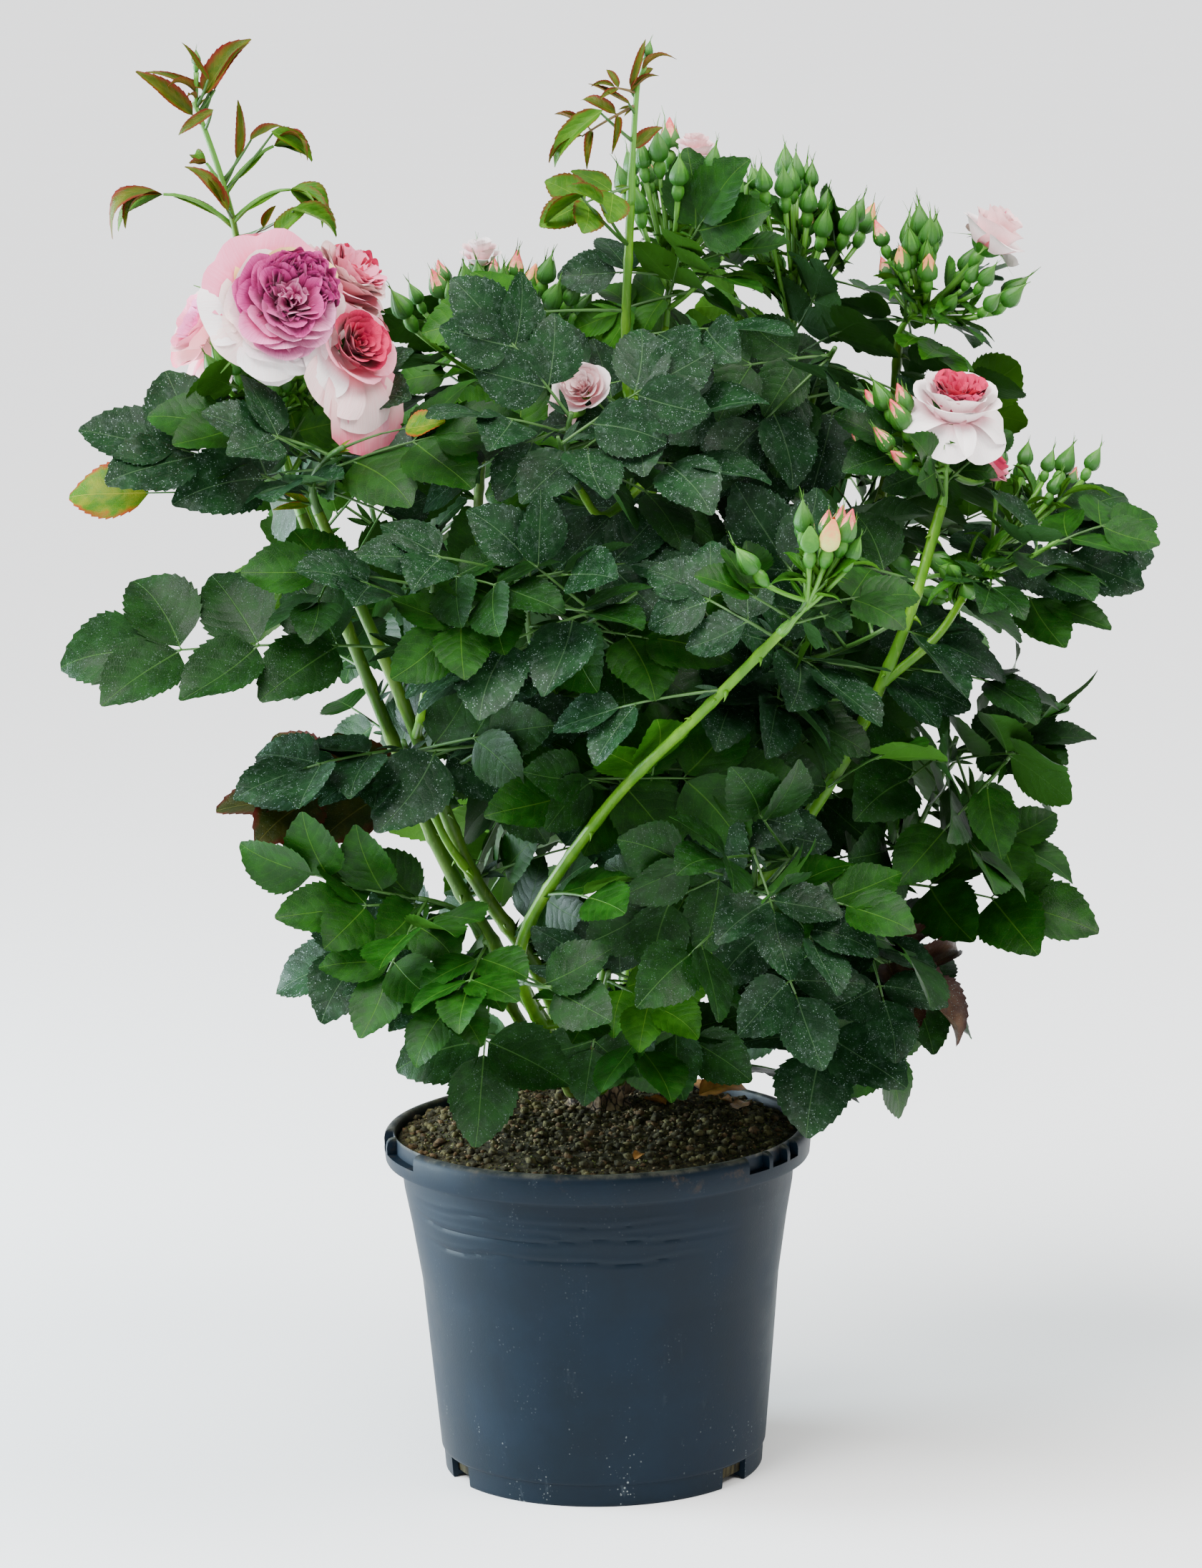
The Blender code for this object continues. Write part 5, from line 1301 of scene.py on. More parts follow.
class Sheets:
    """Many small meshes joined into one, with a place on the shared map for every point."""

    def __init__(self):
        self.points = []
        self.faces = []
        self.marks = []
        self.finishes = []
        self.count = 0
        self.names = []

    def add(self, points, faces, marks, finish):
        if finish not in self.names:
            self.names.append(finish)
        faces = np.asarray(faces, dtype=np.int64)
        self.points.append(np.asarray(points, dtype=np.float64))
        self.faces.append(faces + self.count)
        self.marks.append(np.asarray(marks, dtype=np.float64))
        self.finishes.append(np.full(len(faces), self.names.index(finish)))
        self.count += len(points)

    def make(self, name, slot, stands_for=()):
        low, high = CAD_BOX
        points = np.clip(np.concatenate(self.points), np.array(low) + 0.0002, np.array(high) - 0.0002)
        faces = np.concatenate(self.faces)
        marks = np.concatenate(self.marks)
        mesh = bpy.data.meshes.new(name)
        mesh.vertices.add(len(points))
        mesh.vertices.foreach_set("co", points.astype(np.float32).ravel())
        mesh.loops.add(faces.size)
        mesh.loops.foreach_set("vertex_index", faces.astype(np.int32).ravel())
        mesh.polygons.add(len(faces))
        mesh.polygons.foreach_set("loop_start", np.arange(0, faces.size, 3, dtype=np.int32))
        layer = mesh.uv_layers.new(name="OFBake")
        layer.data.foreach_set("uv", marks[faces.ravel()].astype(np.float32).ravel())
        for finish in self.names:
            mesh.materials.append(FINISHES[finish])
        mesh.polygons.foreach_set("material_index", np.concatenate(self.finishes).astype(np.int32))
        mesh.update(calc_edges=True)
        mesh.shade_smooth()
        return place_piece(name, mesh, stands_for)


def place_piece(name, mesh, stands_for=()):
    """An object for a mesh, riding on the one body, with the parts that it stands for hidden."""
    piece = new_object(name, mesh)
    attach(piece, "root")
    if stands_for:
        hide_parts(*stands_for)
    return piece


def round_tube(sheets, points, radii, sides, finish, tile=(0.0, 0.0, 1.0, 1.0)):
    """A tapering tube on the sheets; the map runs round it and along it."""
    verts, _ = tube_shape(points, radii, sides)
    left, low, width, height = tile
    rings = len(points)
    places = [verts[i * sides + k % sides] for i in range(rings) for k in range(sides + 1)]
    marks = [(left + width * k / sides, low + height * i / (rings - 1))
             for i in range(rings) for k in range(sides + 1)]
    last = len(places)
    places += [points[0], points[-1]]
    marks += [(left + width / 2, low), (left + width / 2, low + height)]
    top = (rings - 1) * (sides + 1)
    ends = [(k + 1, k, last) for k in range(sides)]
    ends += [(top + k, top + k + 1, last + 1) for k in range(sides)]
    sheets.add(places, np.concatenate([grid_faces(rings, sides + 1), ends]), marks, finish)


# ---- leaflets
TEETH = 11
TOOTH_OUT = 0.072
LEAN_FORWARD = 0.34              # how far a side leaflet leans towards the leaf's tip
LEAN_UP = 0.10
PLACED_LEAN_UP = 0.36
SIDE_REACH = 1.06
AUTUMN_SHARE = 0.38
LEAF_COLUMNS = (-1.0, -0.5, 0.0, 0.5, 1.0)


def leaf_half_width(s):
    """Half the width of a leaflet at s along it, as a share of its greatest half width."""
    return 2.735 * np.power(s, 0.62) * np.power(1 - s, 0.86)


def leaflet_template():
    """Column, place along and faces of a toothed leaflet; the upper side is +Z."""
    columns = len(LEAF_COLUMNS)
    across = list(LEAF_COLUMNS) * (TEETH - 1) + [0.0, 0.0]
    along = [i / TEETH for i in range(1, TEETH) for _ in LEAF_COLUMNS] + [0.0, 1.0]
    foot = len(across) - 2
    tip = foot + 1
    faces = grid_faces(TEETH - 1, columns).tolist()
    last = (TEETH - 2) * columns
    for k in range(columns - 1):
        faces += [(foot, k + 1, k), (last + k, last + k + 1, tip)]
    for i in range(1, TEETH):
        low = (i - 1) * columns
        for column in (0, columns - 1):
            hand = LEAF_COLUMNS[column]
            above = low + columns + column if i < TEETH - 1 else tip
            across.append(hand * 2)
            along.append((i + 0.92) / TEETH)
            tooth = len(across) - 1
            faces.append((low + column, above, tooth) if hand < 0 else (low + column, tooth, above))
    return np.array(across), np.array(along), np.array(faces)


LEAF_ACROSS, LEAF_ALONG, LEAF_FACES = leaflet_template()


def leaf_columns():
    """Side place of every template point; a tooth stands just outside the margin."""
    teeth = np.abs(LEAF_ACROSS) > 1.5
    column = np.where(teeth, np.sign(LEAF_ACROSS), LEAF_ACROSS)
    half = leaf_half_width(np.clip(LEAF_ALONG, 0.0, 1.0))
    out = np.where(teeth, half + TOOTH_OUT, half * np.abs(column)) * np.sign(LEAF_ACROSS)
    return column, out


LEAF_COLUMN, LEAF_OUT = leaf_columns()


def add_leaflet(sheets, root, tip, up, width, rng, finish, shape):
    """One leaflet: folded along its midrib, arched, waved at the margin and turned at the tip."""
    fold, arch, wave, hook, roll = shape
    length = (tip - root).length
    along = (tip - root) / length
    side = along.cross(up).normalized()
    face = side.cross(along)
    roll = rng.uniform(-roll, roll)
    side, face = turned(side, face, roll), turned(face, side, -roll)
    fold = fold * rng.uniform(0.3, 1.6)
    arch = arch * rng.uniform(-0.6, 1.8)
    twist = rng.uniform(-0.30, 0.30)
    phase = rng.uniform(0.0, 6.28)
    s = LEAF_ALONG
    x = LEAF_OUT * width * 0.5
    bend = rng.uniform(-0.06, 0.06) * length
    rise = np.abs(x) * sin(fold) + x * twist * (s - 0.3)
    rise += length * arch * 4 * s * (1 - s)
    rise += wave * width * LEAF_COLUMN ** 2 * np.sin(s * 11.0 + phase + LEAF_COLUMN * 1.3)
    rise -= hook * rng.uniform(0.4, 1.6) * length * np.clip(s - 0.62, 0, 1) ** 2 * 3.0
    flat = x * cos(fold) + bend * 4 * s * (1 - s)
    points = laid_out(root, (s * length, along), (flat, side), (rise, face))
    sheets.add(points, LEAF_FACES, tile_marks(rng, LEAF_HALF * LEAF_OUT, s), finish)


# Fold, arch, wave of the margin, hook of the tip and roll either way.
LEAF_SHAPES = {
    "flat": (0.20, 0.030, 0.018, 0.10, 0.42),
    "small": (0.30, 0.030, 0.018, 0.10, 0.10),
    "young": (0.75, 0.060, 0.030, 0.30, 0.30),
    "hanging": (0.55, 0.240, 0.030, 0.20, 0.10),
    "dry": (0.55, 0.100, 0.050, 0.25, 0.10),
}


HIGH_LEAVES = 0.46
LEAF_STEPS = ("leaf_dusty", "leaf_deep", "leaf_rich", "leaf_fresh")
# Limits of chance for these finishes, by where a leaf is.
LEAF_CHANCES = {"truss": (0.10, 0.45, 0.82, 1.0), "rear": (0.15, 0.50, 0.85, 1.0),
                "high": (0.52, 0.84, 0.985, 1.0), "low": (0.24, 0.66, 0.95, 0.98)}


def leaf_finish(leaf, name, rng):
    """Finish of a leaf by its place: dusty and bluish high up, deep and rich lower, fresh inside."""
    chance = rng.random()
    if leaf.finish:
        return leaf.finish
    if name.startswith("truss") and name != "truss_right_upper" or name in ("tall_shoot", "blooms_left"):
        home = "truss"
    elif name.startswith("leaves_rear"):
        home = "rear"
    else:
        home = "high" if leaf.base.z > HIGH_LEAVES else "low"
    return next((finish for limit, finish in zip(LEAF_CHANCES[home], LEAF_STEPS) if chance <= limit),
                "leaf_bronze")


def add_arched_leaf(leaves, twigs, leaf, rng):
    """A young leaf on a raised stalk; its folded leaflets hang over from the top."""
    tip = leaf.rows["end"][1]
    span = tip - leaf.base
    reach = span.length
    top = leaf.base + span * 0.56 + UP * reach * 0.30
    bend = leaf.base + span * 0.30 + UP * reach * 0.30
    points = bezier_line(leaf.base, bend, top, 6)
    round_tube(twigs, points, [0.0017 - 0.00014 * k for k in range(7)], 7, "stalk_fresh")
    aside = span.cross(UP).normalized()
    ahead = (span.normalized() * 0.8 + UP * 0.5 + VIEW * 0.5).normalized()
    for shift, share in ((0.0, 1.0), (0.009, 0.88), (-0.007, 0.74)):
        end = top.lerp(tip, share) + aside * shift
        if inside_box(end):
            finish = rng.choice(("leaf_spring", "leaf_young"))
            add_leaflet(leaves, top, end, ahead, reach * 0.21, rng, finish, LEAF_SHAPES["hanging"])
    wing = (UP + VIEW).normalized()
    add_leaflet(leaves, points[1], points[5], wing, 0.006, rng, "leaf_spring", LEAF_SHAPES["small"])


def add_leaf(leaves, twigs, leaf, name, rng):
    """A compound leaf: its leaflets, its stalk with a swollen foot, and the stipules beside it."""
    if leaf.young and name == "young_shoot_left" and len(leaf.rows) > 1:
        add_arched_leaf(leaves, twigs, leaf, rng)
        return
    finish = leaf_finish(leaf, name, rng)
    curled = leaf.young or finish == "leaf_withered"
    shape = LEAF_SHAPES["young" if curled else "flat"]
    along = leaf.way.normalized()
    stalk_finish = "stalk_red" if finish in ("leaf_bronze", "leaf_young") else "stalk_green"
    for key, (root, tip, up, width) in leaf.blades.items():
        if leaf.finish == "leaf_autumn" and key != "end":
            continue
        if key != "end":
            reach = (tip - root).length
            lean_up = PLACED_LEAN_UP if leaf.placed else LEAN_UP
            way = (tip - root) / reach + along * LEAN_FORWARD + UP * lean_up
            tip = root + way.normalized() * reach * SIDE_REACH
            up = (up - way * (up.dot(way) / way.length_squared)).normalized()
            width *= SIDE_REACH
        start = root.lerp(tip, AUTUMN_SHARE if leaf.finish == "leaf_autumn" else 0.04)
        width = width * (tip - start).length / (tip - root).length
        add_leaflet(leaves, start, tip, up, width, rng, finish, shape)
        round_tube(twigs, [root, start.lerp(tip, 0.04)], [0.0006, 0.0005], 3, stalk_finish)
    points = [leaf.stalk(leaf.end * stop) for stop in (0.0, 0.06, 0.25, 0.5, 0.75, 1.0)]
    round_tube(twigs, points, [0.0014, 0.0011, 0.0009, 0.0008, 0.0007, 0.0006], 5, stalk_finish)
    add_stipules(leaves, leaf, rng, finish)


def add_stipules(leaves, leaf, rng, finish):
    """Two narrow wings at the foot of a leaf's stalk."""
    side = leaf.way.cross(leaf.face).normalized()
    for hand in (-1, 1):
        root = leaf.stalk(0.02)
        tip = leaf.stalk(0.16) + side * hand * leaf.length * 0.05
        if inside_box(tip):
            add_leaflet(leaves, root, tip, leaf.face, leaf.length * 0.035, rng, finish,
                        LEAF_SHAPES["small"])


def add_young_blades(leaves, twigs, bush, rng):
    """The small folded leaflets of the young shoots, each on a thin stalk from the nearest shoot."""
    lines = []
    for name in ("young_shoot_left", "tall_shoot"):
        path = bush.limbs[MASSES[name][0]][0]
        lines += curve_line(path, 60) + bezier_line(*bush.stems[name], 30)
    for row in YOUNG_BLADES:
        root = Vector(row[:3]) / 1000
        tip = Vector(row[3:6]) / 1000
        nearest = min((spot - root).length for spot in lines)
        below = root - UP * nearest * 0.8
        joint = min(lines, key=lambda spot: (spot - below).length)
        if nearest > 0.002:
            bend = joint.lerp(root, 0.5) - UP * nearest * 0.1
            round_tube(twigs, bezier_line(joint, bend, root.lerp(tip, 0.05), 4),
                       [0.0012, 0.0010, 0.0009, 0.0008, 0.0006], 6, "stalk_green")
        up = (UP * 0.6 + VIEW * 0.8).normalized()
        finish = "leaf_spring" if row[6] > 12 else "leaf_young"
        add_leaflet(leaves, root, tip, up, row[6] / 1000, rng, finish, LEAF_SHAPES["young"])


# ---- blooms
PETAL_COLUMNS = 9
PETAL_ROWS = 8

# Rings of a bloom from its heart outward: petals, radius at the root and at the rim, height at
# the root and at the rim, half span in degrees, how early it opens, how far the rim rolls out,
# how ruffled it is, and the part of the bloom whose finish it takes. Lengths are in bloom radii.
ROSETTE = (
    (3, 0.02, 0.09, 0.36, 0.70, 80, 1.3, 0.00, 0.030, 0),
    (4, 0.04, 0.19, 0.34, 0.72, 66, 1.4, 0.02, 0.045, 0),
    (4, 0.06, 0.30, 0.30, 0.74, 62, 1.5, 0.03, 0.050, 0),
    (6, 0.08, 0.42, 0.24, 0.86, 50, 1.6, 0.00, 0.045, 1),
    (7, 0.09, 0.48, 0.22, 0.92, 46, 1.5, 0.03, 0.050, 1),
    (9, 0.10, 0.54, 0.20, 0.92, 42, 1.3, 0.06, 0.050, 1),
    (9, 0.11, 0.63, 0.18, 0.86, 40, 1.1, 0.10, 0.045, 2),
    (8, 0.12, 0.72, 0.16, 0.78, 42, 1.0, 0.12, 0.045, 2),
    (8, 0.12, 0.80, 0.12, 0.66, 38, 0.8, 0.12, 0.050, 3),
    (8, 0.12, 0.88, 0.08, 0.54, 36, 0.7, 0.14, 0.050, 4),
    (8, 0.12, 0.96, 0.02, 0.38, 38, 0.6, 0.14, 0.050, 4),
)
CUP = (
    (4, 0.03, 0.12, 0.34, 0.84, 65, 1.3, 0.00, 0.030, 0),
    (6, 0.06, 0.26, 0.28, 0.92, 52, 1.4, 0.02, 0.040, 0),
    (7, 0.09, 0.42, 0.22, 0.98, 48, 1.4, 0.04, 0.045, 0),
    (6, 0.12, 0.56, 0.18, 1.00, 50, 1.2, 0.06, 0.040, 1),
    (5, 0.14, 0.70, 0.12, 0.96, 54, 0.8, 0.10, 0.035, 2),
    (5, 0.14, 0.88, 0.04, 0.80, 56, 0.6, 0.16, 0.030, 3),
)
HALF_OPEN = (
    (4, 0.03, 0.12, 0.40, 1.20, 70, 1.2, 0.00, 0.030, 0),
    (5, 0.08, 0.30, 0.30, 1.30, 60, 1.0, 0.03, 0.035, 1),
    (5, 0.14, 0.52, 0.15, 1.25, 60, 0.8, 0.10, 0.035, 1),
    (5, 0.18, 0.74, 0.02, 1.05, 58, 0.7, 0.16, 0.035, 2),
    (4, 0.18, 0.92, 0.00, 0.72, 50, 0.6, 0.20, 0.035, 3),
)
# The outer petals of the broad bloom take their finish from the way they point: the angle that
# each finish reaches to, in degrees from the right.
SIDED = {
    "lower_wall": ((200, "magenta"), (240, "orchid"), (340, "lilac"), (361, "orchid")),
    "upper_saucer": ((30, "orchid"), (120, "cream"), (200, "pearl"), (250, "pearl"),
                     (330, "lilac"), (361, "orchid")),
    "saucer": ((25, "orchid"), (110, "rose"), (160, "cream"), (235, "pearl"),
               (335, "white"), (361, "blush")),
}
# Form of each bloom, the finishes of its parts, heart first, and how far its core is off its
# middle, to the right and up.
BLOOM_LOOKS = (
    (ROSETTE, ("lilac", "magenta", "lower_wall", "upper_saucer", "saucer"), 0.24, 0.08),
    (CUP, ("orchid", "rose", "blush", "edged"), 0.0, 0.0),
    (ROSETTE, ("crimson", "rose", "blush", "salmon", "blush"), 0.40, -0.05),
    (CUP, ("crimson", "crimson", "crimson", "salmon"), 0.0, 0.0),
    (CUP, ("salmon", "salmon", "rose", "rose"), 0.0, 0.0),
    (HALF_OPEN, ("blush", "blush", "blush", "white"), 0.0, 0.0),
    (HALF_OPEN, ("white", "white", "blush", "white"), 0.0, 0.0),
    (CUP, ("blush", "blush", "blush", "white"), 0.0, 0.0),
    (CUP, ("crimson", "crimson", "white", "white"), 0.0, 0.0),
    (HALF_OPEN, ("crimson", "crimson", "rose", "rose"), 0.0, 0.0),
    (HALF_OPEN, ("rose", "blush", "blush", "white"), 0.0, 0.0),
)
# Loose outer petals: the bloom, the way each hangs round it in degrees, its length in bloom
# radii, how far down it hangs, and its finish.
LOOSE_PETALS = (
    (0, 178, 1.06, 0.00, "white"), (0, 215, 0.98, 0.10, "pearl"), (0, 262, 0.98, 0.12, "white"),
    (0, 300, 0.94, 0.12, "white"), (0, 72, 1.08, -0.10, "rose"), (0, 112, 1.08, -0.10, "rose"),
    (0, 145, 1.05, -0.05, "rose"), (1, 215, 1.45, 0.90, "salmon"), (1, 262, 1.40, 1.00, "edged"),
    (1, 310, 1.30, 0.70, "blush"), (1, 170, 1.20, 0.50, "edged"), (2, 10, 1.15, 0.30, "salmon"),
    (2, 330, 1.25, 0.50, "edged"), (2, 290, 1.20, 0.50, "salmon"), (2, 150, 1.15, 0.00, "white"),
    (3, 225, 1.60, 0.45, "blush"), (3, 258, 1.75, 0.60, "blush"), (3, 285, 1.85, 0.80, "salmon"),
    (3, 200, 1.35, 0.30, "white"), (3, 272, 2.10, 1.00, "edged"), (8, 185, 1.35, 0.35, "white"),
    (8, 235, 1.25, 0.75, "white"), (8, 290, 1.20, 0.80, "white"), (8, 330, 1.15, 0.60, "white"),
    (7, 220, 1.30, 0.70, "blush"), (7, 160, 1.30, 0.50, "blush"), (10, 20, 1.15, 0.35, "blush"),
    (10, 330, 1.10, 0.50, "white"),
)
# Ruffled small petals: the bloom, first and last angle, nearest and furthest rim, count, finish.
RUFFLES = (
    (0, -15, 120, 0.36, 0.60, 40, "plum"), (0, -10, 100, 0.44, 0.66, 30, "magenta"),
    (0, 0, 360, 0.06, 0.26, 9, "lilac"), (0, 130, 250, 0.34, 0.40, 7, "plum"),
    (2, -20, 80, 0.38, 0.55, 12, "crimson"), (8, 0, 360, 0.20, 0.62, 36, "crimson"),
)


def petal_template():
    """Place across and along, and the faces, of a petal; the inner side is +Z."""
    across = np.tile(np.linspace(-1.0, 1.0, PETAL_COLUMNS), PETAL_ROWS)
    along = np.repeat(np.linspace(0.0, 1.0, PETAL_ROWS), PETAL_COLUMNS)
    return across, along, grid_faces(PETAL_ROWS, PETAL_COLUMNS)[:, ::-1]


PETAL_ACROSS, PETAL_ALONG, PETAL_FACES = petal_template()


def bloom_frame(facing):
    """The way a bloom faces, then its right and its up, as seen from its front."""
    facing = Vector(facing).normalized()
    right = UP.cross(facing)
    right = right.normalized() if right.length > 0.05 else Vector((1.0, 0.0, 0.0))
    return facing, right, facing.cross(right)


def add_petal(petals, points, rng, finish):
    marks = tile_marks(rng, PETAL_HALF * PETAL_ACROSS, PETAL_ALONG)
    petals.add(points, PETAL_FACES, marks, "petal_" + finish)


def add_ring_petal(petals, base, frame_of, radius, row, angle, rng, finish):
    """One petal of a ring, wrapped round the axis of its bloom."""
    _, root_radius, rim_radius, root_height, rim_height, span, opening, roll, ruffle, _ = row
    facing, right, upward = frame_of
    u = PETAL_ACROSS
    v = PETAL_ALONG * (1 - 0.22 * np.abs(u) ** 2.5 * PETAL_ALONG)
    rim_radius = rim_radius * rng.uniform(0.93, 1.04)
    rim_height = rim_height + rng.uniform(-0.05, 0.04)
    half = radians(span * rng.uniform(0.88, 1.12)) * (0.30 + 0.70 * np.sin(1.35 * v))
    turn = angle + u * half + rng.uniform(-0.35, 0.35) * v * (1 - rim_radius)
    out = root_radius + (rim_radius - root_radius) * v ** opening
    out = out + 0.05 * np.sin(pi * v) * rim_radius
    lift = root_height + (rim_height - root_height) * v ** 0.9
    rolled = np.clip(v - 0.66, 0, 1)
    out = out + roll * rolled * 1.6
    lift = lift - roll * rolled ** 2 * 6.0
    waves = rng.uniform(1.0, 1.9)
    phase = rng.uniform(0.0, 6.28)
    out = out + ruffle * v ** 3 * np.sin(waves * u * 2.2 + phase)
    lift = lift + ruffle * v ** 3 * np.cos(waves * u * 2.9 + phase * 1.7)
    out = out - 0.06 * rim_radius * u ** 2 * v
    points = laid_out(base, (np.cos(turn) * out * radius, right), (np.sin(turn) * out * radius, upward),
                      (lift * radius, facing))
    add_petal(petals, points, rng, finish)


def add_loose_petal(petals, base, frame_of, radius, angle, length, hang, rng, finish):
    """A broad outer petal that opens away from its bloom and hangs."""
    facing, right, upward = frame_of
    angle = radians(angle)
    out = turned(np.array(right), np.array(upward), angle)
    aside = np.cross(np.array(facing), out)
    u = PETAL_ACROSS
    v = PETAL_ALONG
    s = v * (1 - 0.16 * np.abs(u) ** 2.5 * v)
    half = 0.52 * length * (0.22 + 0.78 * np.sin(1.9 * v) ** 0.9)
    phase = rng.uniform(0.0, 6.28)
    lift = 0.10 + 0.34 * np.sin(s * 2.0) - hang * s ** 2 * 0.5 + 0.22 * u ** 2 * v * (1 - v)
    lift = lift + 0.055 * v ** 2 * np.sin(3.4 * u + phase)
    reach = 0.12 + (length - 0.12) * s * (1 - 0.10 * hang) + 0.055 * v ** 2 * np.sin(3.0 * u + phase)
    points = laid_out(base, (reach * radius, out), (u * half * radius, aside), (lift * radius, facing),
                      (-hang * s ** 2 * 0.45 * radius, UP))
    add_petal(petals, points, rng, finish)


def sided_finish(finish, angle):
    """The finish for an angle, where a part of the bloom changes its finish round its edge."""
    if finish not in SIDED:
        return finish
    turn = degrees(angle) % 360
    return next(name for limit, name in SIDED[finish] if turn < limit)


def add_bloom(petals, greens, number):
    """A bloom with its rings of petals, its ruffles, its loose petals and the sepals under it."""
    _, centre, facing, radius = BLOOMS[number]
    rings, parts, right, up = BLOOM_LOOKS[number]
    rng = random.Random(300 + number)
    frame_of = bloom_frame(facing)
    base = Vector(centre) - frame_of[0] * radius * 0.62
    shift = (frame_of[1] * right + frame_of[2] * up) * radius
    turn = rng.uniform(0.0, 6.28)
    for row in rings:
        turn += 0.7
        middle = base + shift * min(1.0, max(0.0, 1.6 - 1.5 * row[2]))
        for i in range(row[0]):
            angle = turn + 2 * pi * i / row[0] + rng.uniform(-0.12, 0.12)
            finish = sided_finish(parts[row[-1]], angle)
            add_ring_petal(petals, middle, frame_of, radius, row, angle, rng, finish)
    for bloom, first, last, near, far, count, finish in RUFFLES:
        for _ in range(count if bloom == number else 0):
            rim = rng.uniform(near, far)
            row = (1, rim - 0.16, rim, 0.50, rng.uniform(0.84, 0.98), rng.uniform(11, 20), 1.0,
                   rng.uniform(0.0, 0.10), 0.05, 0)
            angle = radians(rng.uniform(first, last))
            add_ring_petal(petals, base + shift, frame_of, radius, row, angle, rng, finish)
    for bloom, angle, length, hang, finish in LOOSE_PETALS:
        if bloom == number:
            add_loose_petal(petals, base, frame_of, radius, angle, length, hang, rng, finish)
    hip = min(0.0044, radius * 0.20)
    add_turned(greens, base - frame_of[0] * hip * 1.6, frame_of[0], hip, hip, HIP_STATIONS, "bud_green")
    for i in range(5):
        angle = turn + 2 * pi * i / 5
        out = turned(*frame_of[1:], angle)
        add_sepal(greens, base - frame_of[0] * 0.002, frame_of[0], out, radius * 0.9, radius * 0.35, 1.6,
                  0.5, rng)


# ---- buds
# Height and radius along a hip and along the bud above it, as shares of their own sizes.
HIP_STATIONS = ((-1.4, 0.34), (-0.8, 0.74), (0.0, 1.0), (0.8, 0.92), (1.3, 0.62), (1.5, 0.58))
BUD_STATIONS = ((0.0, 0.50), (0.07, 0.78), (0.18, 0.96), (0.32, 1.0), (0.48, 0.88), (0.64, 0.66),
                (0.80, 0.40), (0.92, 0.20), (1.0, 0.06))
BUD_SIDES = 10
SEPAL_STATIONS = ((0.0, 0.30), (0.12, 0.60), (0.30, 0.72), (0.50, 0.62), (0.70, 0.40), (0.88, 0.20),
                  (1.0, 0.10))


def add_turned(sheets, base, axis, length, radius, stations, finish):
    """A small body turned round an axis, from (height, radius) stations."""
    points = [base + axis * height * length for height, _ in stations]
    round_tube(sheets, points, [share * radius for _, share in stations], BUD_SIDES, finish,
               (0.02, 0.03, 0.45, 0.44))


def add_sepal(greens, base, axis, out, length, girth, lean, tail, rng):
    """A sepal that lies on its bud and runs out into a thin tail."""
    side = axis.cross(out).normalized()
    heights = [height for height, _ in BUD_STATIONS]
    shares = [share for _, share in BUD_STATIONS]
    sway = side * rng.uniform(-0.25, 0.25) + out * rng.uniform(0.05, 0.45)
    rows = []
    for s, share in SEPAL_STATIONS:
        shell = girth * (float(np.interp(s, heights, shares)) + 0.09)
        middle = base + axis * length * s * (1 - 0.45 * min(lean, 1.6) * s) + out * (
            shell + lean * length * 0.42 * s * s)
        rows.append((middle, share * girth, shell))
    last = rows[-1][0]
    way = (last - rows[-2][0]).normalized()
    for share in (0.5, 1.0):
        spot = last + way * length * tail * share + sway * length * tail * share * share
        rows.append((spot, girth * (0.09 - 0.07 * share), 0.0))
    points = []
    marks = []
    for number, (middle, half, shell) in enumerate(rows):
        curl = min(half * 0.45, shell * 0.4)
        points += [middle - side * half - out * curl, middle + out * half * 0.05,
                   middle + side * half - out * curl]
        level = 0.52 + 0.44 * number / (len(rows) - 1)
        marks += [(0.05, level), (0.25, level), (0.45, level)]
    if not all(inside_box(point, 0.0) for point in points):
        return
    greens.add(points, grid_faces(len(rows), 3), marks, "sepal_green")


def add_bud(greens, petals, twigs, bud, rng, ripe, scale):
    """A bud: its stalk, hip, pointed body, sepals, and the petals that some of them show."""
    root, base, axis = bud
    size = rng.uniform(0.74, 1.12) * scale
    hip = 0.0036 * size
    bend = root.lerp(base, 0.55) - axis * (base - root).length * 0.18
    round_tube(twigs, bezier_line(root, bend, base, 5), [0.0015, 0.0014, 0.0013, 0.0013, 0.0014, 0.0016], 6,
               "stalk_fresh")
    centre = base + axis * hip * 1.2
    add_turned(greens, centre, axis, hip, hip, HIP_STATIONS, "bud_green")
    foot = centre + axis * hip * 1.4
    length = BUD_LENGTH * 0.80 * size
    girth = 0.0052 * size
    finish = rng.choice(("bud_pink", "bud_pink", "bud_peach")) if ripe else "bud_green"
    tall = length * 1.12 if ripe else length
    add_turned(petals if ripe else greens, foot, axis, tall, girth, BUD_STATIONS, finish)
    across = axis.orthogonal().normalized()
    other = axis.cross(across)
    turn = rng.uniform(0.0, 6.28)
    lean = rng.uniform(0.15, 0.6) if ripe else rng.uniform(0.0, 0.08)
    for i in range(5):
        angle = turn + 2 * pi * i / 5 + rng.uniform(-0.12, 0.12)
        out = turned(across, other, angle)
        add_sepal(greens, foot - axis * 0.0004, axis, out, length * rng.uniform(0.95, 1.08), girth, lean,
                  rng.uniform(0.15, 0.75), rng)


def add_bract(leaves, root, axis, rng, finish):
    """A small narrow leaf on a flower stalk."""
    across = axis.orthogonal().normalized()
    angle = rng.uniform(0.0, 6.28)
    out = turned(across, axis.cross(across), angle)
    way = (axis * rng.uniform(0.2, 0.9) + out).normalized()
    tip = root + way * rng.uniform(0.014, 0.030)
    if inside_box(tip):
        up = (axis - way * axis.dot(way)).normalized()
        add_leaflet(leaves, root, tip, up, (tip - root).length * rng.uniform(0.24, 0.40), rng, finish,
                    LEAF_SHAPES["young"])


# ---- canes and crown
CANE_STEPS = 120
CANE_SIDES = 16
NODE_SPACING = 0.034
THORN_LENGTH = 0.0052
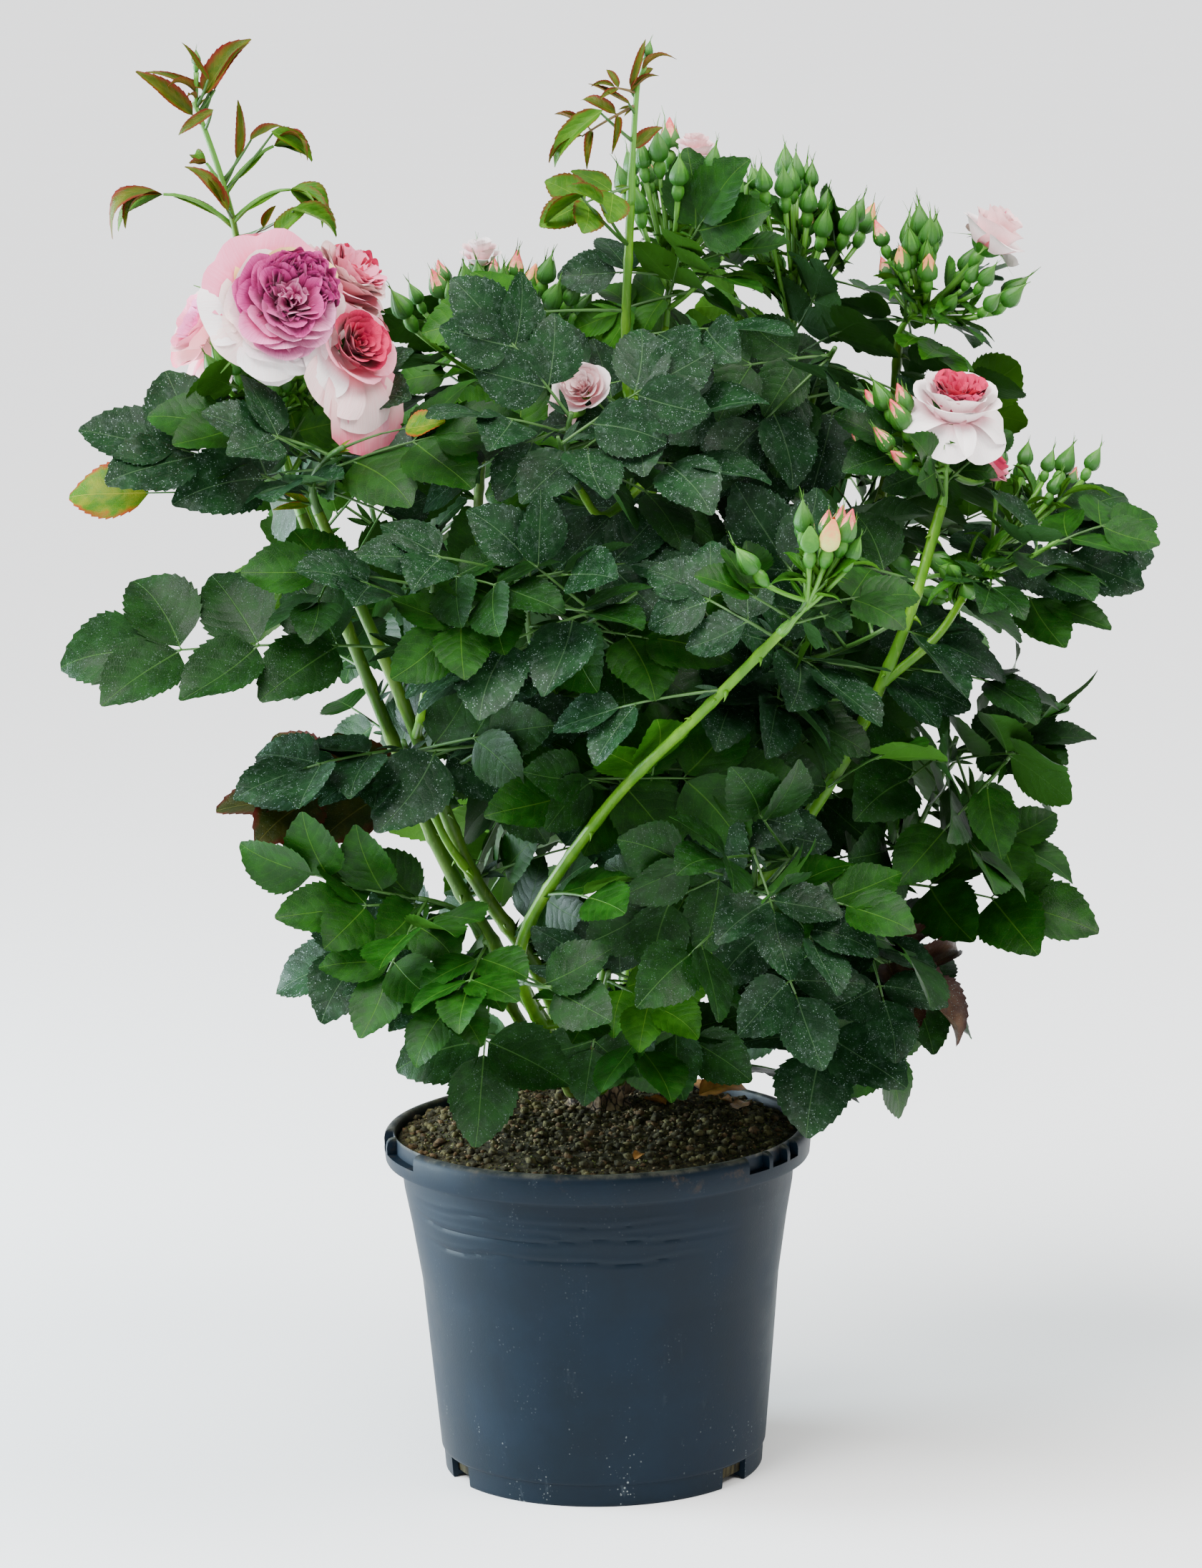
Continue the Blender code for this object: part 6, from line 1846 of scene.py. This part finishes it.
# How much wider a cane is at a node, at the crown and at the cane that bears it, and how far along.
NODE_SWELL = (0.16, 0.0030)
CROWN_FLARE = (0.55, 0.010)
SHOOT_FLARE = (0.25, 0.004)
CANE_LOOKS = {
    "cane_left_rear": "cane_olive", "cane_left_front": "cane_olive", "cane_rear_right": "cane_olive",
    "cane_rear_left": "cane_olive", "cane_far_right": "cane_olive", "cane_rear_middle": "cane_olive",
    "cane_low_right": "cane_woody", "cane_low_left": "cane_olive",
}
CANE_SLIMNESS = {"cane_front": 0.84, "cane_tall": 0.88}


def smooth_course(name, limbs):
    """Points along a limb's smooth course; a side shoot starts inside the cane that bears it."""
    if name in CANES:
        return curve_line(CANES[name][2], CANE_STEPS)
    carrier, _, by, tip = SHOOTS[name]
    start = limbs[name][0][0]
    start = min(curve_line(CANES[carrier][2], 400), key=lambda spot: (spot - start).length)
    return curve_line((start, by, tip), CANE_STEPS // 3)


def add_thorn(sheets, spot, ahead, out, size, finish):
    """A hooked thorn on a stout foot, pointing back down the cane."""
    points = [spot, spot + out * size * 0.35 - ahead * size * 0.08,
              spot + out * size * 0.70 - ahead * size * 0.28, spot + out * size - ahead * size * 0.60]
    round_tube(sheets, points, [size * 0.34, size * 0.20, size * 0.10, size * 0.01], 6, finish,
               (0.1, 0.95, 0.3, 0.04))


def make_cane(name, number, limbs):
    """A cane or side shoot: swollen at its nodes, wider at its foot, with a few thorns."""
    rng = random.Random(900 + number)
    course = smooth_course(name, limbs)
    _, radii, carrier = limbs[name]
    foot, tip = radii[0], radii[-1]
    slimness = CANE_SLIMNESS.get(name, 1.0)
    flare, reach = CROWN_FLARE if carrier == "crown" else SHOOT_FLARE
    lengths = [0.0]
    for a, b in zip(course, course[1:]):
        lengths.append(lengths[-1] + (b - a).length)
    whole = lengths[-1]
    nodes = []
    place = NODE_SPACING * rng.uniform(0.5, 1.0)
    while place < whole:
        nodes.append(place)
        place += NODE_SPACING * rng.uniform(0.7, 1.25)
    sizes = []
    for length in lengths:
        share = length / whole
        radius = (foot + (tip - foot) * share) * slimness
        swell = sum(NODE_SWELL[0] * exp(-((length - node) / NODE_SWELL[1]) ** 2) for node in nodes)
        sizes.append(radius * (1 + swell + flare * exp(-length / reach)))
    finish = CANE_LOOKS.get(name, "cane_fresh")
    sheets = Sheets()
    round_tube(sheets, course, sizes, CANE_SIDES, finish, (0.0, 0.0, 1.0, 0.95))
    for node in nodes:
        k = min(range(len(lengths)), key=lambda i: abs(lengths[i] - node))
        k = min(max(k, 1), len(course) - 2)
        ahead = (course[k + 1] - course[k - 1]).normalized()
        across = ahead.orthogonal().normalized()
        other = ahead.cross(across)
        for _ in range(rng.choice((0, 0, 1, 1, 2))):
            angle = rng.uniform(0.0, 6.28)
            out = turned(across, other, angle)
            spot = course[k] + ahead * rng.uniform(-0.012, 0.012) + out * sizes[k] * 0.75
            size = THORN_LENGTH * rng.uniform(0.6, 1.1) * (foot + 0.002) / 0.0066
            add_thorn(sheets, spot, ahead, out, size, finish)
    return sheets.make(name + "_skin", "cane_bark", (name,))


CROWN_ROWS = 56
CROWN_SIDES = 84


def make_crown(limbs):
    """Knobbly foot of the bush: the solid's rings, with burrs at the canes and furrowed bark."""
    rng = random.Random(7)
    bumps = [rng.uniform(-0.10, 0.14) for _ in range(12)]
    rows = ((0.0, 1.0), (0.10, 0.84), (0.35, 0.72), (0.62, 0.86), (0.85, 0.80), (1.0, 0.52))
    heights = [height for height, _ in rows]
    shares = [share for _, share in rows]
    feet = [limbs[name][0][0] for name in CANES]
    points = []
    marks = []
    for i in range(CROWN_ROWS + 1):
        t = i / CROWN_ROWS
        closing = min(1.0, (1 - t) / 0.12)
        height = min(1.0, t / 0.90)
        for k in range(CROWN_SIDES + 1):
            turn = (k % CROWN_SIDES) / CROWN_SIDES
            bump = np.interp(turn * 12, range(13), bumps + bumps[:1])
            angle = 2 * pi * turn
            radius = CROWN_FOOT_RADIUS * np.interp(height, heights, shares) * (1 + bump)
            radius *= sqrt(max(0.0, 1 - (1 - closing) ** 2)) if closing < 1 else 1.0
            out = level_at(angle)
            level = SOIL_TOP - 0.002 + (CROWN_HEIGHT + 0.002) * height
            spot = CROWN_CENTRE + Vector((0.004, 0.003, 0.0)) * height + out * radius + UP * level
            burr = sum(exp(-((foot - spot).length / 0.0075) ** 2) for foot in feet)
            grain = noise.fractal(Vector((cos(angle) * 6, sin(angle) * 6, level * 90)),
                                  1.0, 2.1, 5)
            flake = abs(noise.noise(Vector((cos(angle) * 14, sin(angle) * 14, level * 260))))
            relief = 0.0020 * min(burr, 1.2) + 0.0016 * grain - 0.0011 * flake
            edge = 0.35 if t < 0.04 else 1.0
            spot += out * relief * edge * min(1.0, closing + 0.25)
            points.append(spot)
            marks.append((k / CROWN_SIDES, t))
    sheets = Sheets()
    sheets.add(points, grid_faces(CROWN_ROWS + 1, CROWN_SIDES + 1), marks, "crown_bark")
    return sheets.make("crown_stump", "crown_bark", ("crown",))


# ---- pot
POT_SEGMENTS = 216
POT_FINE_STEP = 0.0016
# Creases pressed into the upper band: height, depth, first and last angle, wave.
CREASES = ((0.1645, 0.0006, 195.0, 300.0, 0.0014), (0.1545, 0.0009, 190.0, 318.0, 0.0022),
           (0.1430, 0.0008, 200.0, 306.0, 0.0020), (0.1590, 0.0004, 232.0, 290.0, 0.0016))
CREASE_WIDTH = 0.0011


def pot_profile():
    """Radius and height round the whole wall, from the mouth down the outside and up the inside."""
    top = POT_HEIGHT
    rim = POT_RIM_RADIUS
    under = POT_HEIGHT - POT_LIP_HEIGHT
    outside = [(POT_MOUTH_RADIUS, top - 0.0012), (POT_MOUTH_RADIUS + 0.0006, top - 0.0003),
               (POT_MOUTH_RADIUS + 0.0013, top), (rim - 0.0036, top - 0.0001), (rim - 0.0018, top - 0.0008),
               (rim - 0.0006, top - 0.0023), (rim, top - 0.0050), (rim - 0.0002, top - 0.0100),
               (rim - 0.0008, under + 0.0014), (rim - 0.0014, under + 0.0003), (rim - 0.0026, under),
               (rim - 0.0060, under + 0.0002), (0.1112, under - 0.0009)]
    body = list(POT_BODY)
    ledge_radius, ledge_height = body[-1]
    smooth = fine_rows(body[:-1] + [(ledge_radius + 0.0001, ledge_height + 0.0008)])
    foot = [(ledge_radius - 0.0002, ledge_height), (ledge_radius - FOOT_LEDGE, ledge_height - 0.0006),
            (ledge_radius - FOOT_LEDGE - 0.0002, ledge_height - 0.0020)]
    foot += fine_rows([foot[-1], (POT_FOOT_RADIUS, 0.0008)])[1:]
    foot += [(POT_FOOT_RADIUS - 0.0006, 0.0)]
    foot_inner = POT_FOOT_RADIUS - POT_WALL
    under_side = [(foot_inner, 0.0), (foot_inner - 0.0010, HUB_RECESS), (HUB_RADIUS + 0.0010, HUB_RECESS),
                  (HUB_RADIUS, 0.0), (0.0, 0.0)]
    inside = [(0.0, POT_FLOOR), (POT_FOOT_RADIUS - 1.5 * POT_WALL, POT_FLOOR)]
    inside += [(radius - POT_WALL, height) for radius, height in reversed(POT_BODY[:-1])]
    inside += [(POT_MOUTH_RADIUS, POT_THROAT)]
    return outside + smooth + foot + under_side + inside


def fine_rows(points):
    """The same line with points no further apart than the fine step."""
    rows = [points[0]]
    for (r0, h0), (r1, h1) in zip(points, points[1:]):
        steps = max(1, ceil(hypot(r1 - r0, h1 - h0) / POT_FINE_STEP))
        rows += [(r0 + (r1 - r0) * k / steps, h0 + (h1 - h0) * k / steps) for k in range(1, steps + 1)]
    return rows


def crease_offset(angle, height):
    """How far the wall is pressed in at an angle in degrees and a height."""
    offset = 0.0
    for level, depth, first, last, wave in CREASES:
        if not first < angle < last:
            continue
        share = (angle - first) / (last - first)
        line = level + wave * (sin(share * 11.0 + level * 900) + 0.6 * sin(share * 23.0)) * 0.5
        fade = min(1.0, 6 * share, 6 * (1 - share))
        across = (height - line) / CREASE_WIDTH
        offset -= depth * fade * exp(-across * across)
        offset += depth * 0.5 * fade * exp(-((height - line - 0.0022) / 0.0014) ** 2)
    return offset


def make_pot():
    """The pot turned from its profile, creased, then cut at its rim, foot and floor."""
    points = []
    rows = []
    for radius, height in pot_profile():
        count = POT_SEGMENTS if radius else 1
        rows.append(range(len(points), len(points) + count))
        if count == 1:
            points.append((0.0, 0.0, height))
            continue
        for k in range(POT_SEGMENTS):
            angle = 360.0 * k / POT_SEGMENTS
            outer = 0.115 < height < 0.174 and radius > 0.0995
            pressed = crease_offset(angle, height) if outer else 0.0
            turn = radians(angle)
            bow = 0.00035 * sin(2 * turn + 0.6) + 0.0002 * sin(3 * turn + height * 20)
            wide = radius + pressed + bow * min(1.0, height / 0.05)
            points.append((wide * cos(turn), wide * sin(turn), height))
    mesh = bpy.data.meshes.new("pot_body")
    mesh.from_pydata(points, [], flipped(ring_faces(rows + rows[:1])))
    pot = place_piece("pot_body", mesh, ("pot",))
    cut_openings(pot)
    pot.data.materials.clear()
    pot.data.materials.append(FINISHES["pot_plastic"])
    pot.data.shade_smooth()
    pot.data.set_sharp_from_angle(angle=radians(38))
    return pot


def sector_shape(inner, outer, low, high, start, end):
    """Ring sector between two radii, two heights and two angles in degrees."""
    steps = max(3, int((end - start) / 2))
    verts = []
    for i in range(steps + 1):
        angle = radians(start + (end - start) * i / steps)
        for radius, height in ((inner, low), (outer, low), (outer, high), (inner, high)):
            verts.append((radius * cos(angle), radius * sin(angle), height))
    rows = [range(4 * i, 4 * i + 4) for i in range(steps + 1)]
    return verts, [tuple(rows[0]), *flipped(ring_faces(rows)), tuple(rows[-1][::-1])]


def cut_openings(pot):
    """Cut the slots in the rim, the notches in the foot and the holes in the floor."""
    shapes = [sector_shape(SLOT_INNER, POT_RIM_RADIUS + 0.01, SLOT_FLOOR, POT_HEIGHT + 0.01, *span)
              for span in SLOT_SPANS]
    shapes += [sector_shape(POT_FOOT_RADIUS - NOTCH_DEPTH, POT_FOOT_RADIUS + NOTCH_DEPTH, -0.01,
                            NOTCH_HEIGHT, angle - NOTCH_SPAN / 2, angle + NOTCH_SPAN / 2)
               for angle in NOTCH_ANGLES]
    for i in range(DRAIN_HOLES):
        angle = 2 * pi * (i + 0.5) / DRAIN_HOLES
        middle = Vector((DRAIN_RING * cos(angle), DRAIN_RING * sin(angle), -0.01))
        shapes.append(tube_shape([middle, middle + UP * 0.02], [DRAIN_RADIUS] * 2, 24))
    verts = []
    faces = []
    for shape_verts, shape_faces in shapes:
        first = len(verts)
        verts += [tuple(v) for v in shape_verts]
        faces += [tuple(first + v for v in face) for face in shape_faces]
    mesh = bpy.data.meshes.new("openings")
    mesh.from_pydata(verts, [], faces)
    cutter = new_object("openings", mesh)
    modifier = pot.modifiers.new("openings", "BOOLEAN")
    modifier.operation = "DIFFERENCE"
    modifier.solver = "EXACT"
    modifier.object = cutter
    depsgraph = bpy.context.evaluated_depsgraph_get()
    result = bpy.data.meshes.new_from_object(pot.evaluated_get(depsgraph))
    pot.modifiers.clear()
    pot.data = result
    bpy.data.objects.remove(cutter, do_unlink=True)


# ---- soil
SOIL_RINGS = 80
SOIL_SPOKES = 200
CRUMBS = 4100
GRAINS = 1500
# Dry leaves on the soil: place, turn in degrees and length.
DRY_LEAVES = ((0.058, 0.052, 20, 0.030), (0.079, 0.013, 75, 0.018), (0.039, 0.025, 140, 0.016),
              (0.052, 0.100, 10, 0.024), (0.020, -0.089, 60, 0.010), (-0.060, 0.070, 200, 0.022),
              (0.070, 0.040, 300, 0.012))


def soil_height(x, y):
    """Height of the soil: a low mound with lumps, flat at the pot's wall."""
    radius = hypot(x, y)
    wall = POT_MOUTH_RADIUS - SOIL_CLEARANCE
    mound = np.interp(radius, (0.0, SOIL_FLAT_RADIUS, (SOIL_FLAT_RADIUS + wall) / 2, wall),
                      (SOIL_TOP, SOIL_TOP, SOIL_TOP - (SOIL_TOP - SOIL_EDGE) * 0.35, SOIL_EDGE))
    lumps = noise.fractal(Vector((x * 55, y * 55, 2.0)), 0.9, 2.2, 5)
    fine = noise.noise(Vector((x * 420, y * 420, 5.0)))
    calm = min(1.0, (wall - radius) / 0.012)
    return mound - 0.0010 + (0.0022 * lumps + 0.0007 * fine) * max(0.0, calm)


def soil_mark(x, y):
    return (0.5 + x / 0.24, 0.5 + y / 0.24)


def crumb_shape():
    """Corners and faces of a twelve-cornered crumb, turned outward."""
    golden = (1 + sqrt(5)) / 2
    corners = []
    for a in (-1, 1):
        for b in (-golden, golden):
            corners += [Vector((0, a, b)), Vector((a, b, 0)), Vector((b, 0, a))]
    faces = []
    for trio in itertools.combinations(range(12), 3):
        a, b, c = [corners[k] for k in trio]
        if max((a - b).length, (b - c).length, (a - c).length) < 2.01:
            faces.append(trio if (b - a).cross(c - a).dot(a) > 0 else trio[::-1])
    return corners, np.array(faces)


CRUMB_CORNERS, CRUMB_FACES = crumb_shape()


def add_crumb(sheets, place, size, rng, finish, flat=0.75):
    """An angular crumb of soil."""
    turn = Matrix.Rotation(rng.uniform(0, 6.28), 3, Vector((rng.random(), rng.random(), 1.0)))
    points = []
    for corner in CRUMB_CORNERS:
        spot = turn @ corner.normalized() * size * rng.uniform(0.50, 1.30)
        points.append(place + Vector((spot.x, spot.y, spot.z * flat)))
    sheets.add(points, CRUMB_FACES, [soil_mark(point.x, point.y) for point in points], finish)


def make_soil():
    """The soil: a lumpy top closed down inside the pot, with crumbs, grains and dry leaves."""
    rng = random.Random(21)
    sheets = Sheets()
    wall = POT_MOUTH_RADIUS - SOIL_CLEARANCE
    points = [Vector((0.0, 0.0, soil_height(0.0, 0.0)))]
    for i in range(1, SOIL_RINGS + 1):
        radius = wall * i / SOIL_RINGS
        for k in range(SOIL_SPOKES):
            angle = 2 * pi * (k + 0.5 * (i % 2)) / SOIL_SPOKES
            x = radius * cos(angle)
            y = radius * sin(angle)
            points.append(Vector((x, y, soil_height(x, y))))
    inside = [(POT_MOUTH_RADIUS, POT_THROAT)] + [(radius - POT_WALL, height)
                                                 for radius, height in POT_BODY[:-1]]
    inside.append((POT_FOOT_RADIUS - 1.5 * POT_WALL, POT_FLOOR + GAP))
    for radius, height in inside:
        for k in range(SOIL_SPOKES):
            angle = 2 * pi * k / SOIL_SPOKES
            out = radius - SOIL_CLEARANCE
            points.append(Vector((out * cos(angle), out * sin(angle), height)))
    points.append(Vector((0.0, 0.0, POT_FLOOR + GAP)))
    rings = [range(i, i + SOIL_SPOKES) for i in range(1, len(points) - 1, SOIL_SPOKES)]
    faces = [(face[0], *pair) for face in flipped(ring_faces([[0], *rings, [len(points) - 1]]))
             for pair in zip(face[1:], face[2:])]
    sheets.add(points, faces, [soil_mark(point.x, point.y) for point in points], "soil_dark")
    for number in range(CRUMBS + GRAINS):
        radius = (wall - 0.003) * sqrt(rng.random())
        angle = rng.uniform(0.0, 2 * pi)
        x = radius * cos(angle)
        y = radius * sin(angle)
        small = number >= CRUMBS
        size = rng.uniform(0.0004, 0.0009) if small else 0.0005 + 0.0027 * rng.random() ** 3.2
        if number % 97 == 0:
            size *= 1.6
        near_edge = radius > wall * 0.72
        if small:
            finish = "soil_moss" if near_edge and rng.random() < 0.8 else "soil_pale"
        else:
            finish = rng.choice(("soil_dark", "soil_dark", "soil_dark", "soil_crumb", "soil_crumb",
                                 "soil_bark"))
        add_crumb(sheets, Vector((x, y, soil_height(x, y) + size * 0.30)), size, rng, finish)
    for x, y, turn, length in DRY_LEAVES:
        add_dry_leaf(sheets, x, y, turn, length, rng)
    return sheets.make("soil_fill", "potting_soil", ("soil",))


def add_dry_leaf(sheets, x, y, turn, length, rng):
    """A curled dry leaf lying on the soil."""
    turn = radians(turn)
    root = Vector((x, y, soil_height(x, y) + 0.0022))
    tip = root + Vector((cos(turn), sin(turn), 0.12)) * length
    radius = hypot(tip.x, tip.y)
    if radius > POT_MOUTH_RADIUS - 0.004:
        tip *= (POT_MOUTH_RADIUS - 0.006) / radius
        tip.z = root.z + 0.002
    up = Vector((rng.uniform(-0.4, 0.4), rng.uniform(-0.5, 0.1), 1.0)).normalized()
    add_leaflet(sheets, root, tip, up, length * 0.62, rng, "leaf_dry",
                LEAF_SHAPES["dry"])


# ---- studio
FLOOR_REACH = 30.0
SKY_TONE = (0.94, 0.97, 1.0, 1.0)
SKY_STRENGTH = 0.68
# Lights: name, kind, place, target, energy, size and tint.
LIGHTS = (("key", "SUN", (-1.65, -1.4, 3.4), (0.0, 0.0, 0.35), 5.8, radians(40), (1.0, 1.0, 1.0)),
          ("window", "AREA", (-1.9, 0.30, 0.45), (0.0, 0.0, 0.22), 150.0, 1.3, (0.72, 0.90, 1.0)),
          ("fill", "AREA", (1.5, -0.7, 2.7), (0.15, 0.0, 0.50), 88.0, 1.5, (1.0, 0.98, 0.93)))


def make_camera():
    data = bpy.data.cameras.new("studio_camera")
    data.sensor_fit = "VERTICAL"
    data.sensor_height = FILM_HEIGHT
    data.lens = FILM_HEIGHT * FOCAL_PIXELS / IMAGE_HEIGHT
    camera = new_object("studio_camera", data)
    ahead = Vector((0.0, cos(CAMERA_PITCH), sin(CAMERA_PITCH)))
    level = Vector((1.0, 0.0, 0.0))
    upright = level.cross(ahead)
    right = turned(level, upright, CAMERA_ROLL)
    upward = turned(upright, level, -CAMERA_ROLL)
    matrix = Matrix((right, upward, -ahead)).transposed().to_4x4()
    matrix.translation = Vector(CAMERA_PLACE)
    camera.matrix_world = matrix
    bpy.context.scene.camera = camera


def make_floor():
    """Plain pale floor, far wider than the view."""
    mesh = bpy.data.meshes.new("studio_floor")
    corners = [(x * FLOOR_REACH, y * FLOOR_REACH, 0.0) for x, y in ((-1, -1), (1, -1), (1, 1), (-1, 1))]
    mesh.from_pydata(corners, [], [(0, 1, 2, 3)])
    floor = new_object("studio_floor", mesh)
    skin = new_finish("studio_paper", 0.9, Specular_IOR_Level=0.1)
    skin["Base Color"] = blend(cloud(object_place(skin), 3.0), (0.93, 0.93, 0.93, 1.0),
                               (0.95, 0.95, 0.95, 1.0))
    mesh.materials.append(FINISHES["studio_paper"])


def make_light(name, kind, place, target, energy, size, tint):
    data = bpy.data.lights.new(name, kind)
    data.energy = energy
    data.color = tint
    if kind == "AREA":
        data.shape = "DISK"
        data.size = size
    else:
        data.angle = size
    light = new_object(name, data)
    light.location = place
    way = Vector(target) - Vector(place)
    light.rotation_euler = way.to_track_quat("-Z", "Y").to_euler()


def make_studio():
    make_camera()
    make_floor()
    world = bpy.data.worlds.new("studio_room")
    world.use_nodes = True
    sky = Sockets(world.node_tree, world.node_tree.nodes["Background"].inputs)
    sky["Color"] = SKY_TONE
    sky["Strength"] = SKY_STRENGTH
    bpy.context.scene.world = world
    for row in LIGHTS:
        make_light(*row)


# ---- the whole bush
# Each joined piece of leaves and the masses that it stands for.
LEAF_PIECES = {
    "leaves_left": ("blooms_left", "leaves_upper_left", "leaves_left_wing", "leaves_left_middle",
                    "leaves_low_left", "leaves_front_left", "truss_top_left"),
    "leaves_middle": ("leaves_upper_front", "leaves_middle_left", "leaves_low_middle",
                      "leaves_front_middle", "truss_top_middle", "truss_front", "truss_top_right"),
    "leaves_right": ("leaves_front_right", "leaves_low_right", "leaves_right_middle",
                     "leaves_middle_right", "leaves_upper_right", "truss_right_upper",
                     "truss_right_bloom", "truss_right_top"),
    "leaves_rear": ("leaves_rear_left", "leaves_rear_middle", "leaves_rear_right", "leaves_rear_low"),
    "leaves_young": ("young_shoot_left", "tall_shoot"),
}
RIPE_SHARE = 0.16
RIPE_MASSES = {"truss_right_bloom": 0.8, "truss_top_left": 0.25, "truss_right_top": 0.30,
               "blooms_left": 0.0, "truss_right_upper": 0.12, "truss_front": 0.35,
               "tall_shoot": 0.0, "young_shoot_left": 0.0}


def add_stem(twigs, stem, limb_radius, finish):
    """The stem of a mass, which tapers on from the tip of its limb."""
    start, bend, _ = stem
    inside = start - (bend - start).normalized() * 0.004
    points = [inside, *bezier_line(*stem, 10)]
    radii = [limb_radius * 0.96] + [limb_radius + (0.0017 - limb_radius) * min(1.0, k / 4)
                                    for k in range(11)]
    radii = [radius * (1.0 if k < 6 else 1.0 - 0.02 * (k - 5)) for k, radius in enumerate(radii)]
    round_tube(twigs, points, radii, 8, finish)


def make_foliage(bush):
    """Leaves by region, and the twigs, buds and petals, each kind in a piece of its own."""
    twigs = Sheets()
    greens = Sheets()
    petals = Sheets()
    for number in range(len(BLOOMS)):
        add_bloom(petals, greens, number)
    for line in bush.pedicels:
        round_tube(twigs, bezier_line(*line, 8), [STEM_RADIUS * (0.85 + 0.04 * k) for k in range(9)], 7,
                   "stalk_fresh")
    leaf_sheets = {piece_name: Sheets() for piece_name in LEAF_PIECES}
    for piece_name, leaves in leaf_sheets.items():
        if piece_name == "leaves_young":
            add_young_blades(leaves, twigs, bush, random.Random(77))
        for name in LEAF_PIECES[piece_name]:
            rng = random.Random("leaves of " + name)
            limb = MASSES[name][0]
            young = name in LEAF_PIECES["leaves_young"]
            fresh = young or name.startswith("truss") or name == "blooms_left"
            finish = "stalk_fresh" if fresh else "stalk_green"
            add_stem(twigs, bush.stems[name], bush.limbs[limb][1][-1], finish)
            for line in bush.twigs[name]:
                round_tube(twigs, bezier_line(*line, 7), [0.0018 - 0.0001 * k for k in range(8)], 6, finish)
            for leaf in bush.leaves[name]:
                add_leaf(leaves, twigs, leaf, name, rng)
            for bud in bush.buds[name]:
                ripe = rng.random() < RIPE_MASSES.get(name, RIPE_SHARE)
                add_bud(greens, petals, twigs, bud, rng, ripe, 0.5 if young else 1.0)
                for _ in range(rng.choice((1, 2, 2, 3))):
                    root = bud[0].lerp(bud[1], rng.uniform(0.1, 0.9))
                    add_bract(leaves, root, bud[2], rng, "leaf_young" if young else "leaf_fresh")
    for piece_name, leaves in leaf_sheets.items():
        slot = "young_leaves" if piece_name == "leaves_young" else "leaves"
        leaves.make(piece_name, slot, LEAF_PIECES[piece_name])
    twigs.make("twigs_and_stalks", "leaves")
    greens.make("buds_and_sepals", "leaves")
    petals.make("petals", "blooms", ("blooms_left",))


def main():
    make_studio()
    make_finishes()
    limbs = limb_paths()
    make_pot()
    make_soil()
    make_crown(limbs)
    for number, name in enumerate(limbs):
        make_cane(name, number, limbs)
    bush = grow_as_solids(limbs)
    open_the_crown(bush)
    place_added_leaves(bush)
    spacing = Spacing(bush)
    fill_clusters(bush)
    fill_masses(bush, spacing)
    fill_along_limbs(bush, spacing)
    make_foliage(bush)


main()
